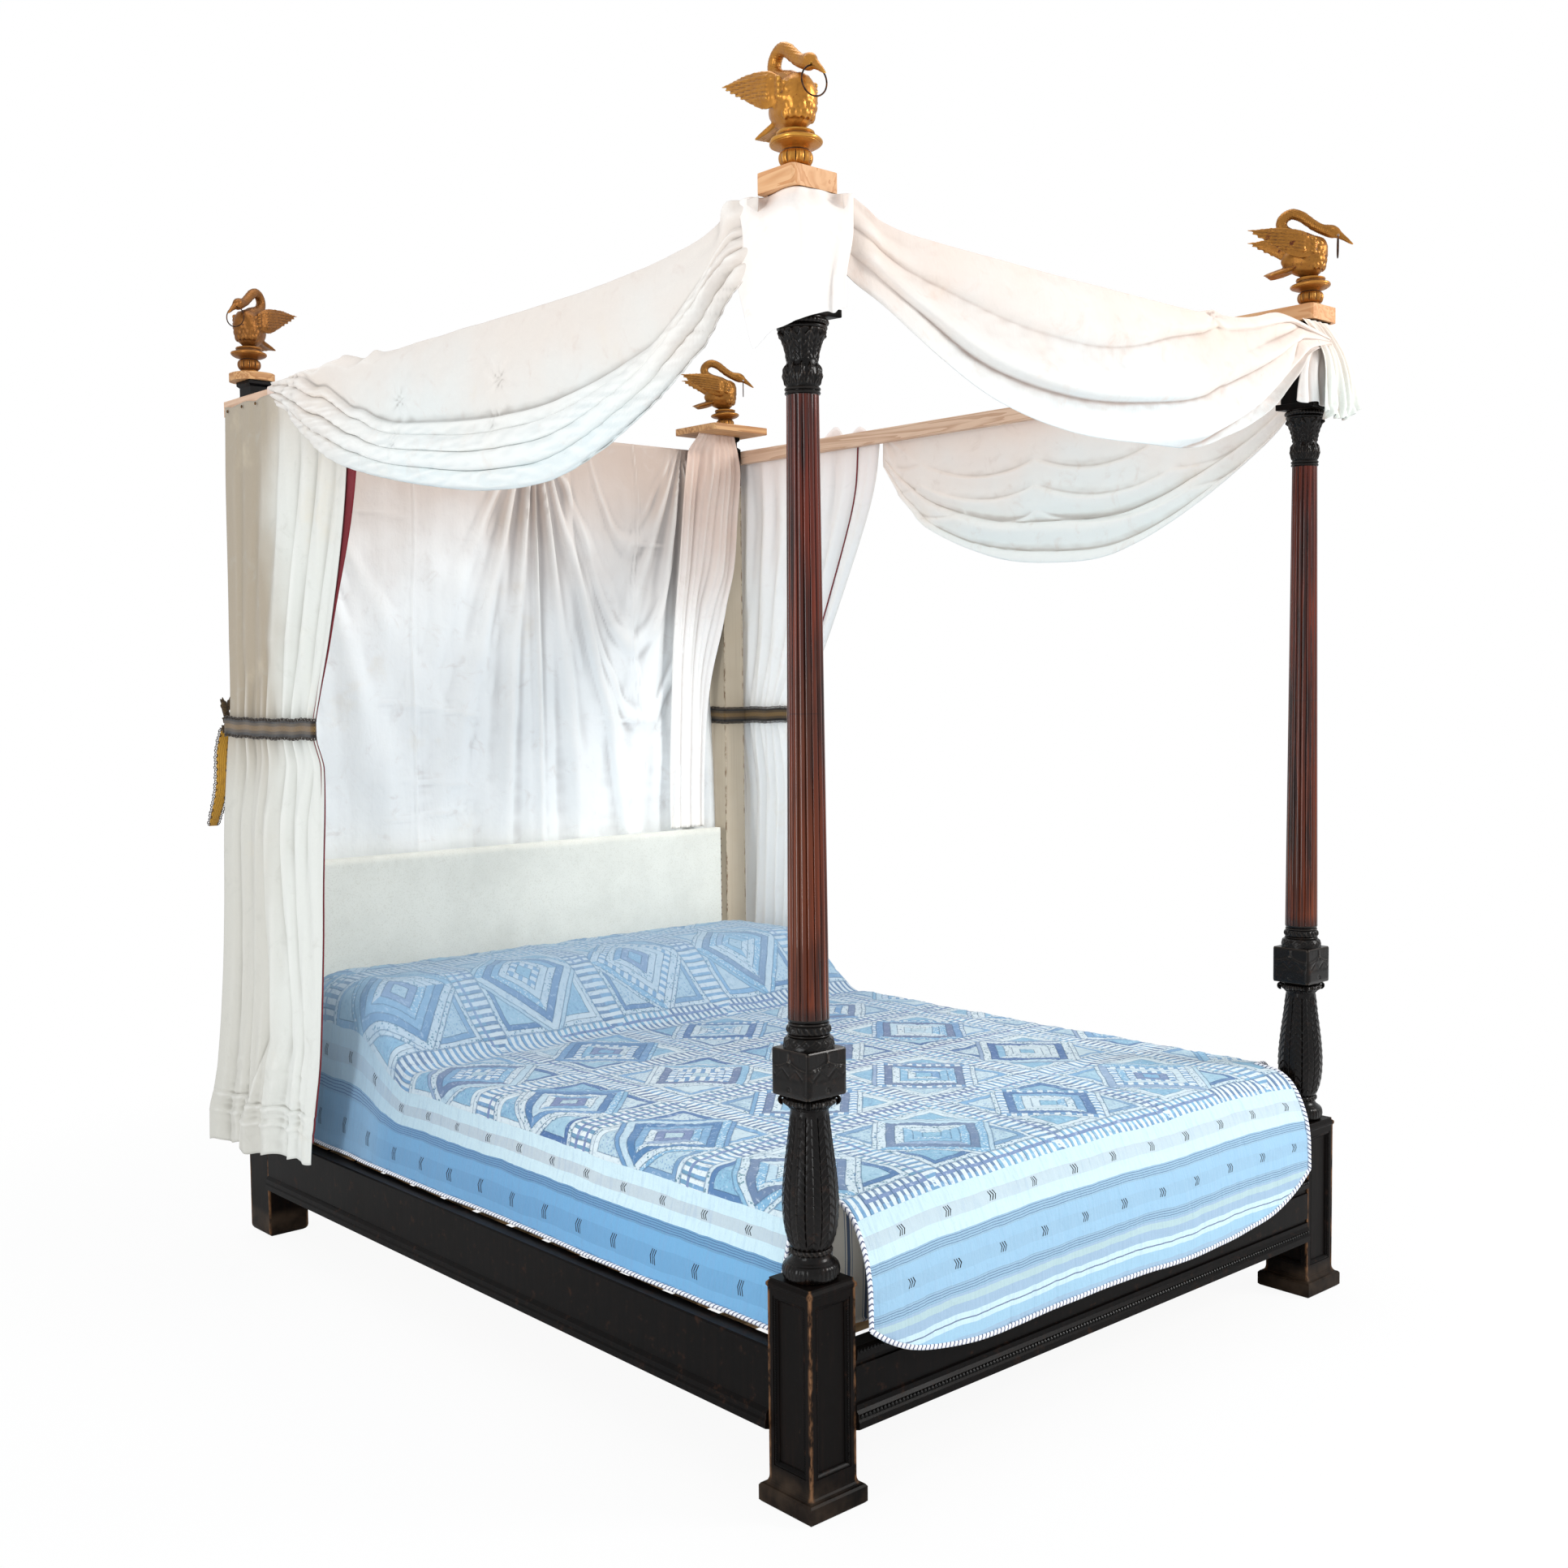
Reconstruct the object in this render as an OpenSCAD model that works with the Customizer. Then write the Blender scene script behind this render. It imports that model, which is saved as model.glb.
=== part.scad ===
// Four poster canopy bed: carved foot posts, plain head posts, swan finials with beak rings,
// pine tester battens, cotton hangings, upholstered headboard and a quilt over the mattress.
// Frame: origin on the floor under the middle of the bed, +X to the right seen from the foot,
// +Y towards the head, +Z up. Millimetres.

/* [Mattress] */
// Width of the mattress
mattress_w = 1500; // [1300:10:1700]
// Length of the mattress
mattress_l = 2000; // [1900:10:2150]
// Thickness of the mattress
mattress_h = 270; // [220:5:280]
// Plan radius of the mattress corners
mattress_corner_r = 60; // [40:5:90]
// Gap between the mattress end and the posts' bases
mattress_end_gap = 4; // [2:1:20]
// How far the post axes stand outside the mattress sides
post_outset = 50; // [44:1:90]
// Distance from a pillow to the mattress's side
pillow_margin = 46; // [30:1:120]
// Depth of one pillow, headboard to front
pillow_d = 430; // [340:10:480]
// Height of one pillow at its crown
pillow_h = 178; // [100:1:200]
// Gap between the two pillows
pillow_gap = 28; // [10:2:60]

/* [Bed frame] */
// Height of the rails' lower edge above the floor
rail_z = 132; // [90:2:180]
// Height of a rail, edge to edge
rail_h = 150; // [130:2:180]
// Thickness of a rail behind its mouldings
rail_t = 40; // [30:1:50]
// How far a rail's mouldings stand out
rail_mould = 9; // [4:1:14]
// Height of the slats' upper face above the floor
slat_top_z = 253; // [240:1:262]
// Thickness of a slat
slat_t = 18; // [12:1:24]
// Width of a slat
slat_w = 72; // [50:1:90]
// Number of slats
slat_count = 14; // [10:1:16]
// Section side of the ledger strips under the slats
ledger_s = 30; // [20:1:40]
// Diameter of a rail bolt
bolt_d = 10; // [8:1:14]
// Length of a rail bolt
bolt_l = 90; // [60:2:96]
// Radial clearance round a rail bolt
bolt_play = 0.3; // [0.2:0.1:0.6]
// How far the head rail's ends are let into the head legs
rail_let_in = 12; // [6:1:20]
// Clearance round the head rail's ends
rail_fit = 0.4; // [0.2:0.1:0.8]

/* [Post bases] */
// Side of the square plinth under a foot post
plinth_w = 110; // [100:1:124]
// Height of the plinth's top above the floor
plinth_h = 410; // [380:2:440]
// Side of the moulded foot under a plinth
foot_w = 138; // [126:1:150]
// Height of the moulded foot
foot_h = 50; // [36:1:64]
// Height of the cap moulding on a plinth
plinth_cap_h = 18; // [12:1:24]
// Width of the plain border round a plinth's sunk panel
panel_border = 13; // [9:1:18]
// Depth of a plinth's sunk panel
panel_depth = 7; // [3:0.5:9]
// Height of a head leg
head_leg_h = 450; // [400:5:500]
// Radius on the lower corners of a head leg
head_leg_r = 16; // [6:1:24]

/* [Posts] */
// Height of the square block's lower face
block_z = 740; // [700:2:780]
// Height of the square block
block_h = 83; // [70:1:96]
// Side of the square block
block_w = 95; // [86:1:104]
// Greatest diameter of the carved vase
vase_d = 101; // [90:1:108]
// Height at which the reeded column starts
column_z = 875; // [860:1:900]
// Diameter over the reeds at the foot of the column
column_d = 74; // [64:1:80]
// Diameter over the reeds at the head of the column
column_top_d = 57; // [48:1:62]
// Number of reeds round a column
reed_count = 16; // [12:1:20]
// Height at which the carved capital starts
capital_z = 1955; // [1900:5:2000]
// Height of the underside of the top block
top_block_z = 2100; // [2090:1:2130]
// Side of the top block
top_block_w = 80; // [70:1:90]
// Side of the square slab over a capital
abacus_w = 98; // [88:1:110]
// Side of a head post
head_post_w = 80; // [64:1:84]
// Diameter of the turned spigots between the pieces of a post
spigot_d = 34; // [24:1:38]
// Length of a spigot
spigot_l = 40; // [24:1:44]
// Clearance round a spigot
spigot_play = 0.4; // [0.2:0.1:1]

/* [Finials] */
// Height of the underside of the boards over the foot posts
board_z = 2295; // [2285:1:2310]
// Thickness of those boards
board_t = 35; // [25:1:40]
// Height of the underside of the boards over the head posts
head_board_z = 2266; // [2250:1:2280]
// Thickness of the head boards
head_board_t = 20; // [14:1:26]
// Height of a gilt pedestal
pedestal_h = 70; // [60:1:80]
// Diameter of a pedestal's flange
flange_d = 92; // [84:1:100]
// Height of a swan from its pedestal to the top of its neck
swan_h = 162; // [140:1:176]
// Heading of the swan over the left foot post, from +X towards +Y
foot_left_heading = -100; // [-120:1:-80]
// Heading of the swan over the right foot post
foot_right_heading = -57; // [-75:1:-40]
// Heading of the swan over the left head post
head_left_heading = -146; // [-160:1:-130]
// Heading of the swan over the right head post
head_right_heading = -41; // [-60:1:-30]
// Wire diameter of a beak ring
ring_wire_d = 3; // [2:0.5:3.5]
// Diameter of a beak ring to the middle of its wire
ring_d = 50; // [46:1:54]
// Gap between a beak ring's wire and its hole
ring_play = 0.35; // [0.2:0.05:0.6]

/* [Tester] */
// Height of the tester battens' upper edge
tester_top_z = 2215; // [2190:1:2240]
// Height of a tester batten's section
tester_h = 40; // [30:1:48]
// Thickness of a tester batten
tester_t = 25; // [18:1:30]
// How far a tester batten runs past its post
tester_over = 18; // [0:1:22]

/* [Hangings] */
// Thickness of the hanging cloth with its lining
cloth_t = 4; // [3:0.5:5]
// Gap between a cloth and what it hangs against
cloth_gap = 0.3; // [0.3:0.1:0.6]
// Depth of a side curtain's folds
curtain_fold = 38; // [20:1:50]
// Number of folds across a side curtain
curtain_folds = 6; // [4:1:7]
// Height of the side curtains' hem above the floor
curtain_hem_z = 205; // [180:5:260]
// How far a side curtain's hem flares out
curtain_flare = 34; // [0:1:45]
// How far the back edge of a side curtain's hem swings back
curtain_sweep = 56; // [0:2:70]
// Height of the middle of the tie-backs
tieback_z = 1363; // [1300:1:1420]
// Width of a tie-back's braid
tieback_w = 42; // [30:1:60]
// Thickness of a tie-back's braid
tieback_t = 3; // [2:0.5:4]
// Distance from a curtain's front edge to the outside of its tie-back
tieback_slack = 8; // [7:0.5:16]
// Length of a tie-back's hanging tail
tieback_tail_l = 250; // [200:5:300]
// How far the left swag stops short of its head post's axis
left_swag_short = 359; // [300:1:420]
// How far the right swag stops short of its head post's axis
right_swag_short = 679; // [600:1:740]
// How far the left swag hangs below the battens' upper edge
left_swag_drop = 350; // [280:2:380]
// How far the right swag hangs below the battens' upper edge
right_swag_drop = 432; // [360:2:450]
// How far the foot swag hangs below its upper edge
foot_swag_drop = 292; // [230:2:320]
// Height of the lower end of the drape over the right head board
drape_low_z = 1440; // [1400:5:1600]
// Width of that drape at its lower end
drape_w = 106; // [80:2:120]
// Length of the cloth round the left foot post's top block
left_tail_l = 205; // [180:1:220]
// Length of the cloth round the right foot post's top block
right_tail_l = 222; // [190:1:230]
// Depth of the swags' folds
swag_fold = 26; // [10:1:30]
// Number of main folds down a swag
swag_folds = 3; // [2:1:4]
// Depth of the back curtain's folds
back_fold = 34; // [10:1:38]
// Number of folds across the back curtain
back_folds = 7; // [5:1:9]

/* [Headboard and quilt] */
// How far the headboard stops short of the mattress's sides
headboard_inset = 15; // [10:1:60]
// Height of the headboard's upper edge
headboard_top_z = 997; // [940:1:1060]
// Height of the headboard's lower edge
headboard_low_z = 250; // [240:1:270]
// Thickness of the headboard
headboard_t = 36; // [24:1:40]
// Diameter of an upholstery nail's head
nail_d = 9; // [7:0.5:11]
// Spacing of the upholstery nails
nail_pitch = 38; // [26:1:60]
// Thickness of the quilt
quilt_t = 9; // [6:0.5:12]
// Height of the quilt's hem at the middle of the foot
quilt_foot_hem_z = 216; // [190:2:240]
// How far the quilt's foot hem rises towards its corners
quilt_hem_rise = 96; // [40:2:110]

/* [Hidden] */
$fn = 64;

// Places of the post axes.
post_x = mattress_w / 2 + post_outset;
post_y = mattress_l / 2 + mattress_end_gap + plinth_w / 2;
posts = [
    ["foot_left", -1, -1],
    ["foot_right", 1, -1],
    ["head_left", -1, 1],
    ["head_right", 1, 1]
];

// Heights that follow from the driving sizes.
block_top_z = block_z + block_h;
rail_top_z = rail_z + rail_h;
mattress_top_z = slat_top_z + mattress_h;
ledger_top_z = slat_top_z - slat_t;

// Widths that follow from the mattress.
headboard_w = mattress_w - 2 * headboard_inset;
pillow_w = (mattress_w - pillow_gap) / 2 - pillow_margin;

// Faces that pieces share.
rail_out_x = post_x + plinth_w / 2;
rail_in_x = rail_out_x - rail_t;
rail_out_y = post_y + plinth_w / 2;
plinth_in_x = post_x - plinth_w / 2;
plinth_in_y = post_y - plinth_w / 2;
tester_in_x = post_x + top_block_w / 2;
tester_out_x = tester_in_x + tester_t;
tester_in_y = post_y + top_block_w / 2;
tester_out_y = tester_in_y + tester_t;
headboard_back_y = plinth_in_y + headboard_t;

// The beak ring: how far its arc dips inside the beak sets the hole it needs.
beak_half_w = 6.5;
ring_sag = ring_d / 2 - sqrt(pow(ring_d / 2, 2) - pow(beak_half_w, 2));
beak_hole_r = ring_sag + ring_wire_d / 2 + ring_play;

// ---------------------------------------------------------------- helpers

function lerp(a, b, t) = a + (b - a) * t;
function clamp01(t) = min(1, max(0, t));
function ease(a, b, x) = let (t = clamp01((x - a) / (b - a))) t * t * (3 - 2 * t);
function steps(n) = [for (i = [0 : n]) i / n];

// Corner points of a rectangle with rounded corners, centred on the origin.
function rounded_rect(w, l, r, n = 8) = [
    for (c = [[1, 1, 0], [-1, 1, 90], [-1, -1, 180], [1, -1, 270]], i = [0 : n])
        let (a = c[2] + 90 * i / n)
            [c[0] * (w / 2 - r) + r * cos(a), c[1] * (l / 2 - r) + r * sin(a)]
];

// Half of a round moulding in a turned outline, from one height up to the next.
function bead(r, out, z0, z1, n = 6) = [
    for (i = [0 : n]) let (a = 180 * i / n) [r + out * sin(a), lerp(z0, z1, (1 - cos(a)) / 2)]
];

// A closed thin solid between two grids of points. Rows run down, columns run from left to
// right as seen from the outer side, and shown(i, j) tells which cells the sheet has.
module sheet(outer, inner, shown = function(i, j) true) {
    rows = len(outer) - 1;
    cols = len(outer[0]) - 1;
    count = (rows + 1) * (cols + 1);
    at = function(i, j) i * (cols + 1) + j;
    has = function(i, j) i >= 0 && j >= 0 && i < rows && j < cols && shown(i, j);
    faces = [
        for (i = [0 : rows - 1], j = [0 : cols - 1]) if (shown(i, j))
            let (a = at(i, j), b = at(i, j + 1), c = at(i + 1, j + 1), d = at(i + 1, j),
                 wall = function(p, q) [[q, p, p + count], [q, p + count, q + count]])
                each concat(
                    [[a, b, c], [a, c, d]],
                    [[a + count, c + count, b + count], [a + count, d + count, c + count]],
                    has(i - 1, j) ? [] : wall(a, b),
                    has(i, j + 1) ? [] : wall(b, c),
                    has(i + 1, j) ? [] : wall(c, d),
                    has(i, j - 1) ? [] : wall(d, a)
                )
    ];
    points = [for (row = concat(outer, inner)) each row];
    polyhedron(points = points, faces = faces);
}

// A closed solid through a list of rings with the same number of points.
module skin(rings) {
    n = len(rings[0]);
    last = len(rings) - 1;
    sides = [
        for (k = [0 : last - 1], i = [0 : n - 1])
            let (a = k * n + i, b = k * n + (i + 1) % n)
                each [[a, b, b + n], [a, b + n, a + n]]
    ];
    caps = [
        for (i = [1 : n - 2]) each [[0, i + 1, i], [last * n, last * n + i, last * n + i + 1]]
    ];
    polyhedron(points = [for (r = rings) each r], faces = concat(sides, caps));
}

module at_post(p) translate([p[1] * post_x, p[2] * post_y, 0]) children();

// A spigot hangs below the piece it is turned on; its socket is cut in the piece beneath.
module spigot(z) translate([0, 0, z - spigot_l]) cylinder(d = spigot_d, h = spigot_l + 1);
module socket(z)
    translate([0, 0, z - spigot_l - spigot_play])
        cylinder(d = spigot_d + 2 * spigot_play, h = spigot_l + spigot_play + 1);

// ---------------------------------------------------------------- posts

// Square prism whose four sides follow one outline of [half width, height] points.
module square_moulding(outline) {
    side = concat(outline, [for (i = [len(outline) - 1 : -1 : 0]) [-outline[i][0], outline[i][1]]]);
    reach = 2 * max([for (p = outline) p[0]]) + 2;
    intersection() {
        rotate([90, 0, 0]) linear_extrude(height = reach, center = true) polygon(side);
        rotate([90, 0, 90]) linear_extrude(height = reach, center = true) polygon(side);
    }
}

module plinth(p) {
    half = plinth_w / 2;
    foot = foot_w / 2;
    panel_z = foot_h + panel_border + 8;
    panel_h = plinth_h - plinth_cap_h - panel_border - panel_z;
    panel_w = plinth_w - 2 * panel_border;
    outline = concat(
        [[foot - 4, 0], [foot, 4], [foot, foot_h * 0.62], [foot - 3, foot_h * 0.7]],
        [for (i = [1 : 5]) [lerp(foot - 3, half, sin(18 * i)), lerp(foot_h * 0.7, foot_h, 1 - cos(18 * i))]],
        [[half, plinth_h - plinth_cap_h], [half + 2.5, plinth_h - plinth_cap_h + 4],
         [half + 2.5, plinth_h - 9], [half - 2, plinth_h - 4], [half - 2, plinth_h]]
    );
    color([0.09, 0.07, 0.06]) at_post(p) difference() {
        square_moulding(outline);
        for (a = [0 : 90 : 270]) rotate(a) {
            translate([half - panel_depth, -panel_w / 2 + 6, panel_z + 6])
                cube([panel_depth + 1, panel_w - 12, panel_h - 12]);
            translate([half - panel_depth / 2, -panel_w / 2, panel_z])
                cube([panel_depth, panel_w, panel_h]);
        }
        socket(plinth_h);
        bolt_bores(p);
    }
}

// Bores in a leg for its rail bolts: one along the side rail, and one along the foot rail.
module bolt_bores(p) {
    face = plinth_w / 2 + 1;
    line = plinth_w / 2 - bolt_inset;
    translate([p[1] * line, -p[2] * face, bolt_z(0)]) rotate([-90 * p[2], 0, 0])
        cylinder(r = bolt_d / 2 + bolt_play, h = bolt_l / 2 + 2);
    if (p[2] < 0)
        translate([-p[1] * face, -line, bolt_z(1)]) rotate([0, 90 * p[1], 0])
            cylinder(r = bolt_d / 2 + bolt_play, h = bolt_l / 2 + 2);
}

// Side rails are bolted low, end rails high, so that the bolts pass each other.
function bolt_z(k) = rail_z + rail_h * (k == 0 ? 0.35 : 0.62);
bolt_inset = rail_t / 2 + 2;

module vase(p) {
    neck = 34;
    top = block_z;
    base = plinth_h;
    belly = vase_d / 2;
    outline = concat(
        [[0, base], [46, base]],
        bead(46, 6, base, base + 32, 6),
        [[40, base + 34], [35, base + 40], [34, base + 44]],
        bead(34, 4, base + 45, base + 57, 5),
        [for (i = [0 : 12]) let (t = i / 12)
            [lerp(36, neck, t) + (belly - 35.4) * pow(sin(180 * pow(t, 0.62)), 1.3),
             lerp(base + 58, top - 26, t)]],
        [[37, top - 22], [45, top - 16], [47.5, top - 12], [46, top - 8], [40, top - 4], [38, top]],
        [[0, top]]
    );
    color([0.08, 0.08, 0.08]) at_post(p) difference() {
        union() {
            rotate_extrude() polygon(outline);
            spigot(base);
        }
        socket(top);
    }
}

module block(p) {
    top = block_top_z;
    outline = concat(
        [[0, top - 1], [45.5, top - 1], [45.5, top + 2]],
        [for (i = [0 : 5]) let (a = 90 * i / 5) [39 + 6.5 * cos(a), top + 2 + 18 * sin(a)]],
        [[37.5, top + 21], [37.5, top + 24]],
        bead(36, 4.5, top + 25, top + 41, 6),
        [[34, top + 44], [33, column_z]],
        [[0, column_z]]
    );
    color([0.08, 0.08, 0.08]) at_post(p) difference() {
        union() {
            square_moulding([
                [block_w / 2 - 2, block_z], [block_w / 2, block_z + 2],
                [block_w / 2, top - 2], [block_w / 2 - 2, top]
            ]);
            rotate_extrude() polygon(outline);
            spigot(block_z);
        }
        socket(column_z);
    }
}

// Outline of a reeded shaft: rounded reeds that meet in sharp quirks.
function reeded(d, reeds, n = 6) =
    let (quirk = d / 2 * 0.93, deep = d / 2 - quirk)
        [for (k = [0 : reeds - 1], i = [0 : n - 1])
            let (a = 360 * (k + i / n) / reeds, r = quirk + deep * sin(180 * i / n))
                [r * cos(a), r * sin(a)]];

module column(p) {
    color([0.38, 0.13, 0.06]) at_post(p) difference() {
        union() {
            translate([0, 0, column_z])
                linear_extrude(height = capital_z - column_z, scale = column_top_d / column_d)
                    polygon(reeded(column_d, reed_count));
            spigot(column_z);
        }
        socket(capital_z);
    }
}

// Carved capital: neck ring, swelling, waist, flared bell and a square slab with drawn-out corners.
module capital_turning(z, h) {
    outline = concat(
        [[0, z], [28, z]],
        bead(28, 3.5, z + 2, z + 12, 4),
        [[28.5, z + 15], [32, z + 24], [33.5, z + 34], [31.5, z + 46], [27.5, z + 55]],
        [[26.7, z + 62], [29, z + 76], [34, z + 92], [41, z + 106], [44.5, z + 112]],
        bead(43, 5, z + 113, z + 127, 5),
        [[41, z + 129], [41, z + h]],
        [[0, z + h]]
    );
    rotate_extrude() polygon(outline);
}

module capital(p) {
    slab_t = 14;
    height = top_block_z - capital_z - slab_t;
    color([0.07, 0.07, 0.07]) at_post(p) difference() {
        union() {
            capital_turning(capital_z, height);
            abacus(top_block_z - slab_t, slab_t);
            spigot(capital_z);
        }
        socket(top_block_z);
    }
}

// Square slab whose sides are hollowed, so that its corners point out.
module abacus(z, t) {
    half = abacus_w / 2;
    side = [for (i = [0 : 8]) let (s = lerp(-1, 1, i / 8)) [half * s, -half + 5 * (1 - s * s)]];
    translate([0, 0, z]) linear_extrude(height = t)
        polygon([for (k = [0 : 3], i = [0 : 7]) let (q = side[i])
            [q[0] * cos(90 * k) - q[1] * sin(90 * k), q[0] * sin(90 * k) + q[1] * cos(90 * k)]]);
}

module top_block(k) {
    color([0.07, 0.06, 0.05]) at_post(posts[k]) union() {
        translate([-top_block_w / 2, -top_block_w / 2, top_block_z])
            cube([top_block_w, top_block_w, boards[k][5] - top_block_z]);
        spigot(top_block_z);
    }
}

module head_leg(p) {
    half = plinth_w / 2;
    outline = concat(
        [for (i = [0 : 4]) let (a = 22.5 * i)
            [half - head_leg_r + head_leg_r * sin(a), head_leg_r * (1 - cos(a))]],
        [[half, head_leg_h - 4], [half - 4, head_leg_h]]
    );
    color([0.06, 0.06, 0.06]) at_post(p) difference() {
        square_moulding(outline);
        socket(head_leg_h);
        bolt_bores(p);
        if (p[2] > 0) head_rail_housing(p);
    }
}

// The head rail stands forward of the bolts' line, so its end is let into the leg.
module head_rail_housing(p) {
    translate([p[1] < 0 ? plinth_w / 2 - rail_let_in : -plinth_w / 2 - 1,
               headboard_back_y - post_y - rail_fit, rail_z - rail_fit])
        cube([rail_let_in + 1, rail_t + 2 * rail_fit, rail_h + 2 * rail_fit]);
}

module head_post(p) {
    color([0.86, 0.82, 0.74]) at_post(p) difference() {
        union() {
            translate([-head_post_w / 2, -head_post_w / 2, head_leg_h])
                cube([head_post_w, head_post_w, top_block_z - head_leg_h]);
            spigot(head_leg_h);
        }
        socket(top_block_z);
    }
}

module head_capital(k) {
    top = boards[k][5];
    half = head_post_w / 2;
    color([0.06, 0.06, 0.06]) at_post(posts[k]) union() {
        square_moulding([
            [half - 4, top_block_z], [half, top_block_z + 4], [half, tester_top_z + 6],
            [half - 8, tester_top_z + 14], [half - 8, top - 16], [half - 2, top - 10], [half - 2, top]
        ]);
        spigot(top_block_z);
    }
}

// ---------------------------------------------------------------- finials

// Boards: [length along X, length along Y, shift along X, shift along Y, corner radius,
// height of the underside, thickness].
boards = [
    [108, 96, -4, 4, 10, board_z, board_t],
    [108, 268, 0, 84, 12, board_z - 9, board_t],
    [112, 112, -8, 8, 50, head_board_z, head_board_t],
    [226, 208, -42, -42, 16, head_board_z - 6, head_board_t]
];

// Finials: [heading from +X towards +Y, shift of the axis along X, shift along Y].
finials = [
    [foot_left_heading, -6, 5],
    [foot_right_heading, 8, -7],
    [head_left_heading, -13, 12],
    [head_right_heading, 6, -5]
];

module board(k) {
    b = boards[k];
    color([0.83, 0.60, 0.38]) at_post(posts[k])
        translate([b[2], b[3], b[5]]) linear_extrude(height = b[6])
            polygon(rounded_rect(b[0], b[1], b[4], b[4] > 30 ? 10 : 3));
}

// Moves a finial's piece, drawn on Z = 0, to stand on its board.
module at_finial(k)
    at_post(posts[k])
        translate([finials[k][1], finials[k][2], boards[k][5] + boards[k][6]]) children();

module pedestal(k) {
    flange = flange_d / 2;
    outline = concat(
        [[0, 0], [25.5, 0], [25.5, 4]],
        bead(22, 4, 4, 11, 4),
        [[22, 12]],
        [for (i = [0 : 6]) let (a = 180 * i / 6) [22.5 + 6.5 * sin(a), 12 + 25 * (1 - cos(a)) / 2]],
        [[23, 39], [27, 42], [flange - 9, 44], [flange - 2, 48]],
        bead(flange - 3, 3, 49, 57, 4),
        [[flange - 9, 58], [flange - 14, 63], [flange - 15, pedestal_h]],
        [[0, pedestal_h]]
    );
    color([0.78, 0.55, 0.22]) at_finial(k) rotate_extrude() polygon(outline);
}

// The swan is drawn 160 high, facing +X, standing at its pedestal's centre, then set to size.
swan_drawn_h = 160;
swan_scale = swan_h / swan_drawn_h;

// Stations along X: [x, middle height, half height, half width].
swan_body = [
    [-64, 40, 5, 8], [-52, 42, 20, 20], [-34, 44, 36, 30], [-12, 47, 47, 35.5], [8, 48, 48, 35.5],
    [22, 51, 41, 30], [32, 56, 28, 21], [37, 60, 12, 9]
];
swan_tail = [[-34, 24, 16, 26], [-58, 20, 13, 24], [-80, 15, 10, 20], [-98, 11, 6, 13], [-106, 9, 2, 6]];

// Wing stations: [x, middle height, half height, distance from the middle, half thickness].
swan_wing = [
    [8, 64, 10, 28, 5], [-8, 66, 27, 34, 7], [-28, 70, 33, 40, 7], [-52, 77, 30, 45, 6],
    [-82, 87, 22, 50, 4.5], [-112, 96, 12, 55, 3], [-140, 101, 3, 60, 1.6]
];

// Neck, head and beak: [x, height, radius, share of the radius kept sideways].
swan_neck = [
    [8, 76, 18, 1], [-16, 88, 17, 1], [-42, 97, 15.5, 0.95], [-61, 111, 14, 0.9], [-66, 128, 13, 0.9],
    [-57, 142, 12.5, 0.9], [-41, 147, 12.5, 0.9], [-22, 140, 12.5, 0.9], [-5, 126, 12, 0.9],
    [12, 113, 12, 0.9], [29, 105, 12.5, 0.9], [45, 101, 15, 0.75], [58, 96, 12.5, 0.52],
    [67, 89, 7.5, 0.62], [80, 79, 4.6, 0.75], [92, 69, 2, 0.8]
];
beak_pivot = [59, 92];

function station_ring(x, z, rz, y, ry, n, floor_z = 0) = [
    for (i = [0 : n - 1]) let (a = 360 * (i + 0.5) / n)
        [x, y + ry * cos(a), max(floor_z, z + rz * sin(a))]
];

function neck_ring(k, n) =
    let (last = len(swan_neck) - 1,
         back = swan_neck[max(0, k - 1)], on = swan_neck[min(last, k + 1)], here = swan_neck[k],
         run = [on[0] - back[0], on[1] - back[1]], unit = run / norm(run))
        [for (i = [0 : n - 1]) let (a = 360 * (i + 0.5) / n, up = here[2] * sin(a))
            [here[0] - unit[1] * up, here[2] * here[3] * cos(a), here[1] + unit[0] * up]];

module swan_forms() {
    skin([for (k = [len(swan_body) - 1 : -1 : 0]) let (s = swan_body[k])
        station_ring(s[0], s[1], s[2], 0, s[3], 14)]);
    skin([for (s = swan_tail) station_ring(s[0], s[1], s[2], 0, s[3], 8, 2)]);
    for (side = [-1, 1])
        skin([for (s = swan_wing) station_ring(s[0], s[1], s[2], side * s[3], s[4], 8)]);
    skin([for (k = [len(swan_neck) - 1 : -1 : 0]) neck_ring(k, 10)]);
}

module swan(k) {
    color([0.80, 0.56, 0.22]) at_finial(k) translate([0, 0, pedestal_h]) rotate(finials[k][0]) difference() {
        resize([0, 0, swan_h], auto = true) swan_forms();
        translate([beak_pivot[0] * swan_scale, 0, beak_pivot[1] * swan_scale])
            rotate([90, 0, 0]) cylinder(r = beak_hole_r, h = 60, center = true);
    }
}

module beak_ring(k) {
    color([0.25, 0.22, 0.20]) at_finial(k) translate([0, 0, pedestal_h]) rotate(finials[k][0])
        translate([beak_pivot[0] * swan_scale, 0, beak_pivot[1] * swan_scale - ring_d / 2])
            rotate([0, 90, 0]) rotate_extrude() translate([ring_d / 2, 0]) circle(d = ring_wire_d, $fn = 32);
}

// ---------------------------------------------------------------- tester battens

module tester_batten_side(side) {
    reach_head = tester_in_y + tester_over;
    color([0.84, 0.66, 0.44])
        translate([side < 0 ? -tester_out_x : tester_in_x, -tester_in_y, tester_top_z - tester_h])
            cube([tester_t, tester_in_y + reach_head, tester_h]);
}

module tester_batten_end(side) {
    half = tester_in_x;
    color([0.84, 0.66, 0.44])
        translate([-half, side < 0 ? -tester_out_y : tester_in_y, tester_top_z - tester_h])
            cube([2 * half, tester_t, tester_h]);
}

// ---------------------------------------------------------------- bed frame

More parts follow.
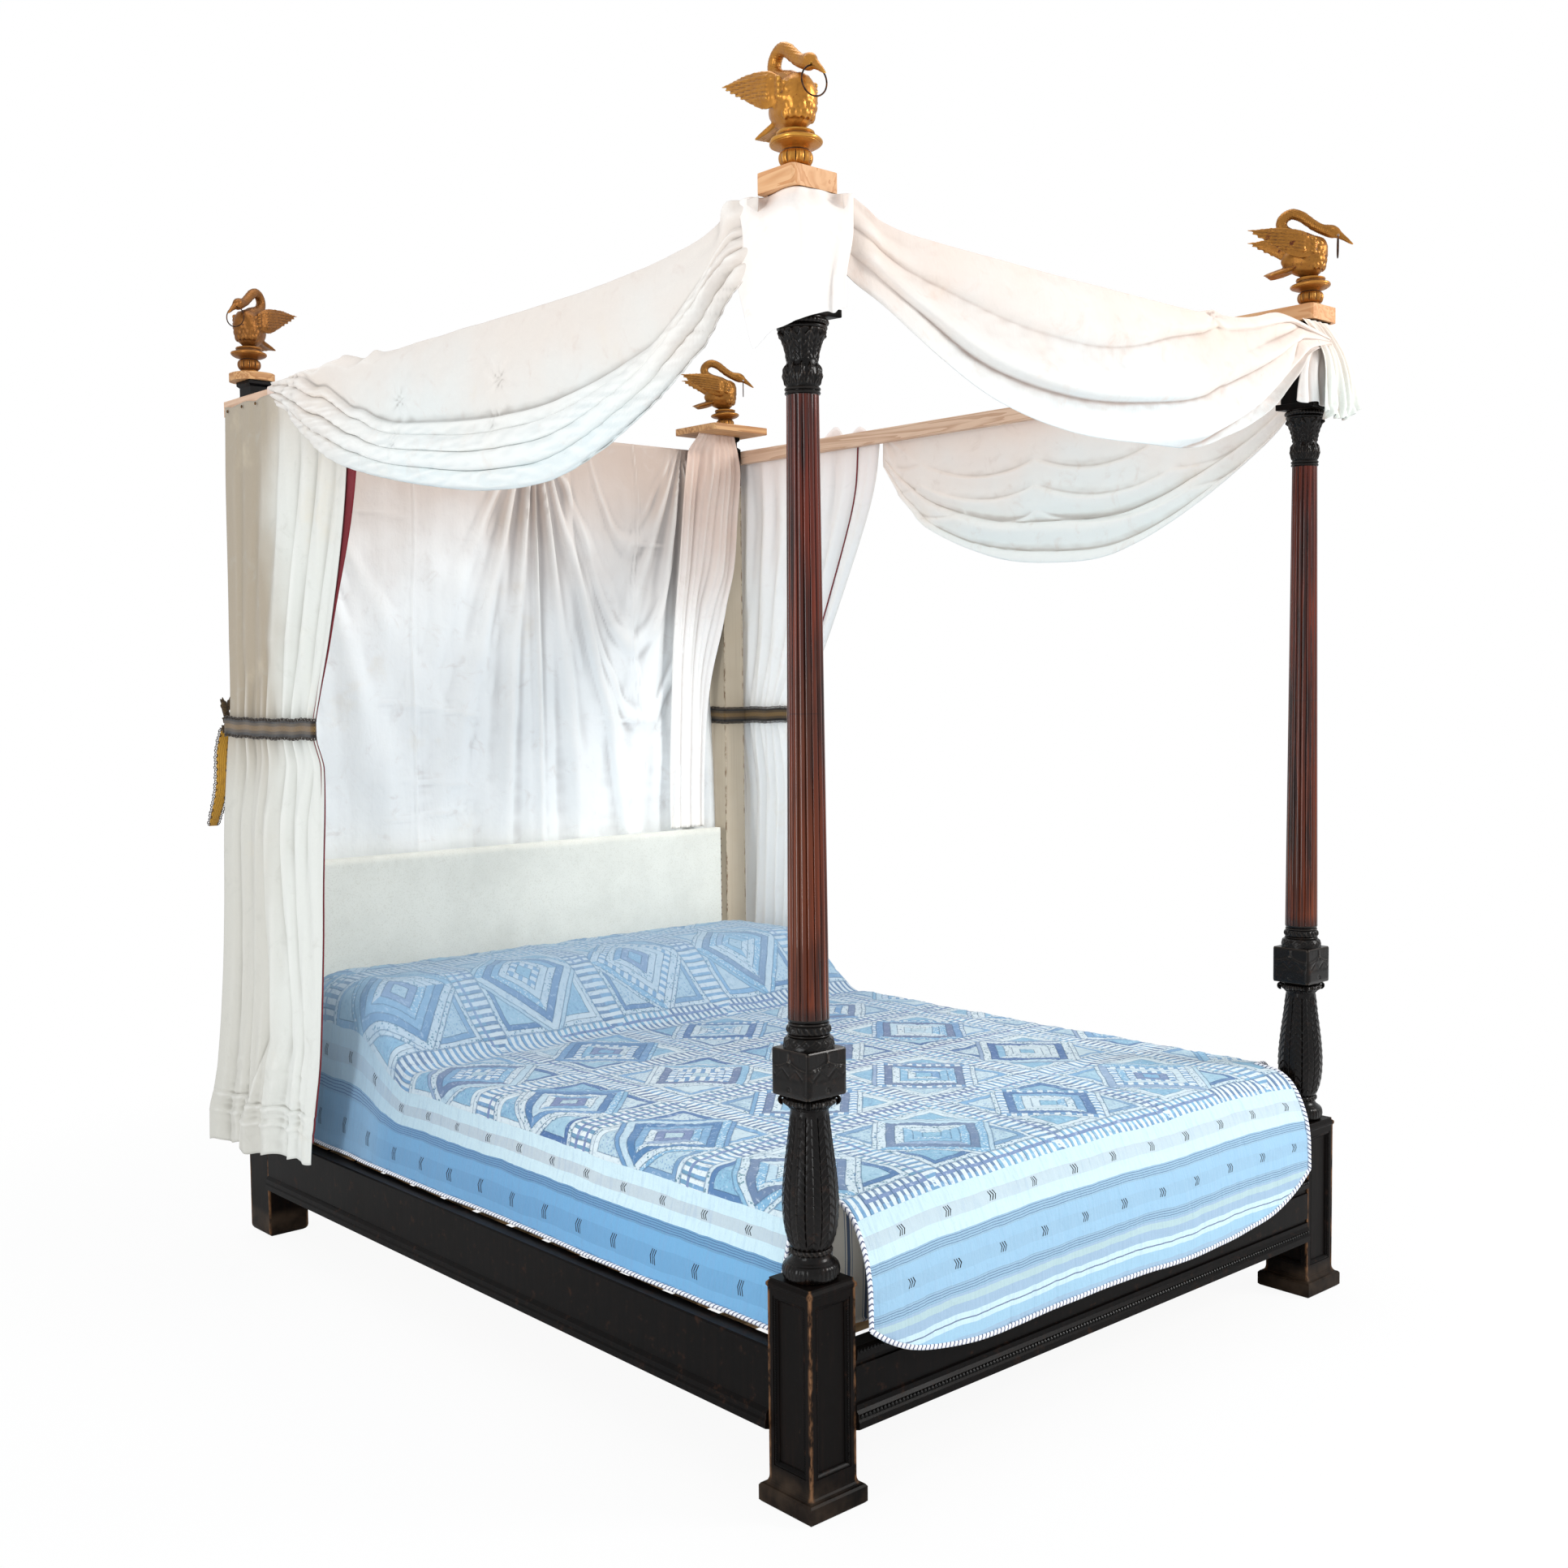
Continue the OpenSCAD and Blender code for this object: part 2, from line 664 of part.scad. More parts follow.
// Section of a rail, outer face towards +X: flat field, stepped foot moulding, small top bead.
function rail_section(fielded) = concat(
    [[-rail_t, 0], [0, 0], [rail_mould, 3], [rail_mould, 16], [rail_mould - 2.5, 20],
     [rail_mould - 2.5, 30], [2, 36]],
    fielded ? [[2, 46], [-3, 47], [-3, 54], [1, 55], [1, rail_h - 34], [-3, rail_h - 33],
               [-3, rail_h - 24], [3, rail_h - 22]] : [[0, 38], [0, rail_h - 12]],
    [[fielded ? 5 : 0, rail_h - 10], [fielded ? 5 : 0, rail_h - 3], [-3, rail_h], [-rail_t, rail_h]]
);

module rail_bar(length, fielded) {
    reach = bolt_l / 2;
    difference() {
        translate([0, length / 2, 0]) rotate([90, 0, 0]) linear_extrude(height = length)
            polygon(rail_section(fielded));
        for (end = [-1, 1])
            translate([-bolt_inset, end * (length / 2 + 1), bolt_z(fielded ? 1 : 0) - rail_z])
                rotate([end * 90, 0, 0]) cylinder(r = bolt_d / 2 + bolt_play, h = reach + 2);
    }
}

// Side rails carry one bolt at each end, on a line that meets the plinth inside its face.
module side_rail(side) {
    color([0.07, 0.07, 0.07]) translate([side * rail_out_x, 0, rail_z])
        mirror([side < 0 ? 1 : 0, 0, 0]) rail_bar(2 * plinth_in_y, false);
}

module foot_rail() {
    color([0.08, 0.07, 0.06]) translate([0, -rail_out_y, rail_z])
        rotate(-90) rail_bar(2 * plinth_in_x, true);
}

module head_rail() {
    half = plinth_in_x + rail_let_in - rail_fit;
    color([0.08, 0.07, 0.06]) translate([-half, headboard_back_y, rail_z])
        cube([2 * half, rail_t, rail_h]);
}

module slats() {
    half = rail_in_x - 1;
    pitch = (mattress_l - 120) / (slat_count - 1);
    color([0.80, 0.66, 0.46])
        for (k = [0 : slat_count - 1])
            translate([-half, -(mattress_l - 120) / 2 + k * pitch - slat_w / 2, ledger_top_z])
                cube([2 * half, slat_w, slat_t]);
}

module slat_ledgers() {
    color([0.74, 0.60, 0.42])
        for (side = [-1, 1])
            translate([side < 0 ? -rail_in_x : rail_in_x - ledger_s, -plinth_in_y + 1,
                       ledger_top_z - ledger_s])
                cube([ledger_s, 2 * (plinth_in_y - 1), ledger_s]);
}

// Plain bolts bridge each leg and rail; they lie wholly inside the wood.
module rail_bolts() {
    color([0.45, 0.45, 0.47]) {
        for (sx = [-1, 1], sy = [-1, 1])
            translate([sx * (rail_out_x - bolt_inset), sy * plinth_in_y, bolt_z(0)])
                rotate([90, 0, 0]) cylinder(d = bolt_d, h = bolt_l, center = true);
        for (sx = [-1, 1])
            translate([sx * plinth_in_x, -(rail_out_y - bolt_inset), bolt_z(1)])
                rotate([0, 90, 0]) cylinder(d = bolt_d, h = bolt_l, center = true);
    }
}

// ---------------------------------------------------------------- bedding

module headboard() {
    height = headboard_top_z - headboard_low_z;
    color([0.90, 0.88, 0.80]) translate([0, plinth_in_y + headboard_t, headboard_low_z])
        rotate([90, 0, 0]) linear_extrude(height = headboard_t)
            translate([0, height / 2]) polygon(rounded_rect(headboard_w, height, 8, 4));
}

module headboard_nails() {
    low = mattress_top_z + 30;
    count = floor((headboard_top_z - 20 - low) / nail_pitch);
    color([0.30, 0.24, 0.16])
        for (side = [-1, 1], k = [0 : count])
            translate([side * headboard_w / 2, plinth_in_y + headboard_t / 2, low + k * nail_pitch])
                rotate([0, side * 90, 0]) cylinder(d = nail_d, h = 3, $fn = 24);
}

module mattress() {
    color([0.92, 0.91, 0.88]) translate([0, 0, slat_top_z]) linear_extrude(height = mattress_h)
        polygon(rounded_rect(mattress_w, mattress_l, mattress_corner_r, 6));
}

pillow_x = (pillow_w + pillow_gap) / 2;
pillow_y = mattress_l / 2 - pillow_d / 2 - 8;

module pillows() {
    color([0.93, 0.92, 0.90])
        for (side = [-1, 1])
            translate([side * pillow_x, pillow_y, mattress_top_z + cloth_gap])
                skin([for (ring = pillow_rings)
                    [for (i = [0 : 19]) let (a = -18 * i)
                        [pillow_w / 2 * ring[1] * sign_pow(cos(a), 0.55),
                         pillow_d / 2 * ring[1] * sign_pow(sin(a), 0.55), pillow_h * ring[0]]]]);
}

// Shares of a pillow's height and of its plan size.
pillow_rings = [[0, 0.72], [0.1, 0.92], [0.3, 1], [0.55, 0.93], [0.8, 0.72], [0.95, 0.44], [1, 0.18]];

function sign_pow(v, e) = sign(v) * pow(abs(v), e);

// Height of the quilt's upper face over the bed, with its rise over the two pillows.
function quilt_lie(x, y) =
    let (rise = pillow_h - 4,
         over = function(side) let (dx = abs(x - side * pillow_x) / (pillow_w / 2 + 58))
             1 - ease(0.72, 1.2, dx),
         lump = max(over(-1), over(1)),
         along = ease(pillow_y - pillow_d / 2 - 190, pillow_y - pillow_d / 2 + 90, y)
             * (1 - 0.25 * ease(pillow_y + pillow_d / 4, pillow_y + pillow_d / 2, y)))
        mattress_top_z + cloth_gap + quilt_t
            + rise * along * (0.86 + 0.14 * lump) + 5 * cos(x / 3.1) * cos(y / 3.7) + 5;

// Rows run from head to foot over the bed, then down the foot; columns run from the left hem
// up over the bed and down to the right hem. Each drop is a list of [out, down] steps.
quilt_side_steps = [[34, 3], [48, 16], [58, 70], [78, 160]];
quilt_foot_steps = [[34, 3], [72, 14], [104, 48], [132, 118], [146, 200]];
quilt_cols = 12;
quilt_rows = 13;

function quilt_point(i, j, side_n, foot_n, depth) =
    let (edge_x = mattress_w / 2 - 26, head_y = mattress_l / 2 - 4, foot_y = -mattress_l / 2 + 18,
         flat_j = min(max(j, side_n), side_n + quilt_cols),
         flat_i = min(i, quilt_rows),
         sag = i < 3 ? 0.86 : 1,
         half = edge_x + (i > quilt_rows ? -2 : 0),
         x0 = lerp(-half, half, (flat_j - side_n) / quilt_cols),
         y0 = lerp(head_y, foot_y, flat_i / quilt_rows),
         z0 = quilt_lie(x0, y0),
         a = j < side_n ? side_n - j : (j > side_n + quilt_cols ? j - side_n - quilt_cols : 0),
         b = max(0, i - quilt_rows),
         side = j < side_n ? -1 : 1,
         side_low = rail_top_z + cloth_gap + 0.35 * depth,
         side_drop = a == 0 ? [0, 0] : a == side_n
             ? [rail_in_x + 22 - edge_x, z0 - side_low]
             : [quilt_side_steps[a - 1][0],
                quilt_side_steps[a - 1][1] * sag + (z0 - quilt_lie(x0, 0)) * a / side_n],
         corner = pow(abs(x0) / half, 6),
         foot_low = quilt_foot_hem_z + quilt_hem_rise * corner,
         foot_drop = b == 0 ? [0, 0] : b == foot_n
             ? [rail_out_y + rail_mould + cloth_gap + quilt_t + foot_y, z0 - foot_low]
             : [quilt_foot_steps[b - 1][0], quilt_foot_steps[b - 1][1] * lerp(1, 0.72, corner)],
         wave = a > 1 ? 4 * (a - 1) * (0.5 + 0.5 * sin(y0 * 0.9)) : 0,
         ripple = b > 1 ? 3 * (b - 1) * (0.5 - 0.5 * cos(90 * (flat_j - side_n))) : 0,
         up = depth * (a + b > 0 ? 0.35 : 1),
         inward = depth * (a > 0 ? 0.94 : 0),
         back = depth * (b > 0 ? 0.94 : 0))
        [x0 + side * (side_drop[0] + wave - inward), y0 - foot_drop[0] - ripple + back,
         z0 - side_drop[1] - foot_drop[1] - up];

module quilt() {
    side_n = len(quilt_side_steps) + 1;
    foot_n = len(quilt_foot_steps) + 1;
    grid = function(depth) [for (i = [0 : quilt_rows + foot_n])
        [for (j = [0 : quilt_cols + 2 * side_n]) quilt_point(i, j, side_n, foot_n, depth)]];
    color([0.45, 0.62, 0.82])
        sheet(grid(0), grid(quilt_t),
              function(i, j) i < quilt_rows || (j >= side_n && j < side_n + quilt_cols));
}

// ---------------------------------------------------------------- hangings

// A swag on one side of the tester: seen from outside, s runs 0 to 1 from left to right.
// top and drop are [s, height] and [s, depth] lists; lift is how far it stands off at each s.
function swag_point(s, t, x0, x1, top, drop, lift, depth) =
    let (full = sin(180 * clamp01(s)),
         wave = 0.5 - 0.5 * cos(360 * swag_folds * pow(t, 0.85)),
         belly = 14 * sin(150 * t) * pow(full, 0.7))
        [lerp(x0, x1, s),
         -(lookup(s, lift) + belly + swag_fold * wave * t * (0.55 + 0.45 * full)) + depth,
         lookup(s, top) - t * lookup(s, drop)];

module swag(x0, x1, top, drop, lift, cols = 18, rows = 12) {
    grid = function(depth) [for (t = steps(rows))
        [for (s = steps(cols)) swag_point(s, t, x0, x1, top, drop, lift, depth)]];
    sheet(grid(0), grid(cloth_t));
}

swag_off = cloth_gap + cloth_t;
foot_swag_half = post_x - 30;
side_swag_end = post_y - 30;
swag_low_top = board_z - 8;

// Turned so that a swag drawn facing -Y faces -X.
module left_swag() {
    top = [[0, tester_top_z], [0.1, tester_top_z + 2], [0.86, tester_top_z], [1, swag_low_top]];
    drop = swag_drops(left_swag_drop, [[0, 0.19], [0.15, 0.65], [0.37, 0.91], [0.54, 1],
                                       [0.68, 0.985], [0.84, 0.75], [0.95, 0.585], [1, 0.457]]);
    lift = [[0, 45], [0.18, 45], [0.34, swag_off], [1, swag_off]];
    color([0.95, 0.93, 0.90]) translate([-tester_out_x, 0, 0]) rotate(-90)
        swag(left_swag_short - post_y, side_swag_end, top, drop, lift);
}

module right_swag() {
    top = [[0, swag_low_top], [0.16, tester_top_z], [0.9, tester_top_z + 2], [1, tester_top_z]];
    drop = swag_drops(right_swag_drop, [[0, 0.37], [0.06, 0.5], [0.2, 0.736], [0.4, 0.972],
                                        [0.56, 1], [0.72, 0.94], [0.88, 0.706], [1, 0.347]]);
    lift = [[0, swag_off], [1, swag_off]];
    color([0.95, 0.93, 0.90]) translate([tester_out_x, 0, 0]) rotate(90)
        swag(-side_swag_end, post_y - right_swag_short, top, drop, lift);
}

module foot_swag() {
    top = [[0, swag_low_top], [0.1, tester_top_z + 34], [0.3, tester_top_z + 24],
           [0.62, tester_top_z + 16], [0.86, tester_top_z + 38], [1, tester_top_z + 47]];
    drop = swag_drops(foot_swag_drop, [[0, 0.55], [0.1, 0.65], [0.22, 0.873], [0.39, 1],
                                       [0.58, 0.962], [0.78, 0.822], [1, 0.565]]);
    lift = [[0, swag_off], [1, swag_off]];
    color([0.95, 0.93, 0.90]) translate([0, -tester_out_y, 0])
        swag(-foot_swag_half, foot_swag_half, top, drop, lift);
}

// Depths along a swag from shares of its greatest depth.
function swag_drops(deepest, shares) = [for (p = shares) [p[0], p[1] * deepest]];

// Front edge of a side curtain: [height, distance from the bed's middle]. It stands still
// behind the tie-back; below it are shares of the height up to the tie-back, and above it
// shares of the height from there to the battens. Distances are shares of the post's.
function front_edge(below, at_tie, above) = concat(
    [for (p = below) [tieback_low_z * p[0], post_y * p[1]]],
    [[tieback_low_z, post_y * at_tie], [tieback_high_z, post_y * at_tie]],
    [for (p = above) [lerp(tieback_high_z, tester_top_z, p[0]), post_y * p[1]]]
);
tieback_low_z = tieback_z - tieback_w / 2 - 6;
tieback_high_z = tieback_z + tieback_w / 2 + 6;
left_front = front_edge([[0.15, 0.715], [0.404, 0.682], [0.711, 0.689]], 0.652,
                        [[0.255, 0.562], [0.545, 0.472], [0.764, 0.482], [1, 0.529]]);
right_front = front_edge([[0.15, 0.765], [0.711, 0.755]], 0.745,
                         [[0.335, 0.586], [0.57, 0.499], [0.954, 0.381], [1, 0.378]]);
curtain_rows = concat(
    [for (t = [1, 0.85, 0.618, 0.376, 0.158, 0]) lerp(tieback_high_z, tester_top_z, t)],
    [for (t = [1, 0.79, 0.526, 0.243, 0]) lerp(curtain_hem_z, tieback_low_z, t)]
);
curtain_back_y = post_y + head_post_w / 2 - 6;

// A side curtain facing -X: folds gather where the front edge is drawn back.
function curtain_point(s, z, front, depth) =
    let (near_tie = 1 - ease(60, 420, abs(z - tieback_z)),
         pinch = ease(0, 160, tester_top_z - z),
         amount = curtain_fold * pinch * lerp(1, 0.6, near_tie) * ease(-0.05, 0.3, s),
         fallen = ease(0, tieback_z - curtain_hem_z, tieback_z - z),
         fold = 0.5 - 0.5 * cos(360 * (curtain_folds * pow(s, 0.9))))
        [-(cloth_gap + cloth_t + amount * fold + curtain_flare * fallen) + depth,
         lerp(curtain_back_y + curtain_sweep * fallen, lookup(z, front), s),
         z + (z == curtain_hem_z ? 8 * sin(360 * s) : 0)];

module curtain(front, cols = 22) {
    grid = function(depth) [for (z = curtain_rows)
        [for (s = steps(cols)) curtain_point(s, z, front, depth)]];
    sheet(grid(0), grid(cloth_t));
}

module left_curtain() {
    color([0.93, 0.91, 0.88]) translate([-tester_out_x, 0, 0]) curtain(left_front);
}

module right_curtain() {
    color([0.93, 0.91, 0.88]) mirror([1, 0, 0]) translate([-tester_out_x, 0, 0]) curtain(right_front);
}

// The back curtain hangs between the head posts and goes down behind the headboard.
function back_point(s, t, half, depth) =
    let (z = lerp(tester_top_z, headboard_top_z - 90, t),
         clear_y = headboard_back_y + cloth_gap + 2,
         top_y = tester_in_y - cloth_gap - cloth_t,
         room = min(back_fold, top_y - clear_y - 2),
         fold = 0.5 + 0.5 * cos(360 * back_folds * pow(s, 1.15)),
         y = lerp(top_y, lerp(top_y, clear_y, room / (top_y - clear_y)), ease(0, 0.12, t) * (1 - fold)))
        [lerp(-half, half, s), y + depth, z];

module back_curtain(cols = 28, rows = 6) {
    half = post_x - head_post_w / 2 - 4;
    grid = function(depth) [for (t = steps(rows))
        [for (s = steps(cols)) back_point(s, t, half, depth)]];
    color([0.92, 0.90, 0.88]) sheet(grid(0), grid(cloth_t));
}

// Cloth carried round the outer corner of a foot post's top block. s runs round the corner and
// t down; the corner faces -Y before it is turned to its post. It leaves the block just under
// the board, passes the ends of the tester battens and fans out by its hem.
function tail_point(s, t, top_z, length, fan, folds, depth) =
    let (u = lerp(-1, 1, s),
         half = 0.775 * top_block_w * (1 + 0.006 * fan * t),
         block_corner = top_block_w / sqrt(2),
         batten_corner = block_corner + tester_t * sqrt(2),
         z = top_z - length(u) * t,
         near = block_corner + cloth_t + 1,
         clear = batten_corner + cloth_t + 1.5,
         corner = lerp(near, clear, ease(top_z, tester_top_z + 8, z))
             + fan * ease(tester_top_z, top_z - length(u), z),
         fold = (0.5 - 0.5 * cos(360 * folds * s)) * (3 + 0.3 * fan * t) * ease(0, 0.3, t))
        [u * half, -(corner - abs(u) * half * (1 - 0.12 * t) + fold) + depth, z];

module tail(top_z, length, fan, folds) {
    grid = function(depth) [for (t = steps(6))
        [for (s = steps(12)) tail_point(s, t, top_z, length, fan, folds, depth)]];
    sheet(grid(0), grid(cloth_t));
}

module foot_left_tail() {
    color([0.95, 0.92, 0.88]) at_post(posts[0]) rotate(-45)
        tail(boards[0][5] - cloth_gap, function(u) left_tail_l + 24 * (1 - abs(u + 0.7)), 6, 3);
}

module foot_right_tail() {
    color([0.95, 0.92, 0.88]) at_post(posts[1]) rotate(45)
        tail(boards[1][5] - cloth_gap, function(u) right_tail_l - 20 * u, 34, 4);
}

// Loose end of the hangings thrown over the right head board, hanging before its post.
module head_right_drape() {
    front_y = post_y - head_post_w / 2 - cloth_gap - cloth_t;
    outer_x = post_x - 44;
    inner_x = outer_x - drape_w;
    top_z = boards[3][5] - cloth_gap;
    point = function(s, t, depth) let (
            inner = lerp(inner_x - 44, inner_x, ease(0.35, 1, t)),
            outer = lerp(outer_x + 16, outer_x, t),
            fold = 9 * (0.5 - 0.5 * cos(360 * 3 * s)))
        [lerp(inner, outer, s), front_y - fold + depth, lerp(top_z, drape_low_z, t) + 40 * (1 - s) * t];
    grid = function(depth) [for (t = steps(6)) [for (s = steps(8)) point(s, t, depth)]];
    color([0.93, 0.90, 0.86]) sheet(grid(0), grid(cloth_t));
}

// Braid looped round each side curtain and its post, with a knot behind and one hanging tail.
module tieback(side, front_y) {
    back_y = curtain_back_y + 0.8;
    out_x = tester_out_x + 0.62 * curtain_fold + cloth_t + 6;
    in_x = post_x + head_post_w / 2 + cloth_gap + tieback_t;
    w = out_x - in_x;
    l = back_y - front_y;
    translate([side * (in_x + w / 2), front_y + l / 2, tieback_z - tieback_w / 2]) {
        linear_extrude(height = tieback_w) difference() {
            polygon(rounded_rect(w + 2 * tieback_t, l + 2 * tieback_t, 8 + tieback_t, 5));
            polygon(rounded_rect(w, l, 8, 5));
        }
        translate([side * (w / 2 - 20), l / 2 + tieback_t - 1, 0]) {
            translate([-19, 15, -tieback_tail_l]) cube([38, tieback_t, tieback_tail_l + 20]);
            translate([-21, 0, -6]) cube([42, 16, 72]);
        }
    }
}

module tiebacks() {
    color([0.22, 0.16, 0.11]) {
        tieback(-1, lookup(tieback_z, left_front) - tieback_slack);
        tieback(1, lookup(tieback_z, right_front) - tieback_slack);
    }
}

// ---------------------------------------------------------------- nodes

for (k = [0, 1]) {
    p = posts[k];
    plinth(p);
    vase(p);
    block(p);
    column(p);
    capital(p);
    top_block(k);
}
for (k = [2, 3]) {
    p = posts[k];
    head_leg(p);
    head_post(p);
    head_capital(k);
}
for (k = [0 : 3]) {
    p = posts[k];
    board(k);
    pedestal(k);
    swan(k);
    beak_ring(k);
}
tester_batten_side(-1);  // tester_batten_left
tester_batten_side(1);  // tester_batten_right
tester_batten_end(-1);  // tester_batten_foot
tester_batten_end(1);  // tester_batten_head
side_rail(-1);  // side_rail_left
side_rail(1);  // side_rail_right
foot_rail();
head_rail();
slats();
slat_ledgers();
rail_bolts();
headboard();
headboard_nails();
mattress();
pillows();
quilt();
back_curtain();
left_curtain();
right_curtain();
left_swag();
right_swag();
foot_swag();
foot_left_tail();
foot_right_tail();
head_right_drape();
tiebacks();
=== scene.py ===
import math

import bmesh
import bpy
from mathutils import Matrix, Vector, noise


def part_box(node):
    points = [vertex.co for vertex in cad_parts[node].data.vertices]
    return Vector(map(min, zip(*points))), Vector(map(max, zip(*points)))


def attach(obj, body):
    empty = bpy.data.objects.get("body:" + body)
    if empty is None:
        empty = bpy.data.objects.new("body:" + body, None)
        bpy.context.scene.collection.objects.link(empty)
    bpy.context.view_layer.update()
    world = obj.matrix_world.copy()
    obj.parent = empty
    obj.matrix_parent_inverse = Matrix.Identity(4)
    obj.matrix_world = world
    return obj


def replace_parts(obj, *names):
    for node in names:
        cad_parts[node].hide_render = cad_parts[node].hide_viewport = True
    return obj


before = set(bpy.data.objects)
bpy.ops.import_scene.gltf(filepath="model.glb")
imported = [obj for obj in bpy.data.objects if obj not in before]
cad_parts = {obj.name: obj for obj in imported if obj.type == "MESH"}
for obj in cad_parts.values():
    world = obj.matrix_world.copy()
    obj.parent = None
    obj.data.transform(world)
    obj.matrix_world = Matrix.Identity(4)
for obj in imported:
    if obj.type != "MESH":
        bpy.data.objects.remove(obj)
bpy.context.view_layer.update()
scene = bpy.context.scene
scene.view_settings.view_transform = "Standard"
TURN = 2 * math.pi


def edge(node, axis, end):
    """One face of a part's box: axis 0, 1 or 2, end 0 for its low side and 1 for its high side."""
    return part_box(node)[end][axis]


def middle(node):
    low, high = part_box(node)
    return (low + high) / 2


# Places shared by many pieces.
FOOT = {"foot_left": middle("foot_left_plinth"), "foot_right": middle("foot_right_plinth")}
HEAD = {"head_left": middle("head_left_leg"), "head_right": middle("head_right_leg")}
POSTS = {**FOOT, **HEAD}
POST_X, POST_Y = FOOT["foot_right"].x, HEAD["head_right"].y
PLINTH_TOP = edge("foot_left_plinth", 2, 1)
BATTEN_TOP = edge("tester_batten_left", 2, 1)
BATTEN_OUT_X = edge("tester_batten_right", 0, 1)
BATTEN_OUT_Y = -edge("tester_batten_foot", 1, 0)
MATTRESS_LOW, MATTRESS_TOP = edge("mattress", 2, 0), edge("mattress", 2, 1)
MATTRESS_X, MATTRESS_Y = edge("mattress", 0, 1), edge("mattress", 1, 1)


def lerp(a, b, t):
    return a + (b - a) * t


def clamp(value, low=0.0, high=1.0):
    return max(low, min(high, value))


def ease(low, high, value):
    t = clamp((value - low) / (high - low))
    return t * t * (3 - 2 * t)


def ridge(value, width):
    """A rounded ridge, 1 on the line and 0 beyond its width."""
    return max(0.0, 1 - (value / width) ** 2) ** 2


def along(table, at):
    """Value at a place in a table of (place, value...) rows, with smooth bends between the rows."""
    if at <= table[0][0]:
        return list(table[0][1:])
    if at >= table[-1][0]:
        return list(table[-1][1:])
    k = next(i for i in range(len(table) - 1) if at <= table[i + 1][0])
    a, b = table[k], table[k + 1]
    before, after = table[max(0, k - 1)], table[min(len(table) - 1, k + 2)]
    h = b[0] - a[0]
    t = (at - a[0]) / h
    out = []
    for n in range(1, len(a)):
        m0 = (b[n] - before[n]) / (b[0] - before[0]) * h
        m1 = (after[n] - a[n]) / (after[0] - a[0]) * h
        out.append((2 * t**3 - 3 * t**2 + 1) * a[n] + (t**3 - 2 * t**2 + t) * m0
                   + (3 * t**2 - 2 * t**3) * b[n] + (t**3 - t**2) * m1)
    return out


def ripple(x, y, z, size, seed=0.0):
    """Smooth unevenness from -1 to 1 whose lumps are about size metres across."""
    return noise.noise(Vector((x / size + seed * 7.3, y / size - seed * 3.1, z / size + seed * 1.7)))


# ---------------------------------------------------------------- camera and light

def look(azimuth, pitch, roll):
    """Camera rotation from its heading, downward pitch and roll."""
    a, p = math.radians(azimuth), math.radians(pitch)
    ahead = Vector((-math.sin(a) * math.cos(p), math.cos(a) * math.cos(p), -math.sin(p)))
    right = ahead.cross(Vector((0, 0, 1))).normalized()
    up = right.cross(ahead)
    turned_right = math.cos(roll) * right + math.sin(roll) * up
    turned_up = math.cos(roll) * up - math.sin(roll) * right
    return Matrix((turned_right, turned_up, -ahead)).transposed().to_4x4()


camera_data = bpy.data.cameras.new("camera")
camera_data.lens, camera_data.sensor_width = 39.23, 36
camera_data.clip_end = 60
camera = bpy.data.objects.new("camera", camera_data)
camera.matrix_world = Matrix.Translation((-2.8175, -3.2452, 1.4628)) @ look(-41.95, 3.39, -0.0104)
scene.collection.objects.link(camera)
scene.camera = camera


def soft_lamp(name, place, aim, size, power, color=(1, 1, 1), tall=None):
    data = bpy.data.lights.new(name, "AREA")
    data.shape, data.size, data.energy, data.color = "DISK", size, power, color
    if tall:
        data.shape, data.size_y = "RECTANGLE", tall
    lamp = bpy.data.objects.new(name, data)
    lamp.location = place
    lamp.rotation_euler = (Vector(aim) - Vector(place)).to_track_quat("-Z", "Y").to_euler()
    scene.collection.objects.link(lamp)


soft_lamp("key_lamp", (3.6, -5.2, 3.9), (0, 0, 1.2), 2.0, 225, (1, 0.985, 0.965))
soft_lamp("side_lamp", (-5.6, -1.5, 1.75), (0, 0.2, 1.25), 0.9, 95, (0.96, 0.985, 1), tall=2.9)
soft_lamp("top_lamp", (0.3, 0.2, 5.6), (0, 0, 1.0), 3.0, 45)


# ---------------------------------------------------------------- finishes

def paint(red, green, blue):
    """A colour given in everyday 0 to 255 numbers, as the shader wants it."""
    def linear(c):
        c /= 255
        return c / 12.92 if c <= 0.04045 else ((c + 0.055) / 1.055) ** 2.4
    return (linear(red), linear(green), linear(blue), 1)


SHADER_WORDS = {"metallic": "Metallic", "coat_weight": "Coat Weight", "coat_roughness": "Coat Roughness",
                "specular": "Specular IOR Level", "sheen": "Sheen Weight"}


class Value:
    """A socket of a finish, used in sums."""

    def __init__(self, finish, socket):
        self.finish, self.socket = finish, socket

    def math(self, operation, *values):
        return self.finish.node("Math", {"operation": operation}, values)

    def __add__(self, other): return self.math("ADD", self, other)
    def __radd__(self, other): return self.math("ADD", other, self)
    def __sub__(self, other): return self.math("SUBTRACT", self, other)
    def __rsub__(self, other): return self.math("SUBTRACT", other, self)
    def __mul__(self, other): return self.math("MULTIPLY", self, other)
    def __rmul__(self, other): return self.math("MULTIPLY", other, self)
    def __truediv__(self, other): return self.math("DIVIDE", self, other)
    def __gt__(self, other): return self.math("GREATER_THAN", self, other)
    def __lt__(self, other): return self.math("LESS_THAN", self, other)
    def __abs__(self): return self.math("ABSOLUTE", self)


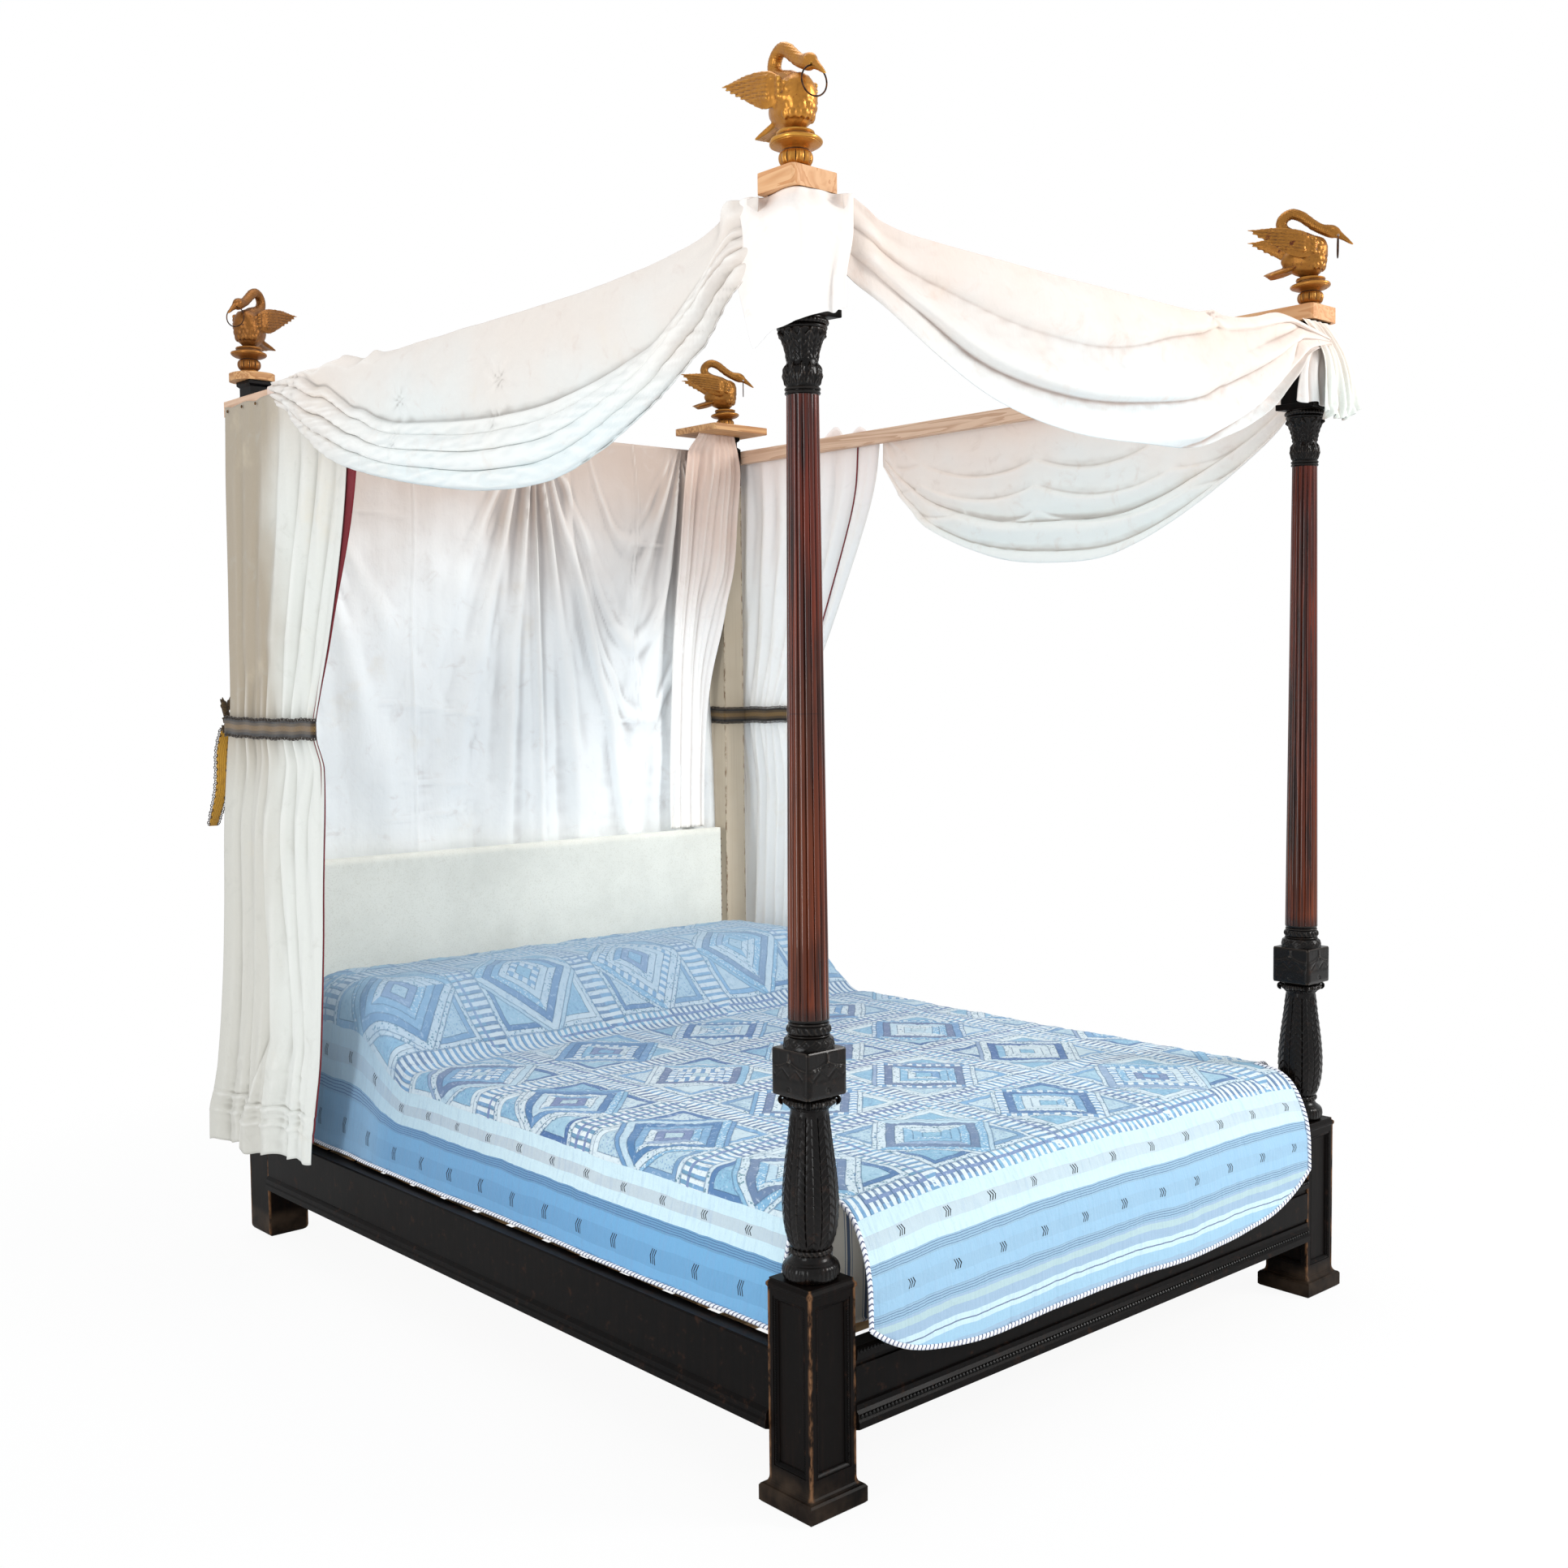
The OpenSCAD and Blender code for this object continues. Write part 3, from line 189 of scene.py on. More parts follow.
class Finish:
    """A material built from nodes."""

    def __init__(self, name):
        self.material = bpy.data.materials.new(name)
        self.material.use_nodes = True
        self.tree = self.material.node_tree
        self.tree.nodes.clear()

    def node(self, kind, settings=None, inputs=(), out=0):
        made = self.tree.nodes.new("ShaderNode" + kind)
        for name, value in (settings or {}).items():
            if name == "stops":
                for i, (place, color) in enumerate(value):
                    stop = made.color_ramp.elements[i] if i < 2 else made.color_ramp.elements.new(place)
                    stop.position, stop.color = place, color
            else:
                setattr(made, name, value)
        for key, value in (inputs.items() if isinstance(inputs, dict) else enumerate(inputs)):
            if isinstance(value, Value):
                self.tree.links.new(value.socket, made.inputs[key])
            elif value is not None:
                made.inputs[key].default_value = value
        return Value(self, made.outputs[out]) if len(made.outputs) else None

    def place(self, scale=(1, 1, 1), turn=(0, 0, 0)):
        """Position on the object, in metres."""
        where = self.node("TexCoord", out="Object")
        return self.node("Mapping", {}, {"Vector": where, "Scale": scale, "Rotation": turn})

    def cut(self, scale=(1, 1, 1), turn=(0, 0, 0), move=(0, 0, 0)):
        """Position on the flat cloth, in metres from its own map."""
        where = self.node("TexCoord", out="UV")
        return self.node("Mapping", {}, {"Vector": where, "Scale": scale, "Rotation": turn, "Location": move})

    def mark(self, name):
        return self.node("Attribute", {"attribute_name": name}, out="Fac")

    def split(self, where):
        parts = self.node("SeparateXYZ", {}, [where])
        outs = parts.socket.node.outputs
        return [Value(self, outs[i]) for i in range(3)]

    def join(self, x, y, z=0.0):
        return self.node("CombineXYZ", {}, [x, y, z])

    def noise(self, where, scale, detail=3.0, rough=0.5, warp=0.0):
        return self.node("TexNoise", {}, {"Vector": where, "Scale": scale, "Detail": detail,
                                          "Roughness": rough, "Distortion": warp})

    def cells(self, where, scale, out="Distance"):
        return self.node("TexVoronoi", {}, {"Vector": where, "Scale": scale}, out)

    def chance(self, where):
        """A different number from 0 to 1 for each whole-number place."""
        return self.node("TexWhiteNoise", {"noise_dimensions": "3D"}, {"Vector": where}, "Value")

    def whole(self, value):
        return value.math("FLOOR", value)

    def rest(self, value):
        return value.math("FRACT", value)

    def least(self, a, b):
        return self.node("Math", {"operation": "MINIMUM"}, [a, b])

    def most(self, a, b):
        return self.node("Math", {"operation": "MAXIMUM"}, [a, b])

    def smooth(self, value, low, high):
        return self.node("MapRange", {"interpolation_type": "SMOOTHSTEP"}, [value, low, high, 0.0, 1.0])

    def band(self, value, low, high):
        """1 between two values and 0 outside them."""
        return (value > low) * (value < high)

    def mix(self, share, a, b):
        return self.node("Mix", {"data_type": "RGBA"}, {0: share, 6: a, 7: b}, 2)

    def steps(self, value, *stops):
        """Flat stripes of colour: each stop is the value that a stripe starts at, and its colour."""
        made = self.node("ValToRGB", {"stops": stops}, [value], "Color")
        made.socket.node.color_ramp.interpolation = "CONSTANT"
        return made

    def bump(self, height, strength, distance, under=None):
        inputs = {"Height": height, "Strength": strength, "Distance": distance}
        if under:
            inputs["Normal"] = under
        return self.node("Bump", {}, inputs, "Normal")

    def done(self, color, roughness, bump=None, **constants):
        inputs = {"Base Color": color, "Roughness": roughness}
        if bump:
            inputs["Normal"] = bump
        for name, value in constants.items():
            inputs[SHADER_WORDS[name]] = value
        shader = self.node("BsdfPrincipled", {}, inputs, "BSDF")
        self.node("OutputMaterial", {}, {"Surface": shader})
        return self.material


def ebonised_wood(name, rub, marked=False):
    """Near-black stained hardwood under old polish, rubbed brown where hands and brooms touch it."""
    f = Finish(name)
    where = f.place()
    grain = f.noise(f.place((70, 70, 5)), 1.0, 5, 0.6, 0.4)
    blotch = f.noise(where, 9.0, 4, 0.55)
    worn = f.smooth(f.noise(where, 34.0, 5, 0.7), 0.56, 0.72) * rub
    color = f.mix(blotch, paint(4, 4, 4), paint(12, 9, 8))
    color = f.mix(f.smooth(grain, 0.42, 0.75) * 0.5, color, paint(22, 14, 11))
    color = f.mix(worn, color, paint(62, 40, 28))
    height = grain * 0.4
    if marked:
        # On carved pieces the raised carving is painted lighter, partly as rubbed wear and partly as a
        # painted highlight, and its hollows are painted near-black as painted shade.
        relief = f.mark("relief")
        color = f.mix(f.smooth(relief, 0.56, 0.86) * (0.25 + 0.6 * blotch), color, paint(72, 62, 54))
        color = f.mix(f.smooth(relief, 0.45, 0.18), color, paint(4, 4, 4))
    roughness = 0.24 + 0.18 * blotch + 0.15 * worn - (0.06 if marked else 0)
    bump = f.bump(height + f.noise(where, 160.0, 3) * 0.6, 0.22, 0.0006)
    return f.done(color, roughness, bump, specular=0.2 if marked else 0.06)


def edged_wood(name, faces_x, faces_y, corner):
    """Ebonised wood of a square leg whose arrises are rubbed through to the brown."""
    f = Finish(name)
    where = f.place()
    x, y, z = f.split(where)
    grain = f.noise(f.place((80, 80, 6)), 1.0, 5, 0.6, 0.5)
    blotch = f.noise(where, 7.0, 4, 0.6)
    nick = f.noise(f.place((60, 60, 24)), 1.0, 4, 0.75)
    near_x = f.smooth(f.least(abs(abs(x) - faces_x[0]), abs(abs(x) - faces_x[1])), corner, 0.0005)
    near_y = f.smooth(f.least(abs(abs(y) - faces_y[0]), abs(abs(y) - faces_y[1])), corner, 0.0005)
    arris = near_x * near_y
    color = f.mix(blotch, paint(6, 6, 6), paint(18, 13, 11))
    color = f.mix(f.smooth(grain, 0.45, 0.75) * 0.6, color, paint(28, 18, 14))
    color = f.mix(arris * f.smooth(nick, 0.38, 0.62), color, paint(128, 92, 64))
    color = f.mix(f.smooth(nick, 0.66, 0.8) * 0.5, color, paint(92, 66, 48))
    dust = f.smooth(z, 0.075, 0.045) * f.smooth(blotch, 0.35, 0.7) * 0.5
    color = f.mix(dust, color, paint(88, 72, 58))
    bump = f.bump(grain * 0.5 + nick * 0.7, 0.3, 0.0007)
    return f.done(color, 0.30 + 0.2 * blotch + 0.2 * arris, bump, specular=0.06)


def mahogany():
    """Red-brown polished column: darker by its head, orange lower down."""
    f = Finish("mahogany_polish")
    z = f.split(f.place())[2]
    grain = f.noise(f.place((110, 110, 3.2)), 1.0, 6, 0.62, 0.6)
    wide = f.noise(f.place((16, 16, 1.4)), 1.0, 3, 0.5, 0.3)
    height = f.smooth(z, 0.9, 1.95)
    light = f.mix(height, paint(112, 46, 16), paint(98, 32, 15))
    dark = f.mix(height, paint(40, 13, 5), paint(32, 8, 5))
    color = f.mix(f.smooth(grain, 0.35, 0.68), dark, light)
    color = f.mix(f.smooth(wide, 0.52, 0.75) * 0.5, color, paint(118, 58, 28))
    relief = f.mark("relief")
    # The grooves between the reeds are painted darker, as painted shade.
    color = f.mix(f.smooth(relief, 0.46, 0.2) * 0.85, color, paint(22, 8, 6))
    color = f.mix(f.smooth(z, 0.905, 0.878) * 0.7, color, paint(30, 12, 9))
    color = f.mix(f.band(z, 1.408, 1.4095) * 0.7, color, paint(40, 14, 10))
    bump = f.bump(grain, 0.12, 0.0004)
    return f.done(color, 0.20 + 0.12 * wide, bump, coat_weight=0.55, coat_roughness=0.04, specular=0.12)


def gilt(name, bright, deep, bole, bole_share, worn, roughness=0.34):
    """Gilding over red bole: gold on the high places, bole and old shellac in the hollows."""
    f = Finish(name)
    where = f.place()
    relief = f.mark("relief")
    patch = f.noise(where, 46.0, 5, 0.65)
    speck = f.noise(where, 190.0, 4, 0.7)
    color = f.mix(patch, paint(*deep), paint(*bright))
    color = f.mix(f.smooth(relief, 0.5, 0.22), color, paint(*[c * 0.42 for c in bole]))
    color = f.mix(f.smooth(patch + 0.25 * speck, 0.86 - 0.3 * bole_share, 0.98 - 0.3 * bole_share), color,
                  paint(*bole))
    color = f.mix(f.smooth(speck, 0.60, 0.72) * worn, color, paint(*[c * 0.5 for c in deep]))
    color = f.mix(f.smooth(relief, 0.58, 0.8) * 0.5, color, paint(*[min(255, c * 1.25 + 12) for c in bright]))
    metal = 0.72 - 0.5 * f.smooth(relief, 0.48, 0.25)
    rough = roughness + 0.25 * speck * f.smooth(relief, 0.7, 0.3)
    bump = f.bump(patch * 0.6 + speck * 0.5, 0.35, 0.0008)
    return f.done(color, rough, bump, metallic=metal)


def pine(name, grain_axis, light, dark, warm, rings):
    """Bare planed pine whose grain runs along one axis."""
    f = Finish(name)
    scale = [rings, rings, rings]
    scale[grain_axis] = rings * 0.045
    warped = f.noise(f.place(tuple(scale)), 1.0, 3, 0.5, 0.8)
    lines = f.rest(warped * 7.0)
    fine = f.noise(f.place(tuple(s * 14 for s in scale)), 1.0, 3, 0.6)
    knot = f.cells(f.place(tuple(4.6 if i != grain_axis else 2.1 for i in range(3))), 1.0)
    color = f.mix(f.smooth(lines, 0.2, 0.95), paint(*light), paint(*dark))
    color = f.mix(f.smooth(fine, 0.5, 0.8) * 0.35, color, paint(*warm))
    color = f.mix(f.smooth(knot, 0.11, 0.04) * 0.8, color, paint(120, 68, 34))
    color = f.mix(f.smooth(f.noise(f.place(), 5.0, 3), 0.45, 0.75) * 0.35, color, paint(*warm))
    bump = f.bump(lines * 0.4 + fine * 0.6, 0.25, 0.0005)
    return f.done(color, 0.52 + 0.12 * fine, bump, specular=0.35)


def cream_paint():
    """Old cream paint over deal, brushed along the post, chipped and greyed near its edges."""
    f = Finish("cream_paint")
    where = f.place()
    x, y, _ = f.split(where)
    brush = f.noise(f.place((160, 160, 3)), 1.0, 4, 0.6)
    soft = f.noise(where, 6.0, 4, 0.55)
    chip = f.noise(f.place((90, 90, 34)), 1.0, 5, 0.75)
    arris = f.smooth(f.most(abs(abs(x) - POST_X), abs(y - POST_Y)), 0.0365, 0.0398)
    both = arris * f.smooth(f.least(abs(abs(x) - POST_X), abs(y - POST_Y)), 0.033, 0.0392)
    color = f.mix(soft, paint(208, 196, 176), paint(188, 172, 148))
    color = f.mix(f.smooth(brush, 0.5, 0.75) * 0.35, color, paint(166, 150, 128))
    color = f.mix(both * f.smooth(chip, 0.45, 0.6), color, paint(120, 92, 66))
    color = f.mix(f.smooth(chip, 0.7, 0.76) * 0.6, color, paint(150, 124, 96))
    bump = f.bump(brush * 0.6 + f.smooth(chip, 0.6, 0.75) * 0.8, 0.3, 0.0006)
    return f.done(color, 0.46 + 0.14 * soft, bump, specular=0.4)


def old_metal(name, color, glow, roughness):
    f = Finish(name)
    where = f.place()
    patch = f.noise(where, 120.0, 4, 0.6)
    shade = f.mix(f.smooth(patch, 0.4, 0.7), paint(*color), paint(*glow))
    return f.done(shade, roughness + 0.2 * patch, f.bump(patch, 0.25, 0.0003), metallic=0.85)


EBONY = ebonised_wood("ebonised_wood", 0.5)
CARVED = ebonised_wood("ebonised_carving", 0.35, marked=True)
LEG_EDGES_X = (POST_X + 0.055, POST_X - 0.055)
LEG_EDGES_Y = (POST_Y + 0.055, POST_Y - 0.055)
EDGED = edged_wood("ebonised_leg", LEG_EDGES_X, LEG_EDGES_Y, 0.0075)
MAHOGANY = mahogany()
CREAM = cream_paint()
GILT = {
    "foot_left": gilt("gilt_bright", (214, 150, 62), (152, 94, 34), (128, 52, 22), 0.42, 0.3, 0.3),
    "foot_right": gilt("gilt_mottled", (190, 130, 54), (122, 76, 28), (98, 44, 22), 0.5, 0.8),
    "head_left": gilt("gilt_bronzed", (166, 108, 46), (96, 58, 24), (62, 30, 17), 0.35, 0.9, 0.4),
    "head_right": gilt("gilt_smooth", (172, 118, 50), (108, 68, 26), (74, 38, 20), 0.28, 0.5, 0.36),
}
BOARD_PINE = pine("pine_board", 1, (226, 178, 132), (204, 146, 98), (214, 150, 96), 22.0)
HEAD_PINE = pine("pine_head_board", 0, (206, 160, 110), (168, 118, 74), (190, 132, 80), 24.0)
BATTEN_PINE_Y = pine("pine_side_batten", 1, (222, 190, 164), (196, 158, 130), (206, 166, 140), 30.0)
BATTEN_PINE_X = pine("pine_end_batten", 0, (214, 180, 158), (184, 146, 122), (198, 156, 130), 30.0)
SLAT_PINE = pine("pine_slat", 0, (220, 186, 138), (190, 148, 98), (206, 160, 108), 24.0)
BRONZE = old_metal("ring_bronze", (46, 30, 22), (104, 66, 38), 0.32)
STEEL = old_metal("bolt_steel", (110, 110, 114), (150, 150, 154), 0.3)
OLD_BRASS = old_metal("nail_brass", (64, 44, 26), (128, 92, 50), 0.34)


def dress(node, material):
    """Gives a carried-over part its finish."""
    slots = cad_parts[node].material_slots
    for place in slots:
        place.material = material
    if not len(slots):
        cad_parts[node].data.materials.append(material)


def smooth_faces(bm, angle):
    for face in bm.faces:
        face.smooth = True
    for seam in bm.edges:
        if len(seam.link_faces) == 2 and seam.calc_face_angle(0) > angle:
            seam.smooth = False


def mark_relief(bm, strength, passes=1):
    """Stores how far each point stands above (over half) or below (under half) its neighbours."""
    layer = bm.verts.layers.float.get("relief") or bm.verts.layers.float.new("relief")
    bm.normal_update()
    around = {v: [e.other_vert(v) for e in v.link_edges] for v in bm.verts}
    height = {}
    for v, near in around.items():
        mean = sum((o.co for o in near), Vector()) / max(1, len(near))
        height[v] = (v.co - mean).dot(v.normal) * strength
    for _ in range(passes):
        height = {v: 0.5 * h + 0.5 * sum(height[o] for o in around[v]) / max(1, len(around[v]))
                  for v, h in height.items()}
    for v, h in height.items():
        v[layer] = clamp(0.5 + h)


def thing(name, bm):
    """A finished mesh becomes an object of the scene."""
    mesh = bpy.data.meshes.new(name)
    bm.to_mesh(mesh)
    bm.free()
    made = bpy.data.objects.new(name, mesh)
    scene.collection.objects.link(made)
    return made


def piece(name, bm, material, stands_for=(), angle=38):
    """A finished mesh becomes a piece of the bed; its edges sharper than angle stay crisp."""
    smooth_faces(bm, math.radians(angle))
    made = thing(name, bm)
    for one in (material if isinstance(material, list) else [material]):
        made.data.materials.append(one)
    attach(made, "bedstead")
    if stands_for:
        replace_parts(made, *stands_for)
    return made


def add_shape(bm, other):
    """Puts a finished shape in with the rest of a piece."""
    spare = bpy.data.meshes.new("spare")
    other.to_mesh(spare)
    other.free()
    bm.from_mesh(spare)
    bpy.data.meshes.remove(spare)


def evaluated_mesh(made):
    return bpy.data.meshes.new_from_object(made.evaluated_get(bpy.context.evaluated_depsgraph_get()))


def finished_shape(made, *others):
    """What an object's modifiers make of it; the objects themselves are then taken away."""
    mesh = evaluated_mesh(made)
    bm = bmesh.new()
    bm.from_mesh(mesh)
    bpy.data.meshes.remove(mesh)
    for spare in (made, *others):
        bpy.data.objects.remove(spare)
    return bm


def skin(bm, rings):
    """Closes rings of points, one after another, into a skin with flat ends."""
    for a, b in zip(rings, rings[1:]):
        for n in range(len(a)):
            after = (n + 1) % len(a)
            bm.faces.new((a[n], a[after], b[after], b[n]))
    bm.faces.new(rings[0][::-1])
    bm.faces.new(rings[-1])
    bmesh.ops.recalc_face_normals(bm, faces=bm.faces)


def fine_outline(outline, step):
    """The same outline with points no further apart than step."""
    points = [outline[0]]
    for a, b in zip(outline, outline[1:]):
        n = max(1, math.ceil(math.hypot(b[0] - a[0], b[1] - a[1]) / step))
        points += [(lerp(a[0], b[0], k / n), lerp(a[1], b[1], k / n)) for k in range(1, n + 1)]
    return points


def bead(radius, out, low, high, n=8):
    """Half round moulding of a turned outline."""
    return [(radius + out * math.sin(math.pi * k / n), lerp(low, high, (1 - math.cos(math.pi * k / n)) / 2))
            for k in range(n + 1)]


def turned(outline, steps, carve=None, step=None):
    """Turns an outline of (radius, height) about the upright axis, then carves it."""
    bm = bmesh.new()
    points = [bm.verts.new((r, 0, z)) for r, z in (fine_outline(outline, step) if step else outline)]
    for a, b in zip(points, points[1:]):
        bm.edges.new((a, b))
    bmesh.ops.spin(bm, geom=bm.verts[:] + bm.edges[:], axis=(0, 0, 1), angle=TURN, steps=steps,
                   use_merge=True)
    bmesh.ops.remove_doubles(bm, verts=bm.verts, dist=1e-6)
    bmesh.ops.recalc_face_normals(bm, faces=bm.faces)
    if carve:
        for v in bm.verts:
            radius = math.hypot(v.co.x, v.co.y)
            if radius > 0.003:
                grown = radius + carve(math.atan2(v.co.y, v.co.x), v.co.z, radius)
                v.co.x, v.co.y = v.co.x * grown / radius, v.co.y * grown / radius
    return bm


def stand(bm, place, heading=0.0):
    """Turns a finished shape about the upright axis and moves it to its place."""
    turn = Matrix.Rotation(heading, 4, "Z")
    bmesh.ops.transform(bm, verts=bm.verts, matrix=Matrix.Translation(place) @ turn)
    return bm


def at_foot_posts(part, bm, material, instead=None, angle=38):
    """Stands one shape at both foot posts; instead names the solid that it is dressed over."""
    for name, spot in FOOT.items():
        piece(f"{name}_{part}", stand(bm.copy(), (spot.x, spot.y, 0)), material,
              [f"{name}_{instead}"] if instead else (), angle)
    bm.free()


# ---------------------------------------------------------------- carved foot posts

def vase_outline(base, top):
    belly = [(lerp(0.036, 0.034, t) + 0.0151 * math.sin(math.pi * t**0.62) ** 1.3,
              lerp(base + 0.058, top - 0.026, t)) for t in [k / 40 for k in range(41)]]
    return ([(0, base), (0.044, base)] + bead(0.044, 0.0075, base, base + 0.031)
            + [(0.043, base + 0.0325), (0.0385, base + 0.036), (0.0352, base + 0.041), (0.034, base + 0.0455)]
            + bead(0.0345, 0.0042, base + 0.046, base + 0.057) + belly
            + [(0.0365, top - 0.0235), (0.0375, top - 0.021), (0.0445, top - 0.016), (0.0468, top - 0.012),
               (0.0452, top - 0.008), (0.040, top - 0.004), (0.038, top), (0, top)])


def carve_vase(base, top):
    """Gadroons below, then columns of overlapping chevron leaves, and a leafy collar."""
    columns = 10

    def cut(angle, z, radius):
        up = z - base
        if 0.001 < up < 0.032:
            return 0.0017 * (abs(math.sin(angle * 19)) ** 0.7 - 0.6) * math.sin(math.pi * up / 0.032)
        if 0.045 < up < 0.058:
            return 0.0009 * math.sin(angle * 26 + up * 500)
        if 0.060 < up and z < top - 0.027:
            share = (angle / TURN * columns) % 1
            off = abs(share - 0.5) * 2
            row = (up - 0.060) / 0.0168 + 0.62 * off + 0.35 * off * off
            blade = row % 1
            leaf = (1 - blade) ** 0.55 * (1 - 0.45 * off) - 0.62
            vein = ridge(off, 0.13) * 0.55
            groove = -1.3 * ridge(1 - off, 0.12)
            fade = ease(0.060, 0.070, up) * ease(top - 0.027, top - 0.040, z)
            return (0.0024 * leaf + 0.0013 * vein + 0.0014 * groove) * fade
        if top - 0.024 < z < top - 0.005:
            share = (angle / TURN * 16) % 1
            curl = math.sin(math.pi * ((z - top + 0.024) / 0.019))
            return 0.0028 * (abs(math.sin(math.pi * share)) - 0.55) * curl + 0.0008 * math.sin(angle * 48)
        return 0.0

    return cut


def scroll(bm, place, heading, size):
    """A small carved volute: a tapered roll that winds into its own eye."""
    rings = []
    for k in range(22):
        t = k / 21
        turn = 1.35 * TURN * t
        reach = size * (1 - 0.78 * t)
        centre = Vector((reach * math.sin(turn), 0, size - reach * math.cos(turn) - size))
        girth = size * lerp(0.42, 0.2, t)
        facing = Matrix.Rotation(-turn, 4, "Y") @ Matrix.Rotation(math.pi / 2, 4, "Y")
        rings.append(Matrix.Translation(centre) @ facing @ Matrix.Diagonal((girth, size * 0.62, 1, 1)))
    loft(bm, rings, 8, Matrix.Translation(place) @ Matrix.Rotation(heading, 4, "Z"))


def loft(bm, rings, around=12, place=Matrix.Identity(4)):
    """Joins ring after ring into one closed skin; each ring is a circle moved by its matrix."""
    loops = []
    for ring in rings:
        made = bmesh.ops.create_circle(bm, segments=around, radius=1, matrix=place @ ring)["verts"]
        loops.append(list({e for v in made for e in v.link_edges}))
    faces = []
    for a, b in zip(loops, loops[1:]):
        faces += bmesh.ops.bridge_loops(bm, edges=a + b)["faces"]
    for end in (loops[0], loops[-1]):
        faces += bmesh.ops.contextual_create(bm, geom=end)["faces"]
    bmesh.ops.recalc_face_normals(bm, faces=faces)


VASE_TOP, BLOCK_TOP, COLUMN_TOP, CAPITAL_TOP = (edge("foot_left_" + part, 2, 1)
                                                for part in ("vase", "block", "column", "capital"))
vase = turned(vase_outline(PLINTH_TOP, VASE_TOP), 180, carve_vase(PLINTH_TOP, VASE_TOP), 0.0028)
mark_relief(vase, 560)
at_foot_posts("vase_carving", vase, CARVED, instead="vase")
curls = bmesh.new()
for k in range(4):
    heading = math.pi / 4 + k * math.pi / 2
    scroll(curls, (0.047 * math.cos(heading), 0.047 * math.sin(heading), VASE_TOP - 0.010), heading, 0.0075)
at_foot_posts("collar_scrolls", curls, EBONY)


# The square block: a draped festoon from a pendant on each face, facets below it and a stud.
def block_relief(u, v):
    """Height over the face in metres; u and v run from -1 to 1."""
    line = 0.24 + 0.30 * (1 - abs(u)) ** 2.2
    below = ease(line, line - 0.07, v)
    festoon = ridge(v - line, 0.085)
    pendant = ridge(u, 0.10) * ease(0.36, 0.5, v) + 0.9 * ridge(math.hypot(u, (v - 0.44) * 0.8), 0.13)
    tooth = abs(((u * 1.35 + 0.5) % 1) - 0.5) * 2
    zig = ridge(v - (-0.16 + 0.34 * tooth), 0.09) * ease(0.96, 0.8, abs(u))
    facet = ease(-0.36, -0.16, v) * ease(0.30, 0.1, v) * (0.4 + 0.6 * tooth)
    stud = 1.5 * math.sqrt(max(0.0, 1 - (math.hypot(u, v + 0.66) / 0.115) ** 2))
    top_lines = ridge(abs(u) - 0.52, 0.05) * ease(0.5, 0.7, v) * 0.5
    border = ease(0.95, 0.80, max(abs(u), abs(v)))
    return (0.0015 * festoon + 0.0019 * pendant - 0.0018 * below + 0.0013 * zig + 0.0007 * facet
            + 0.0020 * stud + 0.0006 * top_lines) * border


def carved_block(half, low, high):
    bm = bmesh.new()
    bmesh.ops.create_cube(bm, size=2)
    bmesh.ops.subdivide_edges(bm, edges=bm.edges, cuts=46, use_grid_fill=True)
    tall = (high - low) / 2
    for v in bm.verts:
        x, y, z = v.co
        on_x, on_y = abs(x) > 0.999, abs(y) > 0.999
        shape = Vector((x * half, y * half, (low + high) / 2 + z * tall))
        round_off = 0.0016 * (max(0.0, (abs(x) - 0.93) / 0.07) * max(0.0, (abs(y) - 0.93) / 0.07)
                              + max(0.0, (abs(z) - 0.93) / 0.07)
                              * max(0.0, (max(abs(x), abs(y)) - 0.93) / 0.07))
        if on_x != on_y:
            lift = block_relief(y if on_x else x, z)
            if on_x:
                shape.x += math.copysign(lift, x)
            else:
                shape.y += math.copysign(lift, y)
        shape.x -= math.copysign(round_off, x) if abs(x) > 0.93 else 0
        shape.y -= math.copysign(round_off, y) if abs(y) > 0.93 else 0
        v.co = shape
    return bm


def neck_outline(top, end):
    return ([(0, top - 0.001), (0.0455, top - 0.001), (0.0455, top + 0.002)]
            + [(0.039 + 0.0065 * math.cos(math.pi / 2 * k / 6),
                top + 0.002 + 0.018 * math.sin(math.pi / 2 * k / 6))
               for k in range(7)]
            + [(0.0368, top + 0.0205)] + bead(0.0362, 0.0018, top + 0.0208, top + 0.0245, 4)
            + bead(0.0355, 0.0034, top + 0.025, top + 0.0405)
            + bead(0.0345, 0.0022, top + 0.041, top + 0.046, 4)
            + [(0.0352, top + 0.047), (0.0365, end - 0.003), (0.0372, end), (0, end)])


def carve_neck(top):
    def cut(angle, z, radius):
        up = z - top
        if 0.002 < up < 0.0195:
            share = (angle / TURN * 14) % 1
            rise = (up - 0.002) / 0.0175
            lozenge = abs(share - 0.5) * 2 + abs(rise - 0.5) * 2
            return 0.0016 * (ridge(lozenge - 0.86, 0.24) + 0.8 * ridge(lozenge, 0.42)) - 0.0008
        if 0.026 < up < 0.0395:
            return 0.0016 * math.sin(angle * 22 + up * 260) * math.sin(math.pi * (up - 0.026) / 0.0135)
        return 0.0
    return cut


NECK_LOW = VASE_TOP + 0.083
block = carved_block(0.0475, VASE_TOP, NECK_LOW)
mark_relief(block, 1100)
at_foot_posts("block_carving", block, CARVED, instead="block")
neck = turned(neck_outline(NECK_LOW, BLOCK_TOP), 136, carve_neck(NECK_LOW), 0.0028)
mark_relief(neck, 540)
at_foot_posts("block_neck", neck, CARVED)


# Reeded column: sixteen round reeds between sharp grooves, tapering to the capital.
REEDS = 16


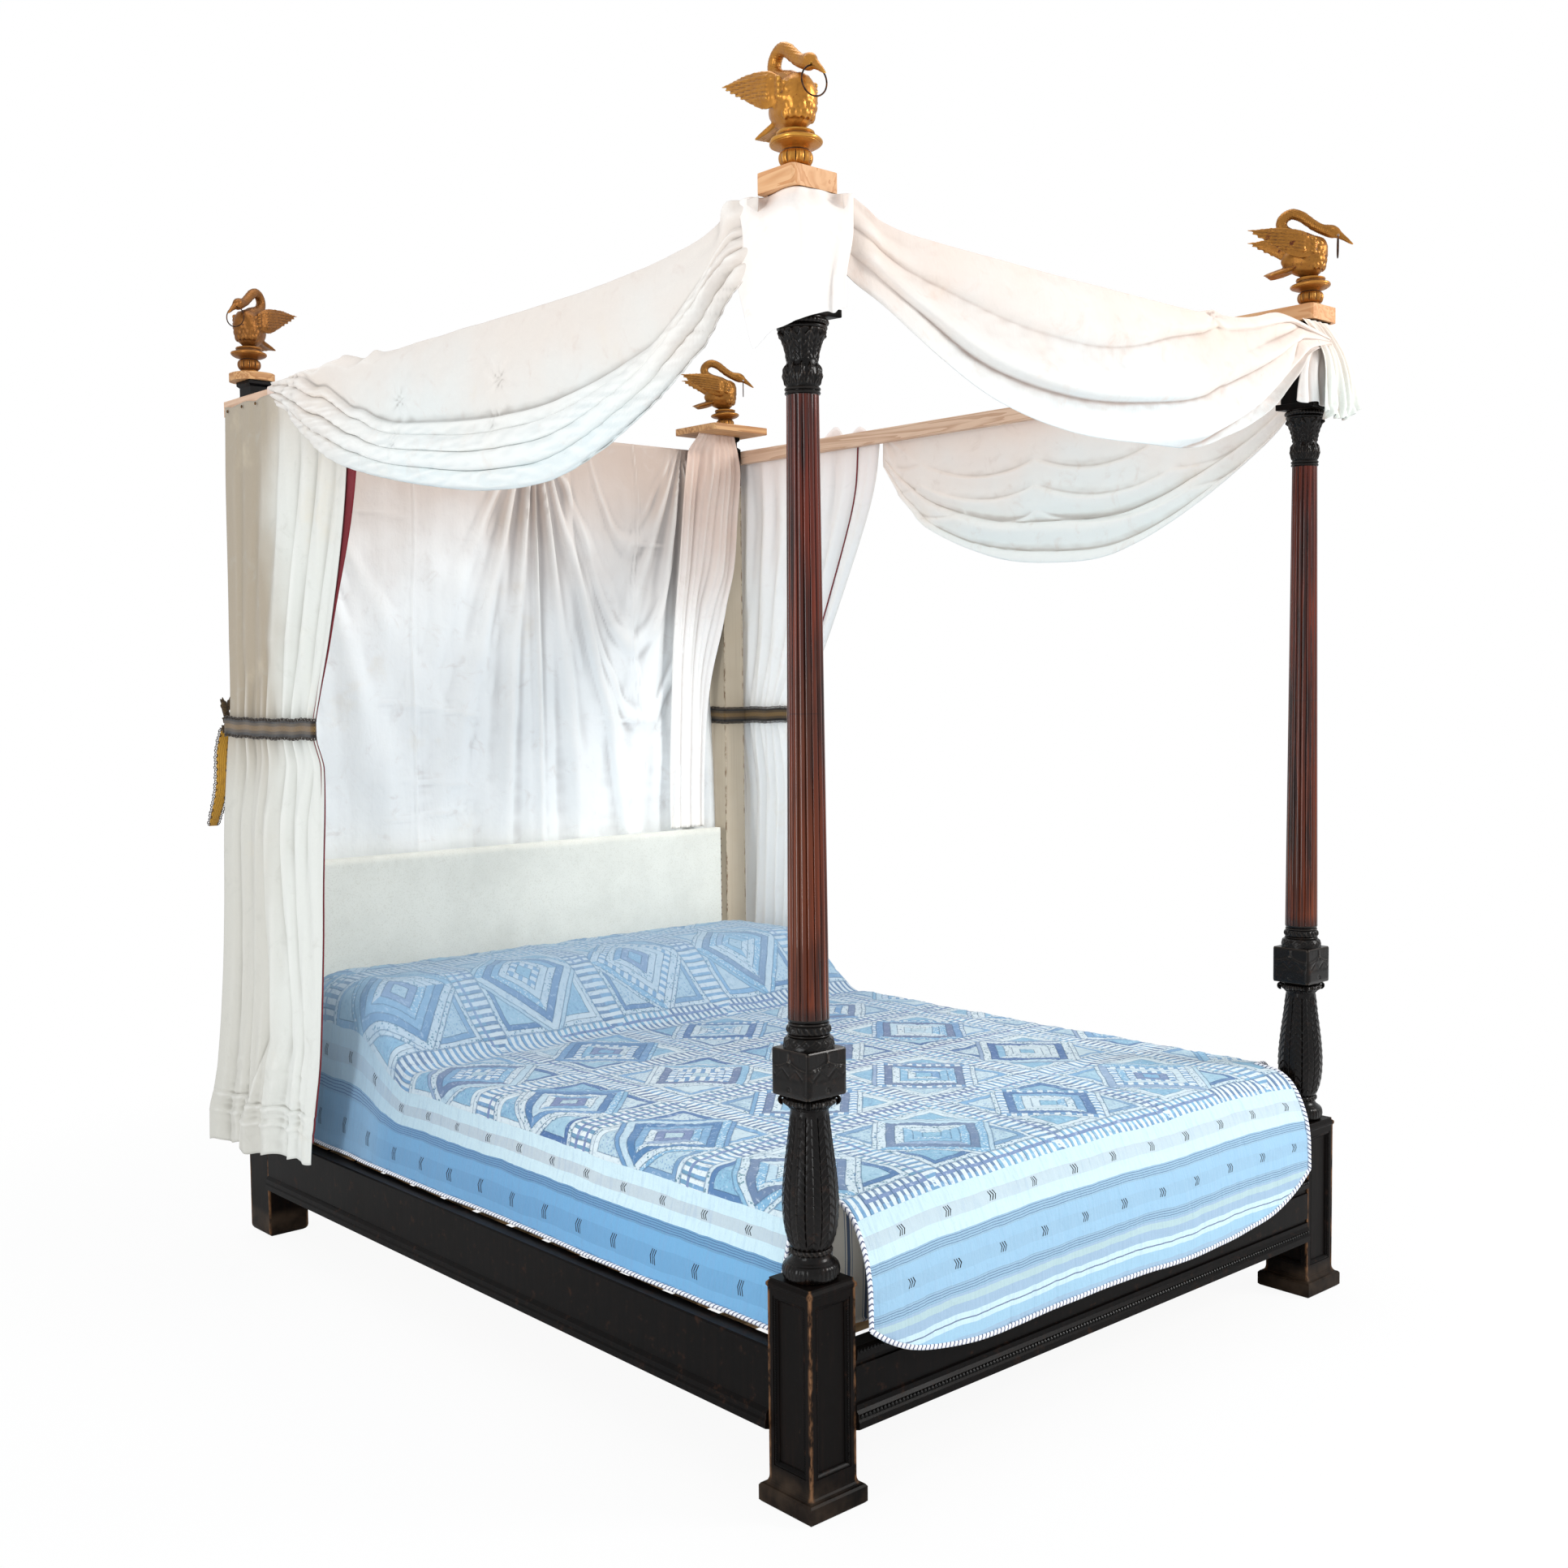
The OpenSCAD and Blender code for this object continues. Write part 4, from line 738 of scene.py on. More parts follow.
def reeded_column(low, high, wide, narrow):
    rows = [(0.0, 0.0)] + [(1.0, k / 30) for k in range(31)] + [(0.0, 1.0)]
    outline = [(share * lerp(wide, narrow, t) / 2, lerp(low, high, t)) for share, t in rows]

    def cut(angle, z, radius):
        share = (angle / TURN * REEDS) % 1
        stop = ease(low, low + 0.012, z) * ease(high, high - 0.010, z)
        return (-radius * 0.115 * (1 - math.sqrt(max(0.0, 1 - (2 * share - 1) ** 2)) ** 0.9)
                * lerp(0.35, 1, stop))

    bm = turned(outline, REEDS * 14, cut)
    layer = bm.verts.layers.float.new("relief")
    for v in bm.verts:
        share = (math.atan2(v.co.y, v.co.x) / TURN * REEDS) % 1
        v[layer] = math.sqrt(max(0.0, 1 - (2 * share - 1) ** 2))
    return bm


at_foot_posts("reeded_column", reeded_column(BLOCK_TOP, COLUMN_TOP, 0.074, 0.057), MAHOGANY,
              "column", 50)


# Carved capital: upright leaves on the bulb, tall leaves on the bell, rings and a horned slab.
def capital_outline(z, h):
    return ([(0, z), (0.028, z)] + bead(0.028, 0.0034, z + 0.001, z + 0.007, 4)
            + bead(0.028, 0.0036, z + 0.0075, z + 0.014, 4)
            + [(0.0285, z + 0.0155), (0.0315, z + 0.024), (0.0335, z + 0.034), (0.0315, z + 0.046),
               (0.0277, z + 0.055), (0.0270, z + 0.062), (0.0290, z + 0.076), (0.0338, z + 0.092),
               (0.0395, z + 0.104), (0.0418, z + 0.110)]
            + bead(0.0405, 0.0036, z + 0.1105, z + 0.1175, 5) + bead(0.0415, 0.0048, z + 0.118, z + 0.128, 6)
            + [(0.041, z + 0.129), (0.041, z + h), (0, z + h)])


def leaf_cut(share, rise, depth, veins=5):
    """One upright leaf: a raised lobed blade with a midrib, on its own width and height."""
    off = abs(share - 0.5) * 2
    lobes = 0.84 - 0.5 * rise**2 + 0.10 * math.sin(rise * 19)
    blade = ease(lobes, lobes - 0.16, off)
    rib = 0.5 * ridge(off, 0.10)
    vein = 0.22 * math.sin((rise * veins + off * 1.3) * TURN) * blade
    return depth * (blade * (0.75 + 0.5 * rise) + rib + vein - 0.5)


def carve_capital(z0):
    def cut(angle, z, radius):
        up = z - z0
        share = (angle / TURN * 8) % 1
        if 0.0155 < up < 0.055:
            rise = (up - 0.0155) / 0.0395
            shown = ease(0, 0.1, rise) * ease(1, 0.88, rise)
            return leaf_cut((angle / TURN * 12) % 1, rise, 0.0021, 3) * shown
        if 0.057 < up < 0.110:
            rise = (up - 0.057) / 0.053
            front = leaf_cut(share, rise, 0.0030)
            behind = leaf_cut((share + 0.5) % 1, rise * 0.9 + 0.1, 0.0018)
            tip = 0.0022 * ridge(rise - 0.86, 0.12) * ridge(abs(share - 0.5) * 2, 0.42)
            return (max(front, behind) + tip) * ease(0, 0.08, rise) * ease(1, 0.94, rise)
        if 0.1185 < up < 0.1275:
            return 0.0005 * math.sin(angle * 40)
        return 0.0
    return cut


def horned_slab(half, low, thick):
    """Thin square slab with hollow sides, drawn out to points at its corners."""
    bm = bmesh.new()
    bmesh.ops.create_grid(bm, x_segments=24, y_segments=24, size=1)
    for v in bm.verts:
        u, w = v.co.x, v.co.y
        v.co.x = u * half * (1 - 0.105 * (1 - w * w))
        v.co.y = w * half * (1 - 0.105 * (1 - u * u))
        v.co.z = low
    walls = bmesh.ops.extrude_face_region(bm, geom=bm.faces[:])["geom"]
    lifted = [g for g in walls if isinstance(g, bmesh.types.BMVert)]
    bmesh.ops.translate(bm, verts=lifted, vec=(0, 0, thick))
    bmesh.ops.recalc_face_normals(bm, faces=bm.faces)
    rim = [e for e in bm.edges if e.calc_face_angle(0) > 1.2]
    bmesh.ops.bevel(bm, geom=rim, offset=0.0018, segments=3, profile=0.5, affect="EDGES", material=-1)
    return bm


SLAB = 0.014
capital = turned(capital_outline(COLUMN_TOP, CAPITAL_TOP - COLUMN_TOP - SLAB), 208, carve_capital(COLUMN_TOP),
                 0.0021)
mark_relief(capital, 1000)
at_foot_posts("capital_carving", capital, CARVED, instead="capital")
at_foot_posts("capital_slab", horned_slab(0.049, CAPITAL_TOP - SLAB, SLAB), EBONY)


# Sunk panels of the plinths: a stepped frame with a row of carved beads on each face.
def panel_frame(width, height, steps):
    """A mitred frame from rectangles of (inset, depth); it lies in XZ and faces -Y."""
    bm = bmesh.new()
    loops = []
    for inset, depth in steps:
        ring = bmesh.ops.create_circle(bm, segments=4, radius=math.sqrt(2) / 2,
                                       matrix=Matrix.Rotation(math.pi / 4, 4, "Z"))["verts"]
        for v in ring:
            v.co = Vector((v.co.x * (width - 2 * inset), depth, v.co.y * (height - 2 * inset)))
        loops.append(list({e for v in ring for e in v.link_edges}))
    for a, b in zip(loops, loops[1:]):
        bmesh.ops.bridge_loops(bm, edges=a + b)
    bmesh.ops.bridge_loops(bm, edges=loops[-1] + loops[0])
    bmesh.ops.recalc_face_normals(bm, faces=bm.faces)
    return bm


def bead_row(bm, start, end, size, pitch, squash=1.0, skew=0.0):
    """Small carved beads in a row from start to end."""
    start, end = Vector(start), Vector(end)
    run = (end - start).length
    n = max(2, int(run / pitch))
    facing = (end - start).to_track_quat("X", "Z").to_matrix().to_4x4()
    for k in range(n):
        at = start.lerp(end, (k + 0.5) / n)
        shape = Matrix.Translation(at) @ facing @ Matrix.Rotation(skew, 4, "Y") @ Matrix.Diagonal(
            (size * squash, size, size, 1))
        bmesh.ops.create_uvsphere(bm, u_segments=6, v_segments=4, radius=1, matrix=shape)


PANEL_WIDE, PANEL_LOW, PANEL_TOP, PANEL_FACE = 0.084, 0.071, PLINTH_TOP - 0.031, 0.055
PANEL_HIGH = PANEL_TOP - PANEL_LOW
mouldings = bmesh.new()
for quarter in range(4):
    panel = panel_frame(PANEL_WIDE, PANEL_HIGH, [(0.0002, 0.0012), (0.0032, 0.0005), (0.0062, 0.0022),
                                                 (0.0088, 0.0062), (0.0088, 0.0072), (0.0002, 0.0072)])
    for side in (-1, 1):
        row_x, row_end = side * (PANEL_WIDE / 2 - 0.0048), PANEL_HIGH / 2 - 0.008
        bead_row(panel, (row_x, 0.0015, -row_end), (row_x, 0.0015, row_end), 0.0017, 0.0044, 1.1, 0.5)
    bmesh.ops.transform(panel, verts=panel.verts, matrix=Matrix.Rotation(quarter * math.pi / 2, 4, "Z")
                        @ Matrix.Translation((0, -PANEL_FACE, (PANEL_TOP + PANEL_LOW) / 2)))
    add_shape(mouldings, panel)
at_foot_posts("panel_mouldings", mouldings, EBONY, angle=30)

DRESSED = [
    (EDGED, ["foot_left_plinth", "foot_right_plinth", "head_left_leg", "head_right_leg"]),
    (CREAM, ["head_left_post", "head_right_post"]),
    (EBONY, ["foot_left_top_block", "foot_right_top_block", "head_left_capital", "head_right_capital",
             "side_rail_left", "side_rail_right", "foot_rail", "head_rail"]),
    (BOARD_PINE, ["foot_left_board", "foot_right_board"]),
    (HEAD_PINE, ["head_left_board", "head_right_board"]),
    (BATTEN_PINE_Y, ["tester_batten_left", "tester_batten_right", "slat_ledgers"]),
    (BATTEN_PINE_X, ["tester_batten_foot", "tester_batten_head"]),
    (SLAT_PINE, ["slats"]),
    (STEEL, ["rail_bolts"]),
    (BRONZE, [name + "_beak_ring" for name in POSTS]),
]
for finish, nodes in DRESSED:
    for node in nodes:
        dress(node, finish)

# Carved edges of the foot rail: a worn bead along its top and a twisted row below the field.
rail_low, rail_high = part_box("foot_rail")
rail_carving = bmesh.new()
RAIL_ROWS = [(rail_low.y + 0.0038, rail_high.z - 0.0065, 0.0036, 0.0085, 1.15, 0.35),
             (rail_low.y + 0.0026, rail_low.z + 0.025, 0.0042, 0.0095, 1.2, 0.6)]
for y, z, size, pitch, squash, skew in RAIL_ROWS:
    bead_row(rail_carving, (rail_low.x + 0.004, y, z), (rail_high.x - 0.004, y, z), size, pitch, squash, skew)
piece("foot_rail_carving", rail_carving, CARVED)


# ---------------------------------------------------------------- gilt pedestals and swans

BOARD_TOP = {name: edge(name + "_board", 2, 1) for name in POSTS}
HEADING = {"foot_left": -100, "foot_right": -57, "head_left": -146, "head_right": -41}
PERCH = {name: Vector(((edge(name + "_pedestal", 0, 0) + edge(name + "_pedestal", 0, 1)) / 2,
                       (edge(name + "_pedestal", 1, 0) + edge(name + "_pedestal", 1, 1)) / 2,
                       BOARD_TOP[name]))
         for name in POSTS}
PEDESTAL_H = edge("foot_left_pedestal", 2, 1) - BOARD_TOP["foot_left"]


def pedestal_shape():
    """Turned stand: stepped foot, gadrooned bulb, wide tilted flange and a small seat."""
    outline = ([(0, 0), (0.0255, 0), (0.0255, 0.0035)] + bead(0.0235, 0.003, 0.004, 0.0085, 4)
               + [(0.0222, 0.0095), (0.0215, 0.012)]
               + [(0.0218 + 0.0072 * math.sin(math.pi * k / 14),
                   0.012 + 0.0125 * (1 - math.cos(math.pi * k / 14)))
                  for k in range(15)]
               + [(0.0225, 0.0385), (0.0262, 0.041), (0.031, 0.0425), (0.0375, 0.0445), (0.0432, 0.0475)]
               + bead(0.0432, 0.0026, 0.0485, 0.0555, 6)
               + [(0.0385, 0.0575), (0.033, 0.059), (0.0315, 0.062), (0.0335, 0.0655), (0.0325, 0.0688),
                  (0.029, PEDESTAL_H), (0, PEDESTAL_H)])

    def cut(angle, z, radius):
        if 0.0125 < z < 0.0365:
            share = (angle / TURN * 11) % 1
            rise = (z - 0.0125) / 0.024
            lobe = math.sqrt(max(0.0, 1 - (2 * share - 1) ** 2)) ** 0.8
            return ((0.0030 * lobe - 0.0026) * math.sin(math.pi * rise) ** 0.6
                    + 0.0006 * ridge(2 * share - 1, 0.2))
        if 0.042 < z < 0.058:
            return 0.0007 * math.sin(angle * 3 + z * 200) + 0.0005 * math.sin(angle * 7)
        return 0.0

    bm = turned(outline, 110, cut, 0.0020)
    for v in bm.verts:
        if v.co.z > 0.041:
            v.co.z += v.co.x * 0.04 * ease(0.041, 0.048, v.co.z) * ease(PEDESTAL_H, 0.060, v.co.z)
    mark_relief(bm, 900)
    return bm


# Stations of the swan, drawn 160 high and facing +X, in millimetres.
SWAN_BODY = [(0, -66, 40, 3, 5), (1, -60, 41, 14, 14), (2, -50, 42, 23, 22), (3, -34, 44, 36, 30),
             (4, -12, 47, 46, 35), (5, 8, 48, 47, 35), (6, 22, 51, 40, 30), (7, 32, 56, 27, 21),
             (8, 37, 60, 10, 8)]
SWAN_NECK = [(0, 10, 72, 19, 20), (1, -14, 87, 17.5, 18), (2, -41, 97, 15.5, 15), (3, -59, 110, 13.6, 12.5),
             (4, -65, 127, 12.6, 11.4), (5, -57, 141, 12.2, 11), (6, -41, 147, 12, 10.8),
             (7, -23, 141, 12, 10.6), (8, -6, 128, 11.6, 10.4), (9, 11, 115, 11.4, 10.2),
             (10, 27, 107, 11.8, 10.4), (11, 41, 103, 14.4, 11.4), (12, 52, 98.5, 13.6, 9.2),
             (13, 60, 93.5, 9.4, 6.4), (14, 70, 86.5, 6.4, 5), (15, 82, 77, 4.2, 3.8), (16, 92, 69, 1.8, 1.8)]
SWAN_WING = [(0, 14, 62, 8, 27, 5), (1, 0, 65, 22, 32, 8), (2, -16, 68, 30, 37, 9), (3, -34, 71, 32, 42, 7.5),
             (4, -56, 78, 28, 46, 5.5), (5, -84, 88, 20, 50, 3.6), (6, -112, 96, 10, 55, 2.4),
             (7, -128, 100, 4, 58, 1.5)]


def swept(bm, table, steps):
    """Skin along a bent line of (place, x, z, half height, half width) rows."""
    rows = [along(table, table[0][0] + (table[-1][0] - table[0][0]) * k / steps) for k in range(steps + 1)]
    rings = []
    for k, row in enumerate(rows):
        before, after = rows[max(0, k - 1)], rows[min(steps, k + 1)]
        ahead = Vector((after[0] - before[0], 0, after[1] - before[1])).normalized()
        up = Vector((-ahead.z, 0, ahead.x))
        ring = Matrix((Vector((0, row[3], 0)), up * row[2], ahead)).transposed().to_4x4()
        rings.append(Matrix.Translation((row[0], 0, row[1])) @ ring)
    loft(bm, rings, 20)


def upright_skin(bm, table, steps, side=0):
    """Skin along X of (place, x, z, half height, distance from the middle, half thickness) rows."""
    rings = []
    for k in range(steps + 1):
        row = along(table, table[0][0] + (table[-1][0] - table[0][0]) * k / steps)
        shape = Matrix.Diagonal((row[4], row[2], 1, 1)) if side else Matrix.Diagonal((row[3], row[2], 1, 1))
        stood = Matrix(((0, 0, 1, 0), (1, 0, 0, 0), (0, 1, 0, 0), (0, 0, 0, 1)))
        rings.append(Matrix.Translation((row[0], side * row[3] if side else 0, row[1])) @ stood @ shape)
    loft(bm, rings, 16)


def feather(bm, root, tip, width, thick, curl=0.0):
    """One carved feather: a flat tapering blade with a raised shaft."""
    root, tip = Vector(root), Vector(tip)
    ahead = (tip - root).normalized()
    side = Vector((0, 1, 0)).cross(ahead).normalized()
    out = ahead.cross(side)
    for girth, height in ((width, thick), (width * 0.2, thick * 1.55)):
        rings = []
        for k in range(9):
            t = k / 8
            grow = (math.sin(math.pi * clamp(0.12 + t * 0.86)) ** 0.45) * (1 - 0.25 * t)
            centre = root.lerp(tip, t) + side * curl * math.sin(math.pi * t)
            frame3 = Matrix((side * girth * grow, out * height * (1 - 0.5 * t), ahead)).transposed().to_4x4()
            rings.append(Matrix.Translation(centre) @ frame3)
        loft(bm, rings, 10)


def solid_skin(bm, voxel):
    """Melts overlapping skins into one even closed surface."""
    lump = thing("melt", bm)
    melt = lump.modifiers.new("melt", "REMESH")
    melt.mode, melt.voxel_size = "VOXEL", voxel
    made = finished_shape(lump)
    for _ in range(2):
        bmesh.ops.smooth_vert(made, verts=made.verts, factor=0.5, use_axis_x=True, use_axis_y=True,
                              use_axis_z=True)
    return made


def swan_shape():
    bm = bmesh.new()
    upright_skin(bm, [r[:5] + (0,) for r in SWAN_BODY], 26)
    swept(bm, SWAN_NECK, 60)
    for side in (-1, 1):
        upright_skin(bm, SWAN_WING, 24, side)
        # Five long primaries fan to the tip, with shorter feathers below them.
        for k in range(6):
            t = k / 5
            tip = (lerp(-140, -74, t**1.2), side * lerp(60, 51, t), lerp(103, 62, t))
            root = (lerp(-18, -14, t), side * lerp(41, 44, t), lerp(90, 52, t))
            feather(bm, root, tip, lerp(4.6, 5.6, t), 4.2, 1.5)
        # Three rows of curled coverts over the shoulder.
        for row in range(3):
            for k in range(4 + (row == 1)):
                w = (k + 0.5) / (4 + (row == 1))
                centre = Vector((lerp(4, -32, row / 2), side * (36.5 + 3.5 * row),
                                 lerp(86, 48, w) + 3 * math.sin(row * 2)))
                shape = Matrix.Translation(centre) @ Matrix.Rotation(0.5, 4, "Y") @ Matrix.Diagonal((8.2, 4.6,
                                                                                                     5.0, 1))
                bmesh.ops.create_uvsphere(bm, u_segments=12, v_segments=8, radius=1, matrix=shape)
        eye = Matrix.Translation((46, side * 10.6, 106)) @ Matrix.Diagonal((2.6, 1.8, 2.6, 1))
        bmesh.ops.create_uvsphere(bm, u_segments=12, v_segments=8, radius=1, matrix=eye)
    # Ribbed fan of the tail.
    for k in range(7):
        spread = (k - 3) / 3
        feather(bm, (-36, spread * 15, 27 - 5 * abs(spread)),
                (-104 + 14 * abs(spread), spread * 24, 12 - 5 * abs(spread)), 6.2, 6.0)
    # Leafy scales over the breast, between the legs and the neck.
    for ring in range(5):
        for k in range(7):
            a = (k - 3) / 3 * 1.25 + (0.2 if ring % 2 else 0)
            z = 22 + ring * 12
            reach = 34.0 - 0.006 * (z - 46) ** 2
            centre = Vector((2 + reach * math.cos(a) * 0.93, reach * math.sin(a) * 0.98, z))
            tilt = Matrix.Rotation(a, 4, "Z") @ Matrix.Rotation(0.35, 4, "Y")
            bmesh.ops.create_uvsphere(bm, u_segments=12, v_segments=8, radius=1,
                                      matrix=Matrix.Translation(centre) @ tilt @ Matrix.Diagonal((3.2, 6.0,
                                                                                                  8.2, 1)))
    made = solid_skin(bm, 1.7)
    for v in made.verts:
        x, y, z = v.co
        wave = 0.0
        if z > 84 and x < 40 and abs(y) < 16:
            wave = 0.55 * math.sin(x * 0.95 + z * 0.5) * math.sin(z * 0.9 - x * 0.35)
        elif -30 > x and abs(y) > 34 and z > 40:
            wave = 0.35 * math.sin(x * 0.5 + z * 1.6)
        v.co += v.normal * (wave + 0.35 * ripple(x, y, z, 7))
    # The ring hangs through a hole across the beak.
    bore = bmesh.new()
    bmesh.ops.create_cone(bore, cap_ends=True, segments=24, radius1=2.9, radius2=2.9, depth=30,
                          matrix=Matrix.Translation((59, 0, 92)) @ Matrix.Rotation(math.pi / 2, 4, "X"))
    made = cut_away(made, bore)
    tall = max(v.co.z for v in made.verts)
    size = (edge("foot_left_swan", 2, 1) - edge("foot_left_swan", 2, 0)) / tall
    bmesh.ops.bisect_plane(made, geom=made.verts[:] + made.edges[:] + made.faces[:], plane_co=(0, 0, 0.3),
                           plane_no=(0, 0, 1), clear_inner=True)
    rim = [e for e in made.edges if e.is_boundary]
    bmesh.ops.holes_fill(made, edges=rim)
    bmesh.ops.scale(made, verts=made.verts, vec=(size, size, size))
    mark_relief(made, 1000, 2)
    return made


def cut_away(bm, tool):
    """Takes one closed shape out of another."""
    whole, cutter = thing("whole", bm), thing("cutter", tool)
    saw = whole.modifiers.new("saw", "BOOLEAN")
    saw.operation, saw.solver, saw.object = "DIFFERENCE", "EXACT", cutter
    return finished_shape(whole, cutter)


pedestal_form, swan_form = pedestal_shape(), swan_shape()
for name, spot in PERCH.items():
    heading = math.radians(HEADING[name])
    piece(name + "_gadrooned_pedestal", stand(pedestal_form.copy(), spot, heading), GILT[name],
          stands_for=[name + "_pedestal"])
    piece(name + "_carved_swan", stand(swan_form.copy(), spot + Vector((0, 0, PEDESTAL_H)), heading),
          GILT[name], stands_for=[name + "_swan"], angle=75)
pedestal_form.free()
swan_form.free()


# ---------------------------------------------------------------- cloth finishes

def cotton(name, high, low, z_low, z_high, shade=(206, 188, 176), creases=0.5, back_shade=None, folds=0.8,
           inside=False, hollow=None):
    """Washed cotton sheeting: rosier by the battens, cooler lower down, finely woven, with painted shade in
    the hollows of its folds and a painted highlight on their ridges.

    The colour for the back stretch, nearest the head post and above the tie-backs, is painted shade."""
    f = Finish(name)
    where = f.place()
    _, y, z = f.split(where)
    u, v, _ = f.split(f.cut())
    cloud = f.noise(where, 2.6, 3, 0.55)
    tall = f.smooth(z + 0.5 * (cloud - 0.5), z_low, z_high)
    color = f.mix(tall, paint(*low), paint(*high))
    # Painted shade: the back stretch of the curtain, by the head post, turns darker and beiger, most above
    # the tie-backs.
    if back_shade:
        behind = f.smooth(y + 0.25 * (cloud - 0.5), 0.72, 0.90)
        color = f.mix(behind * (0.35 + 0.65 * f.smooth(z, 1.15, 1.45)), color, paint(*back_shade))
    crease = f.noise(where, 17.0, 5, 0.62, 0.7)
    color = f.mix(f.smooth(crease, 0.54, 0.8) * 0.4, color, paint(*shade))
    color = f.mix(f.smooth(f.noise(where, 5.2, 4, 0.6), 0.6, 0.8) * 0.3, color, paint(226, 212, 184))
    # Painted shade in the hollows of the folds and a painted highlight on their ridges, read from the relief
    # mark.
    relief = f.mark("relief")
    relief = 1 - relief if inside else relief
    hollow = hollow or tuple(round(0.74 * c) for c in shade)
    color = f.mix(f.smooth(relief, 0.50, 0.02) * folds * 0.62, color, paint(*hollow))
    color = f.mix(f.smooth(relief, 0.52, 0.95) * folds * 0.35, color, paint(255, 254, 250))
    threads = abs(f.rest(u * 700) - 0.5) + abs(f.rest(v * 700) - 0.5)
    slub = f.noise(f.cut((40, 900, 1)), 1.0, 2) + f.noise(f.cut((900, 40, 1)), 1.0, 2)
    color = f.mix(f.smooth(slub, 1.1, 1.45) * 0.12, color, paint(*shade))
    wrinkle = f.noise(where, 34.0, 4, 0.6, 0.5) + 0.6 * f.noise(f.place((60, 60, 12)), 1.0, 3, 0.6)
    bump = f.bump(wrinkle, creases, 0.0035)
    bump = f.bump(threads * 0.5 + slub * 0.5, 0.25, 0.0004, bump)
    return f.done(color, 0.86, bump, sheen=0.15, specular=0.2)


def plain_cloth(name, base, dark, threads_per_metre=520, speckle=0.35):
    """Upholsterer's plain weave with slubs."""
    f = Finish(name)
    where = f.place()
    fine = f.noise(f.place((threads_per_metre, threads_per_metre, 60)), 1.0, 2)
    cross = f.noise(f.place((60, 60, threads_per_metre)), 1.0, 2)
    weave = fine + cross
    cloud = f.noise(where, 4.0, 4, 0.6)
    grains = f.noise(where, 260.0, 3, 0.65)
    color = f.mix(f.smooth(cloud, 0.35, 0.7), paint(*base), paint(*[c - 12 for c in base]))
    color = f.mix(f.smooth(grains, 0.5, 0.7) * speckle, color, paint(*dark))
    return f.done(color, 0.82, f.bump(weave * 0.5 + grains * 0.5, 0.3, 0.0006), sheen=0.2, specular=0.25)


def striped_ticking():
    f = Finish("ticking_stripes")
    lane = f.rest(f.split(f.place())[0] * 26)
    color = f.mix(f.band(lane, 0.42, 0.58), paint(232, 228, 218), paint(96, 112, 140))
    color = f.mix(f.band(lane, 0.30, 0.34), color, paint(120, 134, 158))
    color = f.mix(f.band(lane, 0.66, 0.70), color, paint(120, 134, 158))
    return f.done(color, 0.84, f.bump(f.noise(f.place(), 400.0, 2), 0.2, 0.0005), sheen=0.2, specular=0.2)


